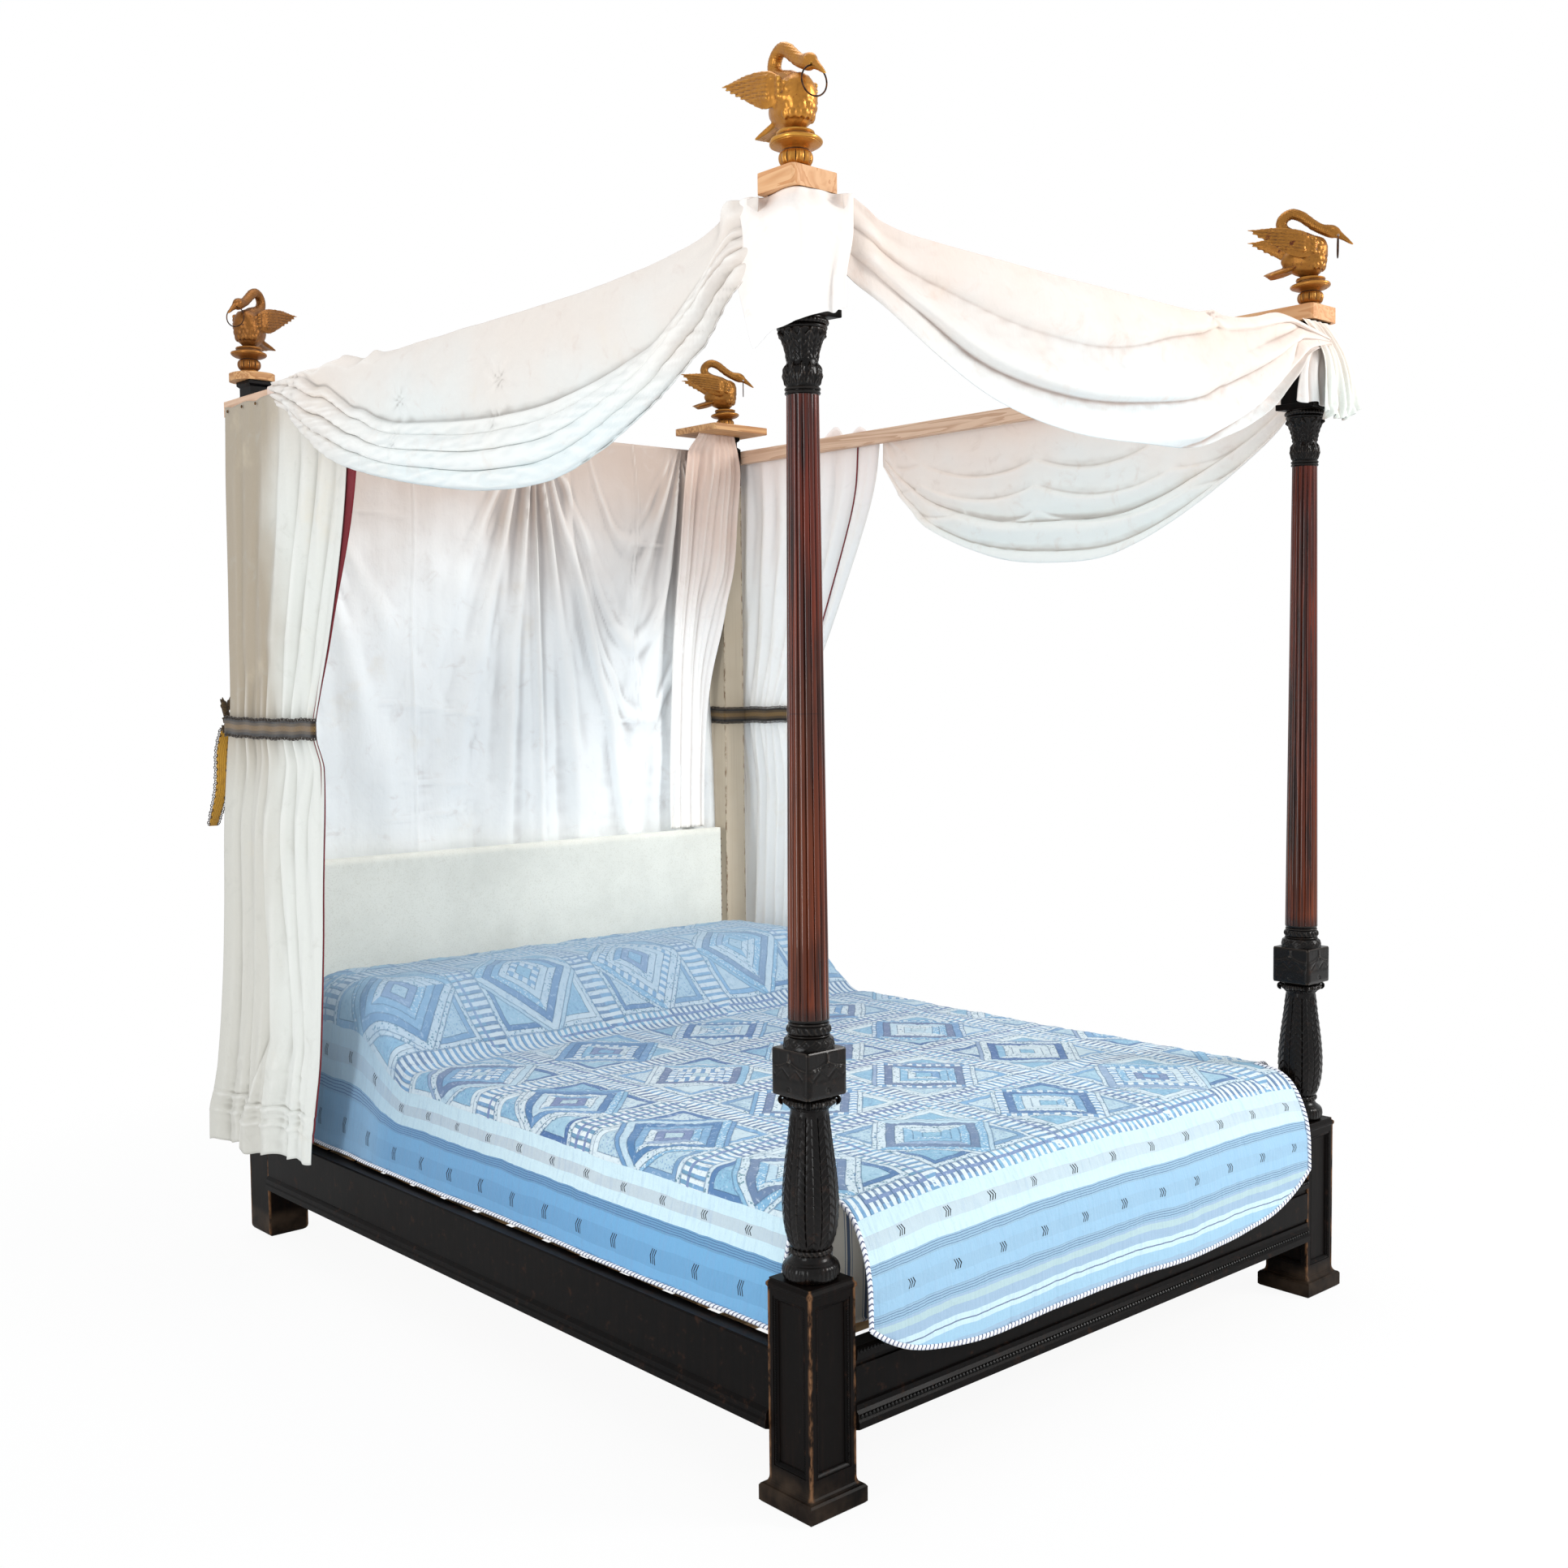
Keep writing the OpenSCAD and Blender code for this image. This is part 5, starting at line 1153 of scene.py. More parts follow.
def patchwork():
    """Blue and white patchwork: squares set on their points inside sashed squares, striped borders."""
    f = Finish("patchwork_quilt")
    u, v, _ = f.split(f.cut())
    drift = f.noise(f.cut(), 9.0, 2) - 0.5
    u, v = u + 0.010 * drift, v + 0.010 * (f.noise(f.cut(move=(3, 5, 0)), 9.0, 2) - 0.5)
    block = 0.3735
    col, row = (u + 0.675) / block + 0.5, (v + 0.885) / block + 0.5
    across, down = f.whole(col), f.whole(row)
    x, y = (f.rest(col) - 0.5) * block, (f.rest(row) - 0.5) * block
    ax, ay = abs(x), abs(y)
    point, square = ax + ay, f.most(ax, ay)
    side_x, side_y = x > 0, y > 0
    strip = 0.0262
    ring = f.whole(point / strip)
    lot = f.chance(f.join(across + 0.3, down + 0.7, ring + 0.5))
    quarter = f.chance(f.join(across + 0.5 * side_x, down + 0.5 * side_y, 41.5))
    ring_side = f.chance(f.join(across + 0.5 * side_x, down + 0.5 * side_y, ring + 9.5))
    whole_block = f.chance(f.join(across, down, 77.5))

    def fixed(value, *colors):
        """Picks one of several colours by a value from 0 to 1."""
        return f.steps(value, *((k / len(colors), paint(*c)) for k, c in enumerate(colors)))

    specks = f.cells(f.cut((150, 150, 1)), 1.0)
    shape = f.cells(f.cut((95, 95, 1), move=(7, 3, 0)), 1.0, "Color")
    hue = f.split(shape)[0]
    print_ink = f.mix(f.smooth(hue, 0.45, 0.55), paint(74, 104, 148), paint(84, 112, 116))
    printed = f.mix(f.smooth(specks, 0.42, 0.30) * (hue > 0.35), paint(226, 232, 234), print_ink)
    print_blue = f.mix(f.smooth(specks, 0.40, 0.30), paint(128, 172, 208), paint(232, 240, 242))

    plain = fixed(lot, (138, 178, 208), (198, 216, 226), (118, 156, 196), (222, 230, 232), (166, 196, 214),
                  (150, 160, 190), (104, 138, 186))
    color = f.mix(f.band(ring_side, 0.25, 0.62), plain, printed)
    color = f.mix(f.band(ring_side, 0.62, 0.74), color, print_blue)
    keys = f.rest((ax - ay) * 31 + 0.13) > 0.46
    key_strip = f.mix(keys, paint(104, 140, 188), paint(242, 244, 242))
    color = f.mix(f.band(lot, 0.52, 0.74) * (ring > 0.5), color, key_strip)
    navy = fixed(whole_block, (46, 62, 138), (96, 90, 132), (56, 92, 152), (112, 146, 190))
    color = f.mix(f.band(ring, 3.5, 4.5) * (quarter > 0.15) * (whole_block < 0.8), color, navy)
    color = f.mix(f.band(ring, 0.5, 1.5) * (whole_block > 0.5), color, paint(112, 108, 156))
    heart = f.mix(f.smooth(specks, 0.34, 0.26) * 0.5, fixed(whole_block, (140, 182, 206), (190, 208, 214),
                                                            (124, 168, 204)),
                  paint(98, 128, 176))
    color = f.mix(ring < 0.5, color, heart)
    seam = f.smooth(abs(f.rest(point / strip + 0.5) - 0.5), 0.085, 0.02)

    # Triangles in the corners of each block, with strips along their short sides.
    corner = fixed(quarter, (168, 198, 214), (208, 220, 224), (140, 180, 206), (190, 208, 216))
    corner = f.mix(f.smooth(specks, 0.38, 0.28) * (quarter > 0.35) * 0.75, corner, paint(118, 142, 184))
    leg = fixed(quarter, (52, 70, 140), (122, 160, 204), (60, 80, 146), (232, 238, 238), (114, 140, 180))
    corner = f.mix(f.band(square, 0.1245, 0.1385), corner, leg)
    corner = f.mix(f.band(square, 0.1385, 0.151), corner, printed)
    outer = point > 0.172
    color = f.mix(outer, color, corner)
    leg_seam = f.smooth(abs(f.rest(square * 72 + 0.03) - 0.5), 0.42, 0.49) * (square > 0.12)
    seam = seam * (1 - outer) + leg_seam * outer
    seam = f.most(seam, f.smooth(abs(point - 0.172), 0.0026, 0.0008))

    # Sashes of white and blue keys between the blocks.
    run = x * (ay > ax) + y * (ax > ay)
    sash_lot = f.chance(f.join(f.whole(col + 0.5 * (ay > ax)), f.whole(row + 0.5 * (ax > ay)),
                               5.5 + (ax > ay)))
    piano = f.rest(run * 52 + 0.3 * drift) > 0.45
    sash_blue = fixed(sash_lot, (114, 148, 190), (90, 92, 136), (130, 174, 206), (104, 138, 168))
    sash = f.mix(piano, sash_blue, paint(243, 244, 240))
    sash = f.mix(f.band(square, 0.168, 0.176) * (sash_lot > 0.4), sash, paint(118, 116, 164))
    in_sash = square > 0.151
    color = f.mix(in_sash, color, sash)
    seam = f.most(seam * (1 - in_sash), in_sash * f.smooth(abs(f.rest(run * 26 + 0.15 * drift) - 0.5), 0.44,
                                                           0.495))
    seam = f.most(seam, f.smooth(abs(square - 0.151), 0.003, 0.0008))

    # Striped borders down the sides and the foot.
    out_side, out_foot = abs(u) - 0.812, 0 - v - 1.082
    border = f.most(out_side, out_foot)
    at_foot = out_foot > out_side
    run = u * at_foot + v * (1 - at_foot)
    white = (222, 240, 244)
    stops = [(0, white), (0.030, (206, 210, 212)), (0.056, white), (0.082, (92, 134, 176)),
             (0.104, (104, 158, 206)), (0.128, (96, 146, 194)), (0.154, (108, 162, 210)),
             (0.176, (92, 132, 176)), (0.196, (124, 142, 184)), (0.232, white), (0.254, (128, 178, 216)),
             (0.276, (120, 142, 184))]
    bands = f.steps(border / 0.32, *((start / 0.32, paint(*c)) for start, c in stops))
    pins = f.rest(border * 210) < 0.24
    in_pins = f.most(f.band(border, 0.083, 0.1035), f.band(border, 0.177, 0.1955))
    bands = f.mix(f.band(border, 0.201, 0.214) * at_foot, bands, paint(176, 192, 184))
    lines = f.most(in_pins * pins * 0.75, f.band(border, 0.243, 0.2455) * 0.8)
    step = f.rest(run / 0.128) * 0.128 - 0.02
    rise = f.least(abs(border - 0.043), abs(border - 0.141))
    stroke = step + rise * 0.55
    marks = (f.rest(stroke / 0.0062) < 0.42) * f.band(stroke, 0.0, 0.0186) * (rise < 0.0095)
    puck = f.noise(f.join(run * 120, border * 14, 0.0), 1.0, 3, 0.55)
    bands = f.mix(f.smooth(puck, 0.45, 0.75) * 0.22, bands, paint(120, 140, 190))
    on_border = border > 0
    color = f.mix(on_border, color, bands)

    # Quilting seams darkened as painted shade in their stitched grooves, crinkle from washing, and a cooler,
    # greyer tone towards the head.
    crinkle = f.noise(f.cut((1, 1, 1)), 74.0, 5, 0.66, 0.9)
    color = f.mix(seam * (1 - on_border) * 0.62, color, paint(66, 84, 134))
    color = f.mix(f.smooth(crinkle, 0.52, 0.68) * 0.46 * (1 - on_border), color, paint(70, 94, 146))
    color = f.mix(f.smooth(crinkle, 0.46, 0.32) * 0.42 * (1 - on_border), color, paint(240, 246, 255))
    color = f.mix(f.smooth(v, -0.6, 0.8) * 0.54, color, paint(98, 126, 156))
    color = f.mix(f.smooth(v, 0.42, 0.56) * 0.32, color, paint(162, 186, 208))
    color = f.mix(0.14 + 0.12 * f.smooth(v, 0.1, -1.0), color, paint(150, 214, 244))
    color = f.mix(f.smooth(0 - v, 1.08, 1.16) * 0.34, color, paint(214, 240, 250))
    color = f.mix(on_border * lines, color, paint(58, 74, 128))
    color = f.mix(on_border * marks, color, paint(14, 17, 28))
    height = (1 - seam) * 0.8 * (1 - on_border) + crinkle * 0.7 + puck * on_border * 1.1
    bump = f.bump(height, 0.75, 0.0035)
    bump = f.bump(f.noise(f.cut((700, 700, 1)), 1.0, 2), 0.15, 0.0004, bump)
    return f.done(color, 0.84, bump, sheen=0.12, specular=0.2)


def twisted_binding():
    """White cord binding with dark strokes across it."""
    f = Finish("quilt_binding")
    turn = f.rest(f.mark("run") * 92 + f.mark("round"))
    color = f.mix(f.smooth(abs(turn - 0.5), 0.30, 0.40), paint(246, 248, 252), paint(92, 100, 132))
    return f.done(color, 0.8, f.bump(abs(turn - 0.5), 0.6, 0.0015), specular=0.2)


def woven_braid():
    """Black and brown braid with a gold thread woven down its middle."""
    f = Finish("tie_braid")
    u, v, _ = f.split(f.cut())
    lane = abs(v - 0.021)
    twill = f.rest(u * 190 + abs(f.rest(v * 120) - 0.5) * 2)
    color = f.mix(f.smooth(twill, 0.3, 0.7), paint(44, 34, 24), paint(92, 74, 48))
    color = f.mix(f.smooth(lane, 0.0075, 0.005) * f.smooth(twill, 0.2, 0.6), color, paint(138, 108, 62))
    color = f.mix(f.smooth(lane, 0.0125, 0.0145), color, paint(22, 18, 15))
    return f.done(color, 0.7, f.bump(twill, 0.6, 0.0012), sheen=0.3, specular=0.3)


def ribbed_face():
    """Mustard facing of the hanging ends, ribbed across."""
    f = Finish("mustard_rib")
    rib = abs(f.rest(f.split(f.cut())[1] * 260) - 0.5)
    blot = f.noise(f.place(), 40.0, 4, 0.6)
    color = f.mix(f.smooth(rib, 0.1, 0.45), paint(206, 156, 52), paint(150, 104, 30))
    color = f.mix(f.smooth(blot, 0.5, 0.75) * 0.5, color, paint(132, 92, 36))
    return f.done(color, 0.72, f.bump(rib, 0.5, 0.0012), sheen=0.3, specular=0.25)


def thread(name, color, glow):
    f = Finish(name)
    twist = f.noise(f.place(), 420.0, 3, 0.6)
    return f.done(f.mix(f.smooth(twist, 0.4, 0.7), paint(*color), paint(*glow)), 0.75,
                  f.bump(twist, 0.5, 0.0006), sheen=0.3, specular=0.25)


OUTER_COTTON = cotton("curtain_cotton", (214, 202, 188), (222, 224, 219), 1.75, 2.5, (184, 184, 176),
                      back_shade=(172, 160, 142), hollow=(128, 124, 114))
INNER_COTTON = cotton("curtain_inner_cotton", (222, 206, 192), (236, 234, 232), 1.5, 2.2, (190, 182, 178),
                      inside=True)
# The right curtain's inside: a brighter copy of the curtain cotton, with lighter fold shades, as painted
# light where the lamps leave it dim.
RIGHT_COTTON = cotton("curtain_painted_light_cotton", (255, 246, 242), (254, 255, 254), 1.8, 2.2, (238, 234, 230),
                      folds=0.6, inside=True, hollow=(196, 192, 190))
SWAG_COTTON = cotton("swag_cotton", (228, 219, 211), (222, 231, 232), 1.85, 2.25, (206, 188, 178), 0.42,
                     folds=1.05, hollow=(138, 132, 126))
FOOT_COTTON = cotton("foot_swag_cotton", (234, 220, 210), (228, 236, 238), 1.90, 2.28, (222, 190, 172), 0.42,
                     folds=1.15, hollow=(148, 118, 102))
# A lighter copy of the foot swag's cotton, painted brighter as painted light for the lit corner cloth.
CORNER_COTTON = cotton("corner_painted_light_cotton", (248, 240, 234), (244, 248, 249), 1.90, 2.28, (232, 214, 204), 0.42,
                       hollow=(190, 170, 158))
FAR_COTTON = cotton("right_swag_cotton", (250, 236, 226), (244, 250, 248), 1.85, 2.2, (216, 198, 186),
                    inside=True, hollow=(160, 146, 136))
TAIL_COTTON = cotton("jabot_cotton", (238, 224, 212), (230, 236, 230), 2.02, 2.3, (222, 190, 172), 0.5,
                     folds=1.1, hollow=(158, 134, 118))
# The back curtain's upper colour is darkened as painted shade under the tester.
BACK_COTTON = cotton("back_curtain_cotton", (196, 178, 166), (250, 254, 255), 1.50, 2.20, (208, 200, 196),
                     0.6, folds=1.0, hollow=(146, 142, 142))
DRAPE_COTTON = cotton("drape_cotton", (226, 202, 188), (255, 254, 252), 1.6, 2.15, (228, 216, 208), 0.6,
                      folds=0.7, hollow=(170, 152, 144))
BURGUNDY = plain_cloth("burgundy_lining", (122, 34, 44), (70, 16, 24))
HEAD_CLOTH = plain_cloth("headboard_cloth", (236, 238, 230), (208, 208, 196), 480, 0.5)
TICKING = striped_ticking()
QUILT = patchwork()
BINDING = twisted_binding()
BRAID = woven_braid()
MUSTARD = ribbed_face()
PICOT = thread("picot_thread", (26, 20, 17), (70, 54, 38))


# ---------------------------------------------------------------- hung cloths

def mark_folds(bm, columns, rows, flat):
    """Stores how far each point stands above (over half) or below (under half) the cloth round it."""
    layer = bm.verts.layers.float.new("relief")
    bm.normal_update()
    wide = columns + 1
    spots = [v.co.copy() for v in bm.verts]
    reaches = [(max(1, round(reach * columns / flat[0])), max(1, round(reach * rows / flat[1])), gain)
               for reach, gain in ((0.008, 90.0), (0.024, 42.0))]
    for index, v in enumerate(bm.verts):
        row, column = divmod(index, wide)
        height = 0.0
        for far, deep, gain in reaches:
            left, right = spots[row * wide + max(0, column - far)], spots[row * wide
                                                                          + min(columns, column + far)]
            low, high = spots[max(0, row - deep) * wide + column], spots[min(rows, row + deep) * wide
                                                                         + column]
            height += gain * (v.co - (left + right + low + high) / 4).dot(v.normal)
        v[layer] = clamp(0.5 + height)


CLOTH_THICK = 0.0014


def cloth(name, columns, rows, place, flat, material, stands_for=(), back=None,
          turned_over=False):
    """A cloth of about a flat size. place(s, t) says where its point a share s across and t down hangs.

    Seen from outside, s runs from left to right; turned_over swaps the sides of a mirrored one."""
    bm = bmesh.new()
    uv = bm.loops.layers.uv.new("flat")
    bmesh.ops.create_grid(bm, x_segments=columns, y_segments=rows, size=0.5, calc_uvs=True)
    for v in bm.verts:
        v.co = place(v.co.x + 0.5, 0.5 - v.co.y)
    # The cut has the hung cloth's own area, in the proportions given.
    grown = math.sqrt(sum(face.calc_area() for face in bm.faces) / (flat[0] * flat[1]))
    flat = (flat[0] * grown, flat[1] * grown)
    for face in bm.faces:
        for corner in face.loops:
            corner[uv].uv = (corner[uv].uv.x * flat[0], corner[uv].uv.y * flat[1])
    if turned_over:
        bmesh.ops.reverse_faces(bm, faces=bm.faces)
    mark_folds(bm, columns, rows, flat)
    made = piece(name, bm, [material] + ([back] if back else []), stands_for, 80)
    shell = made.modifiers.new("thickness", "SOLIDIFY")
    shell.thickness, shell.offset = CLOTH_THICK, -1
    shell.material_offset = 1 if back else 0
    return made


def droop(phase, sharp=1.7):
    """Side view of hanging folds: each swells slowly and tucks under sharply, from 0 to 1."""
    return math.sin(math.pi * (phase % 1) ** sharp)


def rope(phase):
    """Rounded rolls with narrow creases between them, from 0 to 1."""
    return abs(math.sin(math.pi * phase)) ** 0.62


def tuft(across, down, reach, spokes=7, turn=0.0):
    """A stitched pucker with creases running out from it: height near the point."""
    far = math.hypot(across, down)
    rays = math.cos(spokes * math.atan2(down, across) + turn + 2.5 * far / reach)
    return -0.005 * math.exp(-(far / (0.22 * reach)) ** 2) + 0.0018 * rays * math.exp(-far / (0.5 * reach)) \
        * ease(0, 0.12 * reach, far)


def beside(side, y, out, z):
    """A point standing out from the side battens: side is -1 on the left, 1 on the right."""
    return Vector((side * (BATTEN_OUT_X + out), y, z))


def afore(x, out, z):
    """A point standing out from the foot batten."""
    return Vector((x, -BATTEN_OUT_Y - out, z))


CLEAR = 0.0045
LEFT_SWAG_LOW = [(-1.03, 2.165), (-0.94, 2.115), (-0.883, 2.055), (-0.691, 1.95), (-0.426, 1.872),
                 (-0.191, 1.867), (0.068, 1.90), (0.29, 1.945), (0.431, 1.989), (0.56, 2.062), (0.64, 2.125),
                 (0.70, 2.152)]
LEFT_SWAG_TOP = [(-1.03, 2.286), (-0.99, 2.288), (-0.965, 2.289), (-0.94, 2.272), (-0.905, 2.256),
                 (-0.83, 2.240), (-0.70, 2.226), (-0.5, 2.217), (0.10, 2.216), (0.25, 2.217), (0.30, 2.228),
                 (0.345, 2.217), (0.39, 2.227), (0.45, 2.238), (0.50, 2.222), (0.56, 2.229), (0.62, 2.221),
                 (0.70, 2.214)]
LEFT_SWAG_LIFT = [(-1.03, 0.002), (0.05, 0.005), (0.36, 0.032), (0.52, 0.044), (0.70, 0.040)]


def left_swag_place(s, t):
    """Flat above, with stitched puckers, and rolled into ropes along its lower edge."""
    y = lerp(0.700, -1.029, s)
    top, low = along(LEFT_SWAG_TOP, y)[0], along(LEFT_SWAG_LOW, y)[0]
    lift = along(LEFT_SWAG_LIFT, y)[0]
    head, foot = ease(0.16, 0.72, y), ease(-0.72, -1.0, y)
    gathered = max(head, foot)
    roll_from = lerp(lerp(0.56, 0.10, head), 0.30, foot)
    z = lerp(top, low, t)
    share = (t - roll_from) / (1 - roll_from)
    out = CLEAR + lift * ease(0.0, 0.12, t)
    if share > 0:
        count = lerp(3.7, 4.2, s)
        phase = count * share ** 0.86 + 0.10 * math.sin(9 * s) + 0.20 * ripple(y, 0, t * 0.4, 0.27, 3)
        deep = lerp(0.025, 0.019, gathered) * ease(0, 0.10, share)
        size = (0.72 + 0.28 * math.sin(3.1 + phase * 1.9)) * (0.85 + 0.6 * ripple(y, 0, phase * 0.3, 0.42, 7))
        out += deep * rope(phase) * size + 0.012 * math.sin(math.pi * share ** 0.8)
        z += 0.006 * math.sin(TURN * phase) * (1 - gathered) * ease(1.0, 0.9, share) * ease(0, 0.1, share)
        out += 0.004 * ripple(y, 0, z * 6, 0.05, 5) * ease(0, 0.2, share)
    flat_part = ease(0.25, -0.12, share)
    out += flat_part * (0.010 * math.sin(math.pi * clamp(t / max(0.05, roll_from))) ** 0.8
                        * (1 - 0.5 * gathered)
                        + 0.0040 * ripple(y, 0, z * 1.6, 0.11, 1) + 0.0011 * ripple(y, 0, z * 1.8, 0.035, 2))
    for (at_y, at_z, reach) in ((-0.227, 2.089, 0.10), (0.163, 2.095, 0.11), (0.167, 2.004, 0.10),
                                (-0.205, 2.004, 0.07)):
        if abs(y - at_y) < 0.22 and abs(z - at_z) < 0.22:
            out += tuft(at_y - y, z - at_z, reach, 7, at_y * 9) * ease(0.0, 0.06, t)
    # Pleats come off the corner and off the bunch over the batten.
    spread = math.atan2(top - z + 0.02, y + 1.05)
    out += 0.007 * math.cos(9 * spread + 1.0) * foot * ease(0.0, 0.2, t)
    out = lerp(out, 0.004 + 0.25 * out, ease(-0.975, -1.020, y))
    out += 0.016 * ridge(y + 0.958, 0.030) * ease(0.30, 0.0, t)
    spread = math.atan2(2.235 - z, 0.60 - y)
    out += 0.008 * abs(math.sin(4.6 * spread + 0.5)) * head * ease(0.0, 0.15, t)
    return beside(-1, y, max(CLEAR * 0.6, out), z)


RIGHT_SWAG_LOW = [(-1.03, 2.158), (-0.933, 2.056), (-0.702, 1.902), (-0.449, 1.796), (-0.23, 1.784),
                  (-0.026, 1.812), (0.225, 1.91), (0.33, 2.00), (0.38, 2.066), (0.414, 2.110)]


RIGHT_SWAG_ROWS = [[(0.44, 2.130), (0.256, 2.104), (-0.169, 2.076), (-0.56, 2.075), (-0.88, 2.15)],
                   [(0.45, 2.050), (0.256, 2.043), (-0.169, 2.004), (-0.62, 2.005), (-0.92, 2.10)],
                   [(0.34, 1.985), (0.10, 1.950), (-0.169, 1.934), (-0.68, 1.950), (-0.95, 2.07)]]


def tacked(y, z, row):
    """Cloth caught up at the points of a row: a fold hangs in a shallow curve from each to the next."""
    for (y0, z0), (y1, z1) in zip(row, row[1:]):
        if y1 <= y <= y0:
            share = (y0 - y) / (y0 - y1)
            line = lerp(z0, z1, share) - 0.10 * (y0 - y1) * 4 * share * (1 - share)
            full = 0.25 + 0.75 * math.sin(math.pi * share) ** 0.6
            return full * ease(-0.011, 0.003, z - line) * ease(0.085, 0.0, z - line)
    return 0.0


def right_swag_place(s, t):
    """Seen mostly from inside: shallow folds caught up at tacks, over two long sagging ones."""
    y = lerp(-1.029, 0.414, s)
    top = lerp(2.216, 2.286, ease(-0.84, -1.03, y))
    low = along(RIGHT_SWAG_LOW, y)[0]
    z = lerp(top, low, t)
    full = math.sin(math.pi * clamp(s)) ** 0.6
    share = clamp((t - 0.58) / 0.42)
    phase = 2.3 * share ** 0.9 + 0.16 * ripple(y, 1, z, 0.36, 9)
    out = CLEAR + 0.010 + 0.012 * math.sin(math.pi * t) * full
    out += 0.022 * (1 - droop(phase, 0.55)) * ease(0.58, 0.72, t) * full
    out += 0.015 * sum(tacked(y, z, row) for row in RIGHT_SWAG_ROWS) * full
    out += 0.0036 * ripple(y, 0, z * 1.6, 0.10, 4) + 0.0009 * ripple(y, 0, z * 2, 0.03, 6)
    fan = math.atan2(2.205 - z, 0.414 - y)
    out += 0.008 * abs(math.sin(5.2 * fan)) * ease(0.20, 0.39, y) * ease(0.0, 0.2, t)
    out = lerp(out, 0.004 + 0.25 * out, ease(-0.955, -1.015, y))
    return beside(1, y, clamp(out, CLEAR * 0.6, 0.062), z)


FOOT_SWAG_TOP = [(-0.77, 2.286), (-0.745, 2.286), (-0.711, 2.272), (-0.682, 2.258), (-0.607, 2.246),
                 (-0.3, 2.238), (0.134, 2.231), (0.264, 2.231), (0.29, 2.236), (0.321, 2.241), (0.35, 2.234),
                 (0.418, 2.238), (0.468, 2.247), (0.539, 2.265), (0.581, 2.270), (0.661, 2.262),
                 (0.72, 2.250), (0.775, 2.238)]
FOOT_SWAG_LOW = [(-0.77, 2.160), (-0.708, 2.122), (-0.608, 2.065), (-0.415, 1.985), (-0.18, 1.941),
                 (0.08, 1.937), (0.266, 1.949), (0.361, 1.979), (0.46, 2.019), (0.537, 2.066), (0.593, 2.124),
                 (0.641, 2.170), (0.711, 2.205), (0.775, 2.224)]


def foot_swag_place(s, t):
    """Deep folds sweep down from the bunch at the right and rise again to the left corner."""
    x = lerp(-0.770, 0.775, s)
    top, low = along(FOOT_SWAG_TOP, x)[0], along(FOOT_SWAG_LOW, x)[0]
    z = lerp(top, low, t)
    right, left = ease(-0.15, 0.70, x), ease(-0.35, -0.76, x)
    sweep = 0.55 * ridge(x - 0.20, 0.62) * (1 - t) ** 1.5
    phase = lerp(2.45, 3.5, right) * t ** lerp(1.18, 0.9, right) + sweep + 0.35 * left * t \
        + 0.20 * ripple(x, 0, t, 0.45, 12)
    size = 0.8 + 0.55 * ripple(x, 2, t * 1.3, 0.5, 16)
    deep = (lerp(0.020, 0.029, right) * size * ease(0, 0.16, t) * (1 - 0.5 * ease(0.60, 0.74, x))
            * (1 - 0.3 * left))
    fold = droop(phase + 0.12, 1.9)
    out = CLEAR + 0.002 + deep * fold + 0.016 * math.sin(math.pi * t ** 0.9) * math.sin(math.pi * s) ** 0.7
    z -= 0.012 * fold * (deep / 0.026) * ease(0.02, 0.2, t) * ease(1.0, 0.86, t)
    out += 0.0036 * ripple(x * 0.5 + z, 0, z * 2.0, 0.12, 14) + 0.0008 * ripple(x, 0, z * 2, 0.03, 15)
    # Pleats run from the bunch, and from the left corner.
    fan, far = math.atan2(2.262 - z, 0.69 - x), math.hypot(0.69 - x, 2.262 - z)
    out += (0.015 * droop(3.6 * fan / 1.57 + 0.2, 1.5) * ease(0.02, 0.10, far) * ease(0.46, 0.14, far)
            * ease(0.69, 0.58, x))
    fan = math.atan2(2.31 - z, x + 0.80)
    out += 0.008 * math.cos(7.0 * fan) * ease(-0.30, -0.62, x) * ease(0.0, 0.15, t)
    out += tuft(x - 0.314, z - 2.224, 0.09, 5, 2.0) * ease(0, 0.03, t)
    out = lerp(out, 0.004 + 0.22 * out, ease(-0.705, -0.76, x))
    out = lerp(out, 0.013 + 0.22 * out, ease(0.66, 0.75, x))
    return afore(x, clamp(out, CLEAR * 0.6, 0.062), z)


# Front edges of the side curtains, as (height, distance towards the foot).
LEFT_FRONT = [(0.24, 0.617), (0.30, 0.612), (0.595, 0.572), (0.968, 0.562), (1.263, 0.555), (1.335, 0.597),
              (1.364, 0.604), (1.40, 0.598), (1.60, 0.520), (1.83, 0.450), (2.0, 0.420), (2.10, 0.43),
              (2.215, 0.450)]
# How far the left curtain stands out along its front and back edges, and where its back edge runs.
LEFT_EDGES = [(0.25, 0.060, 0.070, 1.190), (0.34, 0.058, 0.068, 1.188), (0.38, 0.056, 0.066, 1.168),
              (0.47, 0.052, 0.062, 1.140), (0.66, 0.047, 0.058, 1.108), (0.85, 0.040, 0.052, 1.098),
              (1.10, 0.035, 0.045, 1.094), (1.28, 0.031, 0.034, 1.093), (1.42, 0.024, 0.020, 1.093),
              (1.60, 0.022, 0.016, 1.093), (2.0, 0.018, 0.012, 1.093), (2.2, 0.014, 0.008, 1.093)]
RIGHT_FRONT = [(0.205, 0.805), (0.54, 0.795), (0.95, 0.785), (1.28, 0.778), (1.364, 0.787), (1.42, 0.760),
               (1.612, 0.648), (1.873, 0.518), (2.051, 0.443), (2.183, 0.417), (2.215, 0.415)]
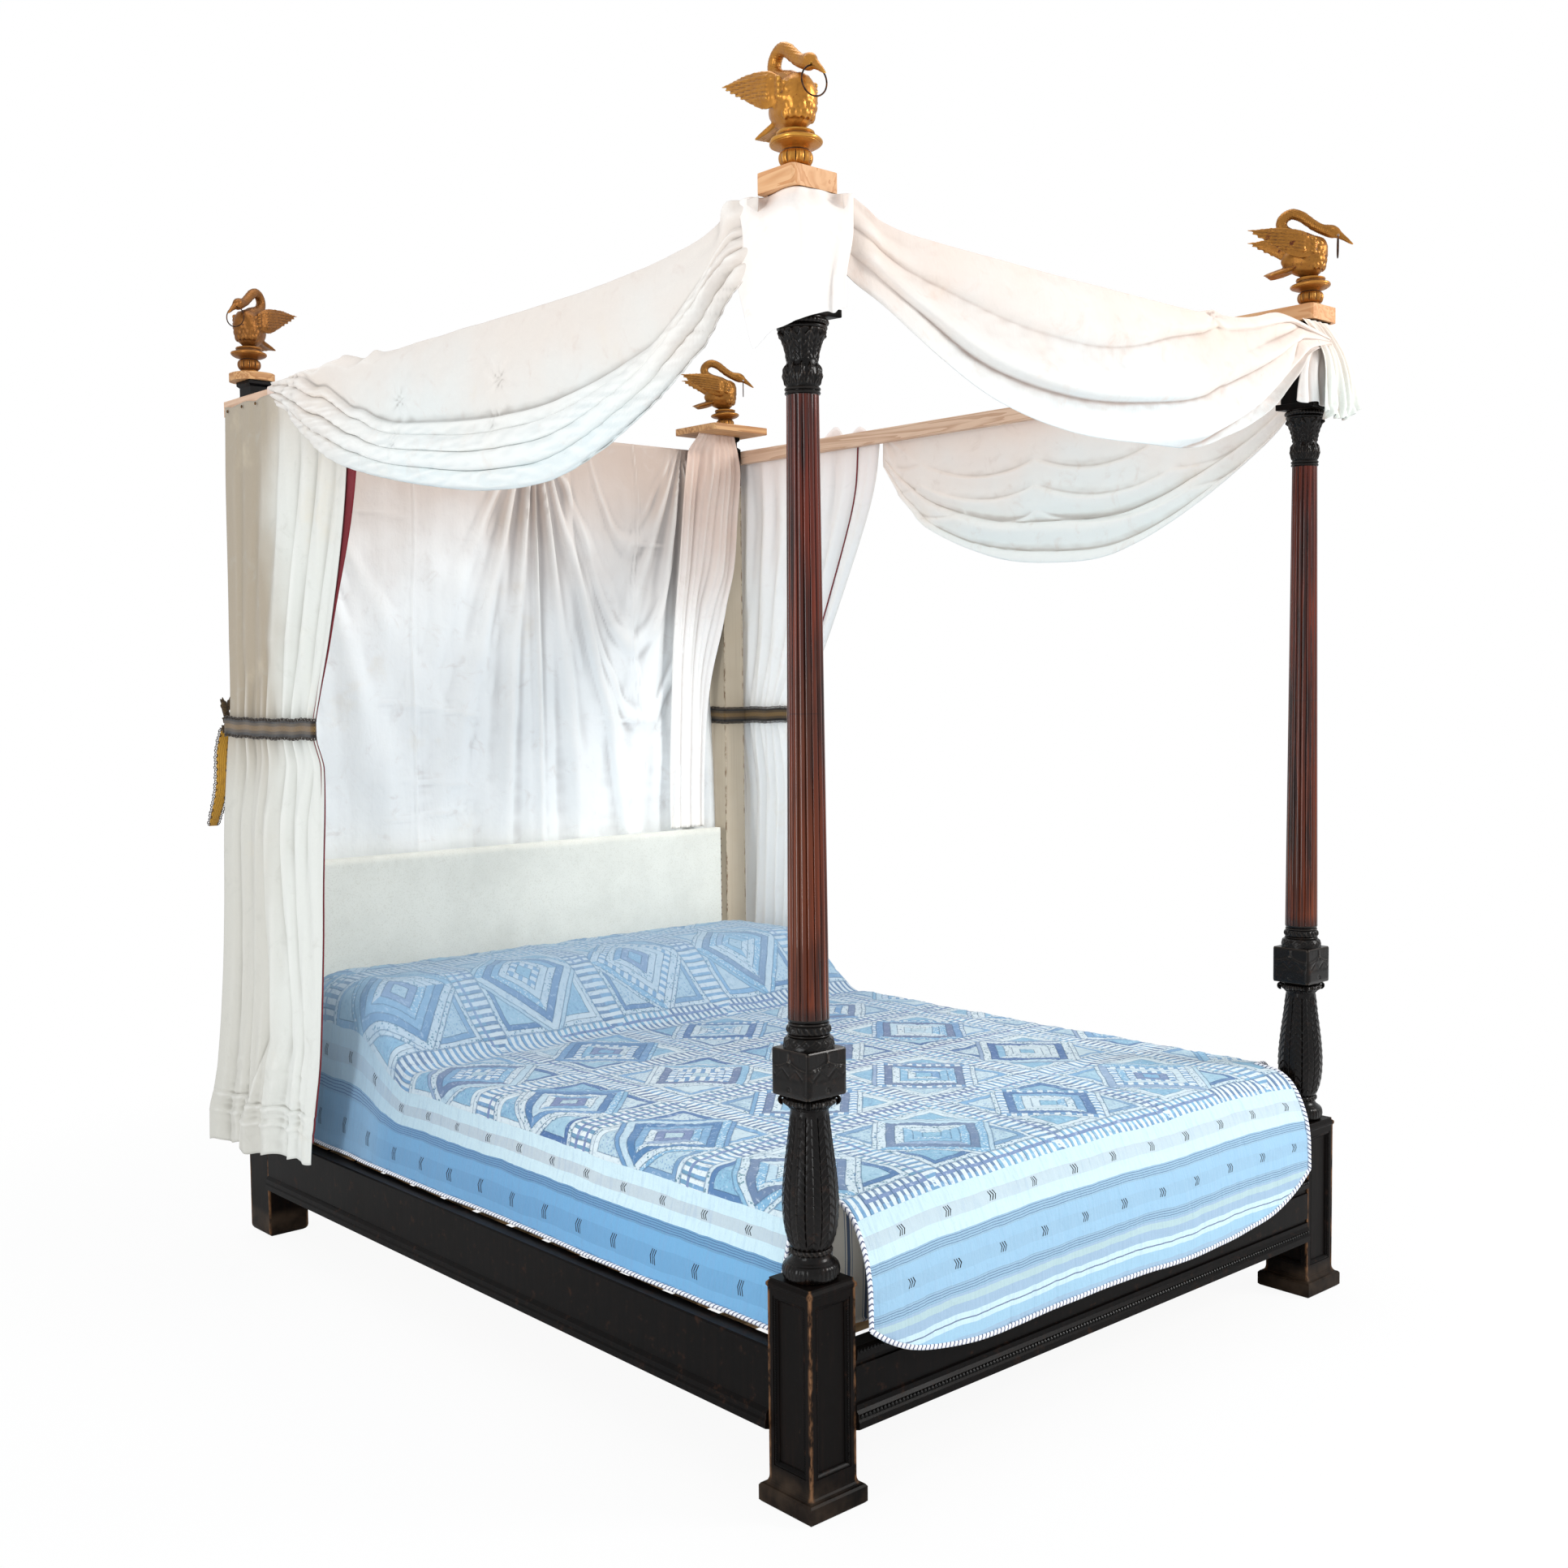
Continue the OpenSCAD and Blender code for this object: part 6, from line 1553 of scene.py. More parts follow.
# Where a curtain's folds run: place across at the top, the tie-back and the hem, half width, three heights.
LEFT_FOLDS = [(0.05, 0.05, 0.05, 0.075, 0.5, 0.5, 0.7), (0.20, 0.18, 0.20, 0.060, 0.35, 0.4, 0.3),
              (0.34, 0.33, 0.36, 0.080, 0.45, 0.5, 0.5), (0.53, 0.46, 0.60, 0.085, 0.9, 1.0, 0.8),
              (0.70, 0.60, 0.80, 0.060, 0.8, 0.9, 0.4), (0.85, 0.75, 0.92, 0.075, 0.9, 0.8, 0.6),
              (0.97, 0.90, 0.98, 0.060, 0.5, 0.8, 0.4)]
RIGHT_FOLDS = [(0.05, 0.06, 0.05, 0.05, 0.7, 0.5, 0.8), (0.16, 0.22, 0.18, 0.06, 0.8, 0.7, 0.9),
               (0.29, 0.38, 0.30, 0.05, 0.7, 0.9, 0.6), (0.42, 0.53, 0.43, 0.055, 0.9, 0.8, 1.0),
               (0.55, 0.66, 0.58, 0.05, 0.7, 0.9, 0.8), (0.70, 0.78, 0.70, 0.05, 0.9, 0.7, 1.0),
               (0.84, 0.89, 0.86, 0.05, 0.7, 0.9, 0.8)]
TIE_Z = 1.364
CURTAIN_BACK = 1.093


def curtain_place(side, front_table, folds, hem, seed):
    """Gathered cloth hung on the outside of the side batten and drawn back to its post."""
    def at(s, t):
        z_top = 2.192 if side < 0 else 2.214
        z = lerp(z_top, hem, t)
        front = along(front_table, z)[0]
        fallen = ease(TIE_Z, hem, z)
        freed = ease(TIE_Z - 0.02, TIE_Z - 0.30, z)
        far_out, near_out, back = along(LEFT_EDGES, z)
        back = back if side < 0 else CURTAIN_BACK + 0.05 * fallen
        y = lerp(back, front, s)
        near = max(0.0, 1 - abs(z - TIE_Z) / 0.22)
        upper, lower = ease(z_top, TIE_Z, z), ease(TIE_Z, hem, z)
        wander = 0.022 * ripple(s * 2, z * 1.3, 0, 1.0, seed)
        raised = 0.0
        for at_top, at_tie, at_hem, half, high_top, high_tie, high_hem in folds:
            if z > TIE_Z:
                centre, high = lerp(at_top, at_tie, upper), lerp(high_top, high_tie, upper)
            else:
                centre, high = lerp(at_tie, at_hem, lower), lerp(high_tie, high_hem, lower)
            raised += high * ridge(s + wander - centre, half * (1.25 - 0.45 * near))
        pinch = ease(0.0, 0.25, z_top - z)
        deep = lerp(0.026, 0.015, near ** 0.7) * lerp(0.30, 1, pinch) * (1 + 0.25 * lower)
        fine = 0.5 - 0.5 * math.cos(TURN * (13 * s + 1.6 * wander * 20 + seed))
        out = CLEAR + deep * (raised + (0.16 if side > 0 else 0.09) * fine) + freed * 0.020 + 0.012 * fallen
        # Short creases spread from under the braid, and the fall below is crinkled.
        out += (0.006 * math.cos(TURN * 11 * s + 2 * wander) * ease(0.20, 0.02, abs(z - TIE_Z))
                * ease(0, 0.1, s))
        out += 0.0045 * ripple(s * 9, z * 9, 0, 1.0, seed + 4) * ease(1.3, 0.5, z)
        out += 0.0030 * ripple(s * 22, z * 5, 0, 1.0, seed + 6)
        if z < hem + 0.25:
            drop = z - hem
            for tuck in (0.087, 0.133):
                out += 0.0065 * (ridge(drop - tuck + 0.005, 0.012) - 0.8 * ridge(drop - tuck - 0.006, 0.006))
            out += 0.0035 * ripple(s * 16, drop * 30, 0, 1.0, seed + 8)
        out += 0.010 * ridge(s - 0.985, 0.03) * ease(1.38, 1.5, z)
        if z > 2.12:
            out = lerp(out, min(out, 0.016), ease(2.12, z_top, z))
        if side < 0:
            # Below, one panel lies over the rest along a crease that runs down towards the back.
            crease = along([(0.25, 0.27), (0.55, 0.44), (0.62, 0.46)], z)[0]
            out += 0.014 * ease(crease - 0.010, crease + 0.025, s) * ease(0.58, 0.50, z) * ease(1.1, 0.5, s)
            out = lerp(out, far_out, ease(0.86, 1.0, s) * 0.85)
            out = lerp(out, near_out, ease(0.16, 0.0, s) * 0.85)
        if side > 0:
            rise = ease(2.16, 2.214, z) * (0.036 * ridge(y - 0.61, 0.055) + 0.024 * ridge(y - 0.50, 0.05)
                                           + 0.016 * ridge(y - 0.70, 0.05) + 0.010 * ridge(y - 0.82, 0.04))
        else:
            rise = 0.006 * ease(2.1, 2.192, z) * abs(math.sin(y * 24))
            rise += ease(0.6, hem, z) * (0.045 * s - 0.016 * ridge(s - 0.42, 0.16) + 0.004 * math.sin(31 * s))
        return beside(side, y, clamp(out, CLEAR * 0.7, 0.0790), z + rise)
    return at


def edge_strip_place(body, side, shows, tucked=0.0):
    """Burgundy lining along a curtain's front edge: shows is (share down, width) rows."""
    def at(s, t):
        share = lerp(0.01, 0.97, t)
        ahead = along(shows, share)[0]
        point, back = body(1.0 - tucked, share), body(0.965 - tucked, share)
        point.y = lerp(back.y if not tucked else point.y + 0.003, point.y - ahead, s)
        point.x -= side * (0.0026 + 0.008 * s * min(1, ahead / 0.02)) if not tucked else side * 0.0036
        return point
    return at


def back_curtain_place(s, t):
    """Broad swoops hang between three bunches, over soft upright folds, with the sheet's old fold lines."""
    x = lerp(-0.752, 0.752, s)
    z = lerp(2.215, 0.907, t)
    inward = 0.0
    # Folds fan out from where the cloth is bunched, and cross in hollows between the bunches.
    for at_x, at_z, count, size, wide in ((-0.70, 2.10, 3.6, 0.9, 0.50), (0.075, 2.30, 5.6, 1.0, 0.40),
                                          (0.66, 2.26, 5.0, 1.0, 0.42)):
        across, down = x - at_x, max(0.02, at_z - z)
        angle = math.atan2(across, down)
        reach = abs(angle) / (wide + 0.10 / (0.25 + down))
        turns = (count * math.copysign(abs(angle) ** 0.8, angle) + 0.5 * at_x
                 + 0.24 * ripple(x, z * 0.35, 0, 0.5, 35))
        fold = (0.5 + 0.5 * math.cos(TURN * turns)) ** 1.6
        inward += 0.027 * size * fold * max(0.0, 1 - reach ** 2) * ease(0.0, 0.25, down)
    dense = ridge(x - 0.075 - 0.05 * (2.0 - z) * (x - 0.07), 0.14 + 0.10 * (2.1 - z))
    upright = (0.5 + 0.5 * math.cos(TURN * (19 * s + 0.35 * ripple(s * 3, t, 0, 1.0, 31)))) ** 1.5
    inward += 0.012 * upright * ease(0.0, 0.13, t) * (0.20 + 0.8 * dense + 0.25 * ridge(x - 0.66, 0.13))
    # One long crease drops from beside the middle bunch and sweeps under to the right.
    inward += (0.010 * ridge(x - along([(0.9, 0.40), (1.3, 0.345), (1.6, 0.275), (1.9, 0.215), (2.1, 0.20)],
                                       z)[0], 0.022))
    for centre, tip_z, wide, gain in ((0.44, 1.90, 0.17, 0.008), (0.44, 1.585, 0.18, 0.009),
                                      (0.47, 1.35, 0.20, 0.008)):
        bow = z - tip_z - 1.9 * (x - centre) ** 2 / wide
        inward += gain * ridge(bow, 0.050) * ease(wide * 1.25, wide * 0.5, abs(x - centre))
    inward += 0.0045 * ripple(x * 1.2 + z * 0.5, 0, z * 1.4, 0.17, 33) * ease(0, 0.1, t)
    # Old press lines: two upright ones that waver, and short level ones.
    inward += (0.0042 * ridge(x + 0.325 + 0.02 * (2.1 - z) + 0.006 * math.sin(9 * z), 0.006)
               * ease(2.2, 2.0, z))
    inward += 0.0042 * ridge(x - 0.455 + 0.018 * math.sin(8.5 * z), 0.006)
    for level, x0, x1, slope in ((1.955, -0.54, -0.32, -0.05), (1.43, -0.49, -0.08, -0.15),
                                 (1.36, 0.28, 0.57, -0.06), (1.905, 0.42, 0.60, -0.03),
                                 (1.08, -0.5, -0.15, 0.08), (1.20, -0.42, -0.12, -0.10)):
        if x0 < x < x1:
            inward += (0.0034 * ridge(z - level - slope * (x - x0), 0.009) * ease(x0, x0 + 0.06, x)
                       * ease(x1, x1 - 0.06, x))
    inward += 0.0012 * ripple(x * 0.8, 0, z * 2.4, 0.06, 37) * ease(1.5, 1.1, z)
    return Vector((x, 1.0925 - clamp(inward, 0.0, 0.046 - 0.012 * ease(0.48, 0.60, x) * ease(1.6, 1.3, z)),
                   z))


def corner_path(post, side, run, out):
    """A point carried round the outer corner of a foot post's block: run is the distance round it."""
    reach, bend = 0.0405 + out, 0.016
    quarter = bend * math.pi / 4
    if run < -quarter:
        offset = Vector((side * reach, -(reach - bend) - run - quarter, 0))
    elif run > quarter:
        offset = Vector((side * (reach - bend - run + quarter), -reach, 0))
    else:
        a = (run + quarter) / (2 * quarter) * math.pi / 2
        offset = Vector((side * (reach - bend + bend * math.cos(a)), -(reach - bend) - bend * math.sin(a), 0))
    return Vector((post.x, post.y, 0)) + offset


def left_tail_place(s, t):
    """Cloth turned over the left corner block: a smooth front, and one flap pointing down at the side."""
    u = lerp(-1.0, 1.0, s)
    top = along([(-1.0, 2.286), (-0.7, 2.2925), (0.7, 2.2925), (1.0, 2.290)], u)[0]
    low = along([(-1.0, 2.150), (-0.86, 2.085), (-0.74, 2.032), (-0.64, 2.034), (-0.45, 2.052),
                 (-0.20, 2.058), (0.0, 2.064), (0.35, 2.076), (0.6, 2.084), (0.74, 2.082), (0.86, 2.090),
                 (1.0, 2.094)], u)[0]
    z = lerp(top, low, t)
    clear = lerp(lerp(0.004, 0.031, ease(0.5, 0.95, abs(u))), 0.0385, ease(2.292, 2.240, z))
    out = clear + 0.004 * math.sin(math.pi * t) + 0.0035 * ripple(u * 2, 0, z * 9, 1.0, 41)
    out += 0.0050 * (0.5 - 0.5 * math.cos(TURN * 2.4 * s)) * ease(0.2, 0.7, t)
    out += (0.007 * ridge(u - 0.80, 0.13) * ease(0.2, 0.9, t)
            + 0.005 * ridge(u + 0.72, 0.2) * ease(0.3, 1.0, t))
    out += 0.004 * math.cos(10 * u + 2) * ease(0.35, 0.0, t)
    half = 0.155 - 0.018 * math.sin(math.pi * t) if u < 0 else 0.124 - 0.018 * ease(0.3, 0.8, t)
    return corner_path(FOOT["foot_left"], -1, u * half, out) + Vector((0, 0, z))


# The ruffled end's two borders and its far side: share down, then the place.
JABOT_LEFT = [(0.0, 0.672, -1.1275, 2.272), (0.15, 0.712, -1.131, 2.246), (0.35, 0.730, -1.148, 2.19),
              (0.7, 0.727, -1.152, 2.11), (1.0, 0.724, -1.152, 2.060)]
JABOT_RIGHT = [(0.0, 0.838, -1.104, 2.281), (0.15, 0.858, -1.112, 2.252), (0.35, 0.884, -1.124, 2.208),
               (0.7, 0.902, -1.137, 2.14), (1.0, 0.904, -1.136, 2.098)]
JABOT_FAR = [(0.0, 0.852, -1.055, 2.279), (0.3, 0.872, -1.050, 2.235), (1.0, 0.890, -1.048, 2.105)]


def right_tail_place(s, t):
    """Ruffled end gathered under the board and falling in organ-pipe folds that spread outwards."""
    left, right, far = (Vector(along(rows, t)) for rows in (JABOT_LEFT, JABOT_RIGHT, JABOT_FAR))
    if s < 0.72:
        share = s / 0.72
        point = left.lerp(right, share)
        point += Vector((0.35, -0.94, 0)) * 0.012 * math.sin(math.pi * share) * t
        point.z -= 0.020 * math.sin(math.pi * share ** 1.1) * t ** 2
    else:
        point = right.lerp(far, (s - 0.72) / 0.28)
    outward = Vector((lerp(0.25, 1.0, ease(0.45, 0.85, s)), lerp(-0.97, 0.0, ease(0.45, 0.85, s)),
                      0)).normalized()
    pipes = math.cos(TURN * (7.2 * s + 0.10 * math.sin(5 * t)))
    fine = math.cos(TURN * (17 * s + 0.25))
    ruffle = math.sin(TURN * 9.5 * s + 0.8 * math.sin(9 * s))
    size = lerp(0.0035, 0.0095, t ** 0.8) * math.sin(math.pi * clamp(s * 1.04, 0.02, 0.98)) ** 0.4
    point += outward * (size * (pipes + 0.3 * fine) + 0.007 * ruffle * ease(0.84, 1.0, t))
    point.z += (0.005 * pipes + 0.004 * ruffle) * ease(0.80, 1.0, t)
    return point


def front_flap_place(s, t):
    """Flat pleated end hanging inside the ruffle, before the batten."""
    left = along([(0.0, 0.700), (0.4, 0.668), (1.0, 0.650)], t)[0]
    x = lerp(left, 0.772, s)
    low = 2.086 - 0.004 * math.sin(TURN * 1.3 * s)
    z = lerp(2.222, low, t)
    fold = 0.5 - 0.5 * math.cos(TURN * (2.6 * s + 0.15 * math.sin(4 * t)))
    out = 0.0045 + 0.009 * fold * ease(0.0, 0.4, t) + 0.002 * ripple(x * 20, 0, z * 9, 1.0, 45)
    return afore(x, out, z)


DRAPE_EDGES = [(1.0, 0.560, 0.694), (1.2, 0.562, 0.698), (1.48, 0.575, 0.712), (1.70, 0.590, 0.755),
               (1.835, 0.604, 0.794), (2.0, 0.622, 0.812), (2.15, 0.640, 0.826), (2.262, 0.662, 0.808)]


def drape_place(s, t):
    """Loose end thrown over the right head board; it hangs in pleats behind the headboard."""
    z = lerp(2.262, 1.0, t)
    inner, outer = along(DRAPE_EDGES, z)
    x = lerp(inner, outer, s) + 0.004 * ripple(s, 0, z * 3, 1.0, 46)
    fold = 0.5 - 0.5 * math.cos(TURN * (3.3 * s + 0.10 * math.sin(4 * t)))
    fine = 0.5 - 0.5 * math.cos(TURN * (9.3 * s + 0.3 + 0.1 * math.sin(7 * t)))
    out = ((0.62 * fold ** 0.8 + 0.38 * fine) * 0.015 * ease(-0.05, 0.12, t)
           + 0.002 * ripple(x * 12, 0, z * 5, 1.0, 47))
    front = lerp(POST_Y - 0.0438, 1.0565, ease(1.52, 1.22, z))
    beside_post = lerp(front, 1.0600, ease(POST_X - 0.045, POST_X - 0.125, x) * ease(2.262, 2.20, z))
    return Vector((x, beside_post - clamp(out, 0, 0.0155 + 0.01 * ease(1.22, 1.52, z)), z))


def wrap_place(y_from, y_to, side, out_low, seed):
    """A scrap of cloth folded over a side batten."""
    inner = 0.003

    def at(s, t):
        y = lerp(y_from, y_to, s)
        ripples = 0.0024 * ripple(y * 30, 0, t * 2, 1.0, seed) + 0.0012 * math.sin(y * 190)
        rise = 0.0025 + abs(ripples) + 0.004 * ridge(s - 0.2, 0.2)
        path = [(0.0, -0.025 - inner, 2.196), (0.25, -0.025 - inner, BATTEN_TOP + rise),
                (0.62, inner, BATTEN_TOP + rise), (1.0, inner + 0.0006, out_low + 0.004 * math.sin(y * 60))]
        out, z = along(path, t)
        return beside(side, y, clamp(out, -0.025 - inner - 0.001, inner + 0.002),
                      min(z, BATTEN_TOP + rise + 0.0005))
    return at


cloth("left_swag_cloth", 240, 120, left_swag_place, (1.84, 0.52), SWAG_COTTON,
      ["left_swag"], back=INNER_COTTON)
cloth("right_swag_cloth", 210, 120, right_swag_place, (1.50, 0.58), SWAG_COTTON,
      ["right_swag"], back=FAR_COTTON)
cloth("foot_swag_cloth", 240, 120, foot_swag_place, (1.62, 0.48), FOOT_COTTON,
      ["foot_swag"], back=INNER_COTTON)
left_body = curtain_place(-1, LEFT_FRONT, LEFT_FOLDS, 0.248, 1.3)
right_body = curtain_place(1, RIGHT_FRONT, RIGHT_FOLDS, 0.235, 5.7)
left_strip = cloth("left_curtain_lining_edge", 8, 300,
                   edge_strip_place(left_body, -1, [(0.0, 0.030), (0.10, 0.030), (0.19, 0.018), (0.27, 0.006),
                                                    (0.33, 0.0030), (0.39, 0.0005), (0.48, 0.0005),
                                                    (0.56, 0.0016), (1.0, 0.0024)]),
                   (0.06, 1.98), BURGUNDY)
right_strip = cloth("right_curtain_lining_edge", 3, 240,
                    edge_strip_place(right_body, 1, [(0.0, 0.002), (1.0, 0.002)], 0.13), (0.02, 1.98),
                    BURGUNDY, turned_over=True)
cloth("left_curtain_cloth", 160, 240, left_body, (0.98, 2.06), OUTER_COTTON,
      ["left_curtain"], back=INNER_COTTON)
cloth("right_curtain_cloth", 140, 220, right_body, (0.98, 2.06), OUTER_COTTON,
      ["right_curtain"], back=RIGHT_COTTON, turned_over=True)
cloth("back_curtain_cloth", 260, 130, back_curtain_place, (1.92, 1.34), BACK_COTTON,
      ["back_curtain"], back=BACK_COTTON)
cloth("foot_left_corner_cloth", 80, 90, left_tail_place, (0.22, 0.27), CORNER_COTTON,
      ["foot_left_tail"], back=INNER_COTTON)
cloth("foot_right_jabot", 170, 80, right_tail_place, (0.34, 0.25), TAIL_COTTON,
      ["foot_right_tail"], back=TAIL_COTTON)
cloth("foot_right_flap", 50, 50, front_flap_place, (0.09, 0.14), FOOT_COTTON,
      back=INNER_COTTON)
cloth("head_right_drape_cloth", 90, 150, drape_place, (0.22, 1.30), DRAPE_COTTON,
      ["head_right_drape"], back=DRAPE_COTTON)
cloth("left_batten_wrap", 60, 40, wrap_place(0.850, 0.690, -1, 2.186, 51), (0.16, 0.085), DRAPE_COTTON)


# ---------------------------------------------------------------- quilt

QUILT_THICK = 0.0065
QUILT_DROP_SIDE, QUILT_DROP_FOOT = 0.262, 0.392
# The corners cut away start this far from the middle.
QUILT_CUT_X = 0.722
QUILT_SIDE = [(0.0, 0.0, 0.0), (0.034, 0.034, -0.003), (0.056, 0.048, -0.018), (0.112, 0.058, -0.072),
              (0.205, 0.078, -0.162), (QUILT_DROP_SIDE, 0.0925, -0.247)]
QUILT_FOOT = [(0.0, 0.0, 0.0), (0.034, 0.034, -0.003), (0.074, 0.072, -0.014), (0.121, 0.104, -0.048),
              (0.197, 0.132, -0.118), (0.280, 0.146, -0.200), (QUILT_DROP_FOOT, 0.149, -0.318)]
EDGE_X, FOOT_Y, HEAD_Y = MATTRESS_X - 0.026, -MATTRESS_Y + 0.018, MATTRESS_Y - 0.004
PILLOW_LOW, PILLOW_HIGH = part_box("pillows")
PILLOW_X = PILLOW_HIGH.x - 0.345
PILLOW_D = PILLOW_HIGH.y - PILLOW_LOW.y
PILLOW_Y = (PILLOW_HIGH.y + PILLOW_LOW.y) / 2
PILLOW_RISE = PILLOW_HIGH.z - PILLOW_LOW.z - 0.004


def quilt_lie(x, y):
    """Height of the quilt over the bed and over the two pillows, with hollows where it is tufted by wear."""
    over = max(1 - ease(0.76, 1.16, abs(x - side * PILLOW_X) / 0.403) for side in (-1, 1))
    front = PILLOW_Y - PILLOW_D / 2
    lump = (ease(front - 0.17, front + 0.10, y) * (1 - 0.25
                                                   * ease(PILLOW_Y + PILLOW_D / 4, PILLOW_Y + PILLOW_D / 2,
                                                          y)))
    rise = PILLOW_RISE * lump * (0.84 + 0.16 * over)
    soft = 0.0045 * ripple(x, y, 0, 0.34, 61) + 0.0030 * ripple(x, y, 0, 0.12, 62)
    tuck = -0.006 * ridge(y - front + 0.155 + 0.02 * math.sin(5 * x), 0.05)
    return MATTRESS_TOP + 0.003 + QUILT_THICK + 0.006 + rise + soft + tuck


def quilt_spot(u, v):
    """Where the point u across and v along the flat quilt lies; v runs from the head down to the foot."""
    over_x, over_y = abs(u) - EDGE_X, FOOT_Y - v
    side = 1 if u > 0 else -1
    x, y = clamp(u, -EDGE_X, EDGE_X), clamp(v, FOOT_Y, HEAD_Y)
    z = quilt_lie(x, y)
    if over_x > 0:
        out, down = along(QUILT_SIDE, over_x)
        share = clamp(over_x / QUILT_DROP_SIDE)
        down = lerp(down, down - (z - (MATTRESS_TOP + 0.0155)), share)
        wave = (0.007 * share * (0.5 + 0.5 * math.sin(7.3 * y + side))
                + 0.0035 * share * ripple(y, side, 0, 0.11, 63))
        x += side * (out + clamp(wave, 0, 0.011 * share))
        z += down
    if over_y > 0:
        corner = (abs(x) / EDGE_X) ** 6 if over_x <= 0 else 1
        full = QUILT_DROP_FOOT - 0.094 * corner
        out, down = along(QUILT_FOOT, over_y / full * QUILT_DROP_FOOT)
        shrink = lerp(1, 0.70, corner)
        share = clamp(over_y / full)
        wave = 0.004 * share * (1 - math.cos(9 * x + 1)) + 0.003 * share * ripple(x, 2, 0, 0.12, 64)
        y -= out + clamp(wave, 0, 0.009 * share)
        z += down * shrink
    return Vector((x, y, z))


def quilted(bm):
    """Raises the patches between their seams and crinkles the borders, along each point's normal."""
    uv = bm.loops.layers.uv.active
    bm.normal_update()
    moved = []
    for v in bm.verts:
        u, w = v.link_loops[0][uv].uv
        block = 0.3735
        x = (((u + 0.675) / block + 0.5) % 1 - 0.5) * block
        y = (((w + 0.885) / block + 0.5) % 1 - 0.5) * block
        point, square = abs(x) + abs(y), max(abs(x), abs(y))
        border = max(abs(u) - 0.812, -w - 1.082)
        if border > 0:
            run = u if -w - 1.082 > abs(u) - 0.812 else w
            puff = (0.0022 * ripple(run * 1.6, border * 0.2, 0, 0.016, 65)
                    - 0.0016 * ridge((border % 0.041) - 0.0205, 0.005))
        elif square > 0.151:
            puff = 0.0016 * rope(square / 0.0117) + 0.0012 * ripple(u, w, 0, 0.013, 66)
        elif point > 0.172:
            puff = 0.0020 * rope(square / 0.0139) + 0.0014 * ripple(u, w, 0, 0.02, 67)
        else:
            puff = 0.0022 * rope(point / 0.0262) + 0.0014 * ripple(u, w, 0, 0.018, 68)
        puff += 0.0026 * ripple(u, w, 0, 0.045, 69)
        moved.append((v, v.normal * (puff - 0.0012)))
    for v, shift in moved:
        v.co += shift


def quilt_sheet():
    """One cloth with its two lower corners cut away for the posts."""
    wide, foot, head = EDGE_X + QUILT_DROP_SIDE, FOOT_Y - QUILT_DROP_FOOT, HEAD_Y
    bm = bmesh.new()
    uv = bm.loops.layers.uv.new("flat")
    bmesh.ops.create_grid(bm, x_segments=222, y_segments=228, size=0.5, calc_uvs=True)
    for face in bm.faces:
        for corner in face.loops:
            corner[uv].uv = ((corner[uv].uv.x - 0.5) * 2 * wide, lerp(foot, head, corner[uv].uv.y))
    spare = [v for v in bm.verts
             if abs(v.co.x * 2 * wide) > QUILT_CUT_X and lerp(foot, head, v.co.y + 0.5) < FOOT_Y - 0.002]
    bmesh.ops.delete(bm, geom=spare, context="VERTS")
    for v in bm.verts:
        v.co = quilt_spot(v.co.x * 2 * wide, lerp(foot, head, v.co.y + 0.5))
    quilted(bm)
    made = piece("patchwork_quilt", bm, [QUILT, INNER_COTTON], stands_for=["quilt"],
                 angle=80)
    shell = made.modifiers.new("thickness", "SOLIDIFY")
    shell.thickness, shell.offset, shell.material_offset = 0.005, -1, 1
    corners = 2 * (wide - QUILT_CUT_X) * (FOOT_Y - foot)
    return made, (2 * wide, head - foot), 2 * wide * (head - foot) - corners


def tube(points, radius, around):
    """A closed-ended round cord along points; its run and turn are stored for a twisted pattern."""
    bm = bmesh.new()
    run_mark, round_mark = bm.verts.layers.float.new("run"), bm.verts.layers.float.new("round")
    rings, length, side = [], 0.0, None
    for k, point in enumerate(points):
        before, after = points[max(0, k - 1)], points[min(len(points) - 1, k + 1)]
        ahead = (after - before).normalized()
        if k:
            length += (point - points[k - 1]).length
        side = (side - ahead * side.dot(ahead)).normalized() if side else ahead.orthogonal().normalized()
        up = ahead.cross(side)
        ring = []
        for n in range(around):
            angle = TURN * n / around
            v = bm.verts.new(point + (side * math.cos(angle) + up * math.sin(angle)) * radius)
            v[run_mark], v[round_mark] = length, abs(2 * n / around - 1)
            ring.append(v)
        rings.append(ring)
    skin(bm, rings)
    return bm


def quilt_rim():
    """The binding cord, down one side, round the foot and up the other side."""
    wide, foot = EDGE_X + 0.260, FOOT_Y - 0.390
    stops = [(-wide, HEAD_Y), (-wide, FOOT_Y), (-QUILT_CUT_X, FOOT_Y - 0.004), (-QUILT_CUT_X, foot + 0.03),
             (-0.69, foot), (0.69, foot), (QUILT_CUT_X, foot + 0.03), (QUILT_CUT_X, FOOT_Y - 0.004),
             (wide, FOOT_Y), (wide, HEAD_Y)]
    points = []
    for (u0, v0), (u1, v1) in zip(stops, stops[1:]):
        n = max(2, round(math.hypot(u1 - u0, v1 - v0) / 0.008))
        points += [quilt_spot(lerp(u0, u1, k / n), lerp(v0, v1, k / n)) for k in range(n)]
    points.append(quilt_spot(wide, HEAD_Y))
    return piece("quilt_binding_cord", tube(points, 0.0048, 8), BINDING, angle=80)


rim = quilt_rim()
quilt, quilt_flat, quilt_area = quilt_sheet()


# ---------------------------------------------------------------- bedding and headboard

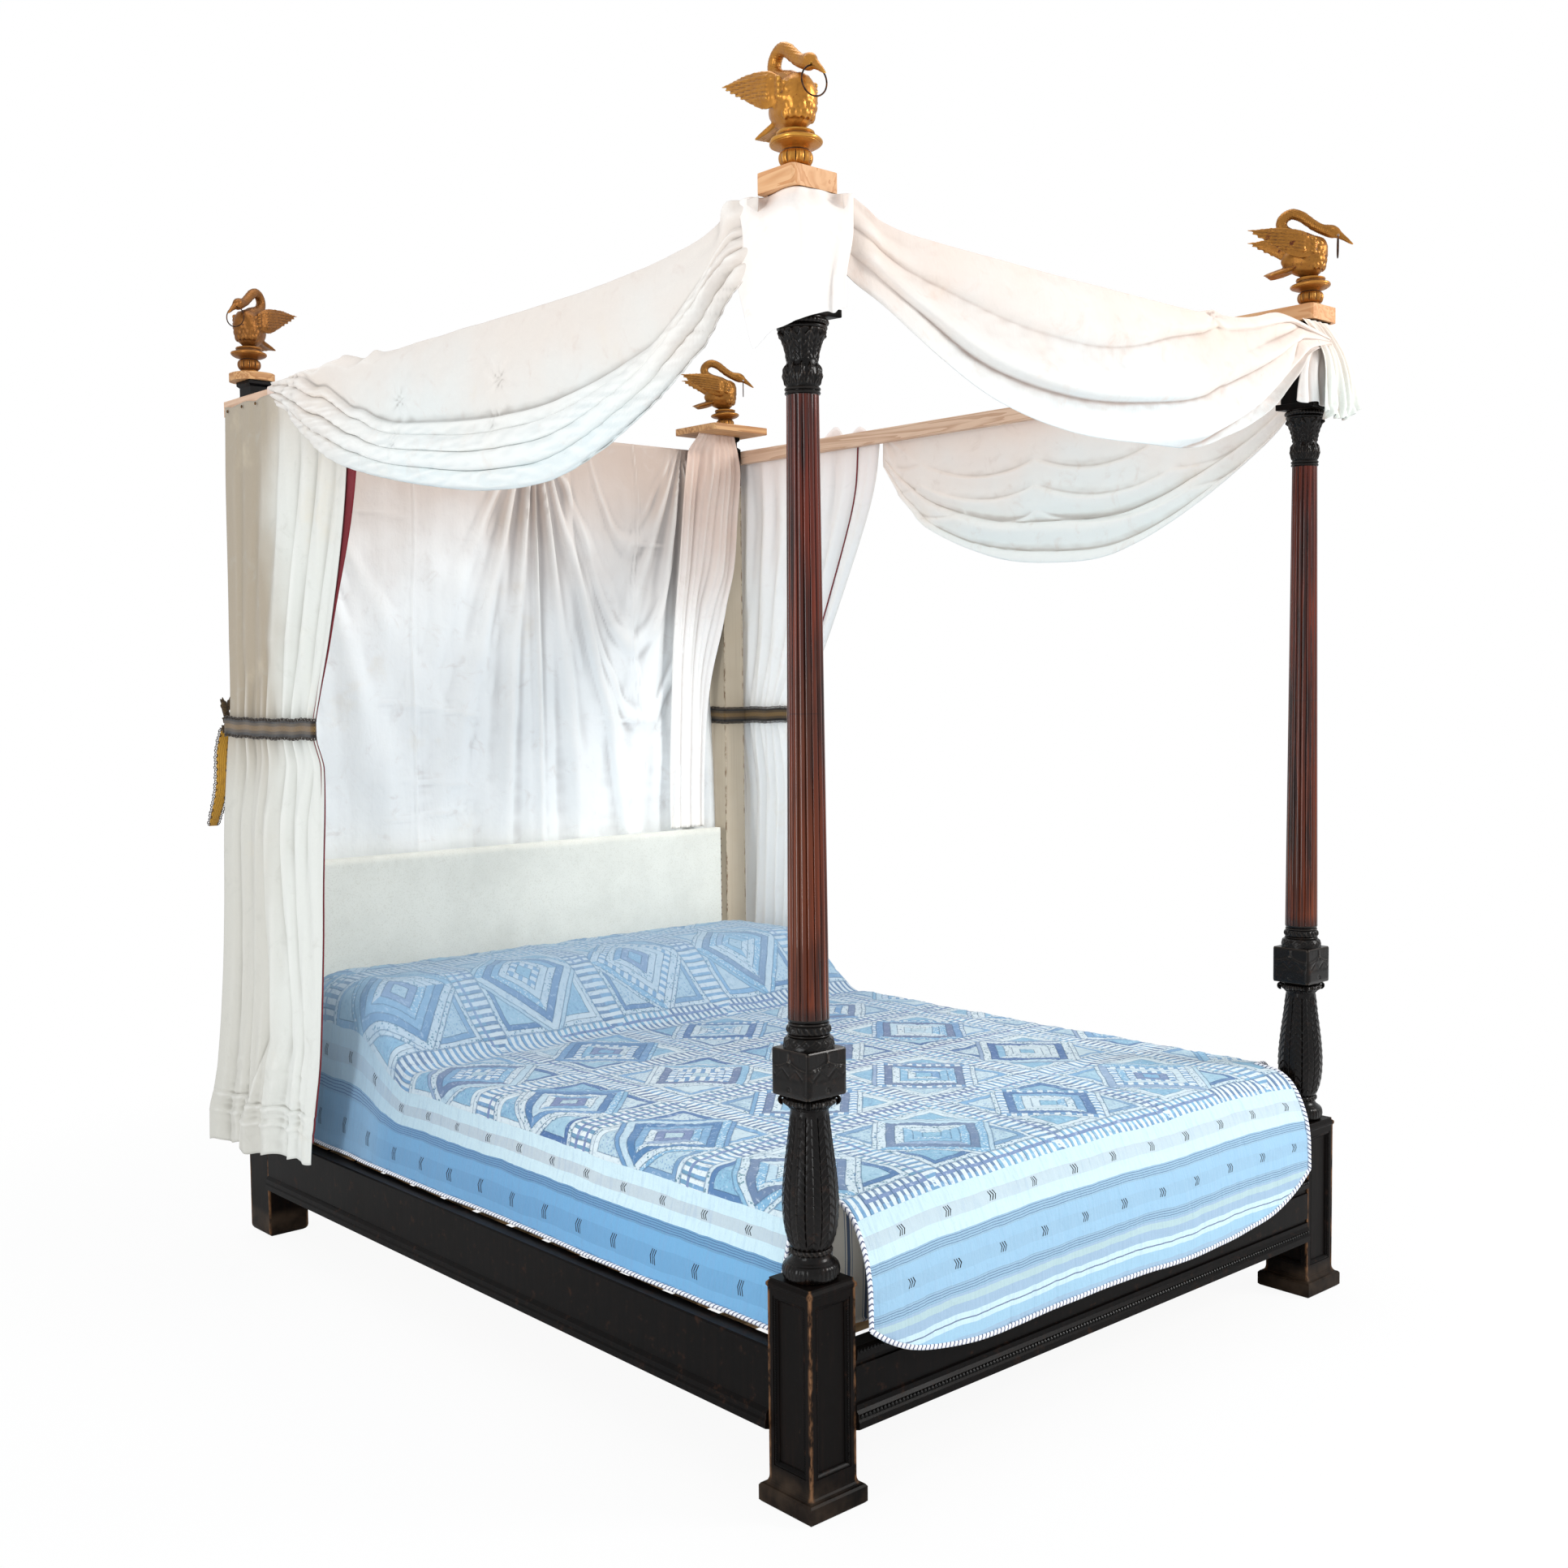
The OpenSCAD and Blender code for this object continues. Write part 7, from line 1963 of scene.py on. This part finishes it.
def swell(made, cap, voxel):
    """Blows a stuffed piece up a little with a cloth simulation, each point moving no further than cap."""
    remesh = made.modifiers.new("even", "REMESH")
    remesh.mode, remesh.voxel_size, remesh.use_smooth_shade = "VOXEL", voxel, True
    even, material = evaluated_mesh(made), list(made.data.materials)
    made.modifiers.clear()
    made.data = even
    made.data.materials.clear()
    for one in material:
        made.data.materials.append(one)
    start = [v.co.copy() for v in made.data.vertices]
    soft = made.modifiers.new("stuffing", "CLOTH")
    soft.settings.use_pressure, soft.settings.uniform_pressure_force = True, 4.0
    soft.settings.effector_weights.gravity = 0
    soft.settings.quality = 4
    soft.collision_settings.use_collision = False
    for frame_number in range(1, 21):
        scene.frame_set(frame_number)
    grown = evaluated_mesh(made)
    made.modifiers.clear()
    for v, was, now in zip(made.data.vertices, start, grown.vertices):
        step = now.co - was
        if step.length > cap:
            step *= cap / step.length
        v.co = was + step
    scene.frame_set(1)
    for face in made.data.polygons:
        face.use_smooth = True


def cushion(half_x, half_y, thick, centre):
    """A stuffed case: crowned, its sides pulled in between pointed corners, with a flat seam all round."""
    bm = bmesh.new()
    bmesh.ops.create_grid(bm, x_segments=64, y_segments=42, size=1)
    grown = bmesh.ops.extrude_face_region(bm, geom=bm.faces[:])
    top = {e for e in grown["geom"] if isinstance(e, bmesh.types.BMVert)}
    for v in bm.verts:
        x, y = v.co.x, v.co.y
        crown = ((1 - abs(x) ** 2.6) * (1 - abs(y) ** 2.6)) ** 0.42 if abs(x) < 1 and abs(y) < 1 else 0.0
        side_x = 1 - 0.055 * (1 - abs(y) ** 2) * abs(x) ** 3
        side_y = 1 - 0.055 * 1.3 * (1 - abs(x) ** 2) * abs(y) ** 3
        rise = thick * (0.60 if v in top else -0.40) * crown
        dent = 0.010 * ripple(x * 1.3, y * 1.3, 0, 0.8, centre.x * 3 + 1) * crown
        v.co = Vector((centre.x + x * half_x * side_x, centre.y + y * half_y * side_y,
                       centre.z + rise + (0.0025 if v in top else -0.0025) + (dent if v in top else 0)))
    bmesh.ops.recalc_face_normals(bm, faces=bm.faces)
    return bm


def pillows():
    half_x = (PILLOW_HIGH.x - PILLOW_X) * 0.955
    for name, side in (("pillow_left", -1), ("pillow_right", 1)):
        thick = (PILLOW_HIGH.z - PILLOW_LOW.z) * 0.86
        centre = Vector((side * PILLOW_X, PILLOW_Y, PILLOW_LOW.z + 0.42 * thick))
        made = piece(name, cushion(half_x, PILLOW_D / 2 * 0.96, thick, centre), STITCHED,
                     stands_for=["pillows"] if side < 0 else (), angle=80)
        swell(made, 0.008, 0.012)


def box_cushion(name, half_x, half_y, low, high, material, stands_for):
    """A boxed pad: rounded upright corners, crowned faces and bulging borders between two taped seams."""
    bm = bmesh.new()
    squared, around = 0.18, 160
    levels = [(0.0, 20), (0.010, 7), (0.028, 3), (0.040, 0), (0.052, 3), (0.12, 2), (0.3, 0), (0.5, -1),
              (0.7, 0), (0.88, 2), (0.948, 3), (0.960, 0), (0.972, 3), (0.99, 7), (1.0, 20)]

    def ring(inset, height, shrink=1.0):
        made = []
        for n in range(around):
            c, s = math.cos(TURN * n / around), math.sin(TURN * n / around)
            made.append(bm.verts.new((math.copysign(abs(c) ** squared, c) * (half_x - inset) * shrink,
                                      math.copysign(abs(s) ** squared, s) * (half_y - inset) * shrink,
                                      height)))
        return made

    rings = [ring(0.020, low, shrink) for shrink in (0.2, 0.4, 0.6, 0.8, 0.93)]
    rings += [ring(inset / 1000, lerp(low, high - 0.003, share)) for share, inset in levels]
    rings += [ring(0.020, lerp(high, high - 0.003, shrink ** 4), shrink)
              for shrink in (0.93, 0.8, 0.6, 0.4, 0.2)]
    skin(bm, rings)
    return piece(name, bm, material, stands_for=stands_for, angle=50)


def headboard():
    """Board padded and covered in plain cloth, drawn over its edges and close-nailed at the sides."""
    low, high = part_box("headboard")
    half, half_z, mid_z = (high.x - low.x) / 2, (high.z - low.z) / 2, (low.z + high.z) / 2
    bm = bmesh.new()
    bmesh.ops.create_grid(bm, x_segments=150, y_segments=80, size=1)
    grown = bmesh.ops.extrude_face_region(bm, geom=bm.faces[:])
    front = {e for e in grown["geom"] if isinstance(e, bmesh.types.BMVert)}
    for v in bm.verts:
        x, z = v.co.x, v.co.y
        from_edge = min((1 - abs(x)) * half, (1 - abs(z)) * half_z)
        if v in front:
            near = clamp(from_edge / 0.016)
            roll = math.sqrt(max(0.0, 1 - (1 - near) ** 2))
            pulls = 0.0011 * math.cos(x * half * 170) * ridge(from_edge - 0.008, 0.03) * (abs(x) < 0.985)
            soft = 0.0016 * ripple(x * half, 3, z * half_z, 0.2, 71) + 0.0007 * ripple(x, 3, z, 0.03, 72)
            y = lerp(low.y + 0.014, low.y + 0.0022, roll) - pulls - soft * near
            y = max(low.y + 0.0002, y)
        else:
            y = high.y - 0.0003
        tuck = 0.0018 * (from_edge <= 0)
        v.co = Vector((x * (half - tuck), y, mid_z + z * (half_z - tuck)))
    bmesh.ops.recalc_face_normals(bm, faces=bm.faces)
    made = piece("headboard_pad", bm, HEAD_CLOTH, stands_for=["headboard"], angle=50)

    nails = bmesh.new()
    first = MATTRESS_TOP + 0.03
    count = int((high.z - 0.02 - first) / 0.0225)
    for side in (-1, 1):
        for k in range(count + 1):
            spot = Vector((side * (half - 0.0005), lerp(low.y, high.y, 0.42), first + k * 0.0225))
            dome = bmesh.ops.create_uvsphere(nails, u_segments=10, v_segments=6, radius=0.0042)["verts"]
            bmesh.ops.scale(nails, verts=dome, vec=(0.5, 1, 1))
            bmesh.ops.translate(nails, verts=dome, vec=spot)
    piece("headboard_nail_heads", nails, OLD_BRASS, stands_for=["headboard_nails"])


STITCHED = cotton("pillow_case", (240, 240, 238), (240, 240, 238), 0.5, 0.8, (214, 214, 218), 0.5, folds=0)
KNOT = thread("knot_braid", (40, 30, 22), (104, 82, 48))
pillows()
box_cushion("mattress_pad", MATTRESS_X - 0.001, MATTRESS_Y - 0.001, MATTRESS_LOW, MATTRESS_TOP,
                      TICKING, ["mattress"])
headboard()


# ---------------------------------------------------------------- tie-backs and tacks

def upright(t):
    return Vector((0, 0, 1))


def ribbon(name, path, width, material, lift):
    """A braid along a path, with its own map in metres; lift(share) says which way its width stands."""
    thick, rows = 0.0020, 6
    bm = bmesh.new()
    uv = bm.loops.layers.uv.new("flat")
    n = len(path)
    runs = [0.0]
    for a, b in zip(path, path[1:]):
        runs.append(runs[-1] + (b - a).length)
    columns = [[bm.verts.new(p + lift(k / (n - 1)) * lerp(-width / 2, width / 2, r / rows))
                for r in range(rows + 1)] for k, p in enumerate(path)]
    for k in range(n - 1):
        for r in range(rows):
            face = bm.faces.new((columns[k][r], columns[k + 1][r], columns[k + 1][r + 1], columns[k][r + 1]))
            for corner, (run, row) in zip(face.loops, ((k, r), (k + 1, r), (k + 1, r + 1), (k, r + 1))):
                corner[uv].uv = (runs[run], width * row / rows)
    made = piece(name, bm, material, angle=60)
    shell = made.modifiers.new("thickness", "SOLIDIFY")
    shell.thickness, shell.offset = thick, 0
    return made, runs[-1]


def picots(path, width, lift):
    """A looping thread along both edges of a braid."""
    step = 0.0092
    bm = bmesh.new()
    whole = sum((b - a).length for a, b in zip(path, path[1:]))
    for end in (-1, 1):
        spots, run = [], 0.0
        for a, b in zip(path, path[1:]):
            pieces = max(1, round((b - a).length * 8 / step))
            rise = lift(run / whole)
            face_on = (b - a).normalized().cross(rise).normalized()
            for k in range(pieces):
                along_path = run + (b - a).length * k / pieces
                turn = TURN * along_path / step
                slip = (b - a).normalized() * 0.0024 * math.sin(2 * turn)
                spots.append(a.lerp(b, k / pieces) + slip + face_on * 0.0008 * math.sin(turn * 0.5)
                             + rise * end * (width / 2 + 0.0022 + 0.0040 * math.cos(turn)
                                           + 0.0010 * math.sin(0.37 * turn + end)))
            run += (b - a).length
        add_shape(bm, tube(spots, 0.0013, 5))
    return bm


def tie_back(side, front_y, name):
    """A braid round the curtain and its post, knotted behind, with one faced end hanging."""
    width = 0.040
    far_in, inner, outer = POST_X - 0.0450, POST_X + 0.0443, 0.8968
    back, post_front = POST_Y + 0.0455, POST_Y - 0.0450
    bend = 0.009

    rounded = [math.radians(lerp(90, 0, k / 7)) for k in range(8)]
    plan = ([(outer - bend + bend * math.cos(a), back - bend + bend * math.sin(a)) for a in rounded]
            + [(outer, front_y + 0.010), (outer - 0.0015, front_y + 0.003)]
            + [(outer - 0.005, front_y), (outer - 0.010, front_y + 0.004), (inner, front_y + 0.13),
               (inner, post_front)]
            + [(far_in, post_front), (far_in, back)])
    plan.append(plan[0])
    fine = []
    for (x0, y0), (x1, y1) in zip(plan, plan[1:]):
        n = max(1, round(math.hypot(x1 - x0, y1 - y0) / 0.006))
        fine += [(lerp(x0, x1, k / n), lerp(y0, y1, k / n)) for k in range(n)]
    fine.append(fine[0])
    path = []
    for x, y in fine:
        z = TIE_Z - 0.0015 - 0.003 * math.sin((y - front_y) * 7) + 0.0012 * math.sin(y * 60)
        path.append(Vector((side * (x + 0.0008 * math.sin(y * 75) * (x > 0.87)), y, z)))
    loop, length = ribbon(f"{name}_braid", path, width, BRAID, upright)
    edging = piece(f"{name}_edging", picots(path, width, upright), PICOT, angle=60)

    knot = bmesh.new()
    centre = Vector((side * 0.8800, 1.1145, TIE_Z + 0.004))
    rolls = [((0.000, 0.0, 0.014), (0.0150, 0.0080, 0.015), 14),
             ((0.003, 0.001, -0.012), (0.0165, 0.0074, 0.013), -16),
             ((-0.004, 0.0025, 0.000), (0.0100, 0.0085, 0.024), 6),
             ((0.007, 0.000, 0.040), (0.0095, 0.0070, 0.030), 16),
             ((-0.003, -0.001, 0.052), (0.0075, 0.0060, 0.022), -22)]
    for offset, size, lean in rolls:
        made = bmesh.ops.create_uvsphere(knot, u_segments=40, v_segments=26, radius=1)["verts"]
        for v in made:
            angle = math.atan2(v.co.z, v.co.x)
            v.co *= 1 + 0.09 * math.cos(9 * angle) + 0.06 * math.cos(v.co.z * 14 + 3 * v.co.y)
        bmesh.ops.scale(knot, verts=made, vec=size)
        bmesh.ops.rotate(knot, verts=made, cent=(0, 0, 0),
                         matrix=Matrix.Rotation(math.radians(side * lean), 3, "Y"))
        bmesh.ops.translate(knot, verts=made, vec=centre + Vector((side * offset[0], offset[1], offset[2])))
    knotted = piece(f"{name}_knot", knot, KNOT, angle=60)

    fall = []
    for k in range(41):
        t = k / 40
        fall.append(Vector((side * (0.8800 + 0.031 * t + 0.004 * math.sin(7 * t)),
                            1.1215 + 0.026 * t + 0.003 * math.sin(8 * t), lerp(TIE_Z - 0.004, 1.098, t))))

    def lift(t):
        return Vector((-side * math.cos(0.5 * math.sin(4 * t)), -0.35 * math.sin(4 * t),
                       -0.14 * math.sin(3 * t)))

    tail, tail_length = ribbon(f"{name}_tail", fall, 0.028, MUSTARD, lift)
    tail_edging = piece(f"{name}_tail_edging", picots(fall, 0.028, lift), PICOT, angle=60)
    return loop


def tacks(spots):
    """Upholstery tacks: (place, outward direction)."""
    bm = bmesh.new()
    for spot, out in spots:
        made = bmesh.ops.create_uvsphere(bm, u_segments=10, v_segments=6, radius=0.0044)["verts"]
        bmesh.ops.scale(bm, verts=made, vec=(1, 1, 0.42))
        turn = Vector(out).to_track_quat("Z", "Y").to_matrix().to_4x4()
        bmesh.ops.transform(bm, verts=made, matrix=Matrix.Translation(spot) @ turn)
    piece("hanging_tacks", bm, OLD_BRASS)


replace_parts(tie_back(-1, 0.5955, "left_tieback"), "tiebacks")
tie_back(1, 0.779, "right_tieback")
TACKS = [((-BATTEN_OUT_X - 0.012, y, z), (-1, 0, 0)) for y, z in
         ((1.070, 2.184), (0.985, 2.186), (0.905, 2.184), (0.800, 2.186))]
TACKS += [((BATTEN_OUT_X + 0.002, y, 2.196), (1, 0, 0)) for y in (1.05, 0.92, 0.80, 0.68, 0.56, 0.30, 0.05,
                                                                  -0.25, -0.6)]
tacks(TACKS)


# ---------------------------------------------------------------- floor and surroundings

def white_surround():
    """A plain pale floor that still keeps the bed's soft shadow."""
    f = Finish("pale_floor")
    path = f.tree.nodes.new("ShaderNodeLightPath")
    seen = f.most(Value(f, path.outputs["Is Camera Ray"]), Value(f, path.outputs["Is Transmission Ray"]))
    x, y, _ = f.split(f.place())
    far = f.smooth(x * x + y * y, 3.0, 9.0)
    plain = f.node("BsdfDiffuse", {}, {"Color": (0.86, 0.86, 0.86, 1)}, "BSDF")
    glow = f.node("Emission", {}, {"Color": (1, 1, 1, 1), "Strength": 1.0}, "Emission")
    both = f.node("MixShader", {}, [seen * (0.93 + 0.07 * far), plain, glow], "Shader")
    f.node("OutputMaterial", {}, {"Surface": both})
    bm = bmesh.new()
    bmesh.ops.create_grid(bm, x_segments=2, y_segments=2, size=30)
    floor = thing("floor", bm)
    floor.location.z = -0.0005
    floor.data.materials.append(f.material)

    world = bpy.data.worlds.new("room")
    world.use_nodes = True
    scene.world = world
    tree = world.node_tree
    tree.nodes.clear()
    path = tree.nodes.new("ShaderNodeLightPath")
    most = tree.nodes.new("ShaderNodeMath")
    most.operation = "MAXIMUM"
    tree.links.new(path.outputs["Is Camera Ray"], most.inputs[0])
    tree.links.new(path.outputs["Is Transmission Ray"], most.inputs[1])
    room = tree.nodes.new("ShaderNodeBackground")
    room.inputs["Color"].default_value = (0.97, 0.985, 1, 1)
    room.inputs["Strength"].default_value = 0.78
    white = tree.nodes.new("ShaderNodeBackground")
    white.inputs["Color"].default_value = (1, 1, 1, 1)
    white.inputs["Strength"].default_value = 1.0
    mixed = tree.nodes.new("ShaderNodeMixShader")
    out = tree.nodes.new("ShaderNodeOutputWorld")
    tree.links.new(most.outputs[0], mixed.inputs[0])
    tree.links.new(room.outputs[0], mixed.inputs[1])
    tree.links.new(white.outputs[0], mixed.inputs[2])
    tree.links.new(mixed.outputs[0], out.inputs["Surface"])


white_surround()
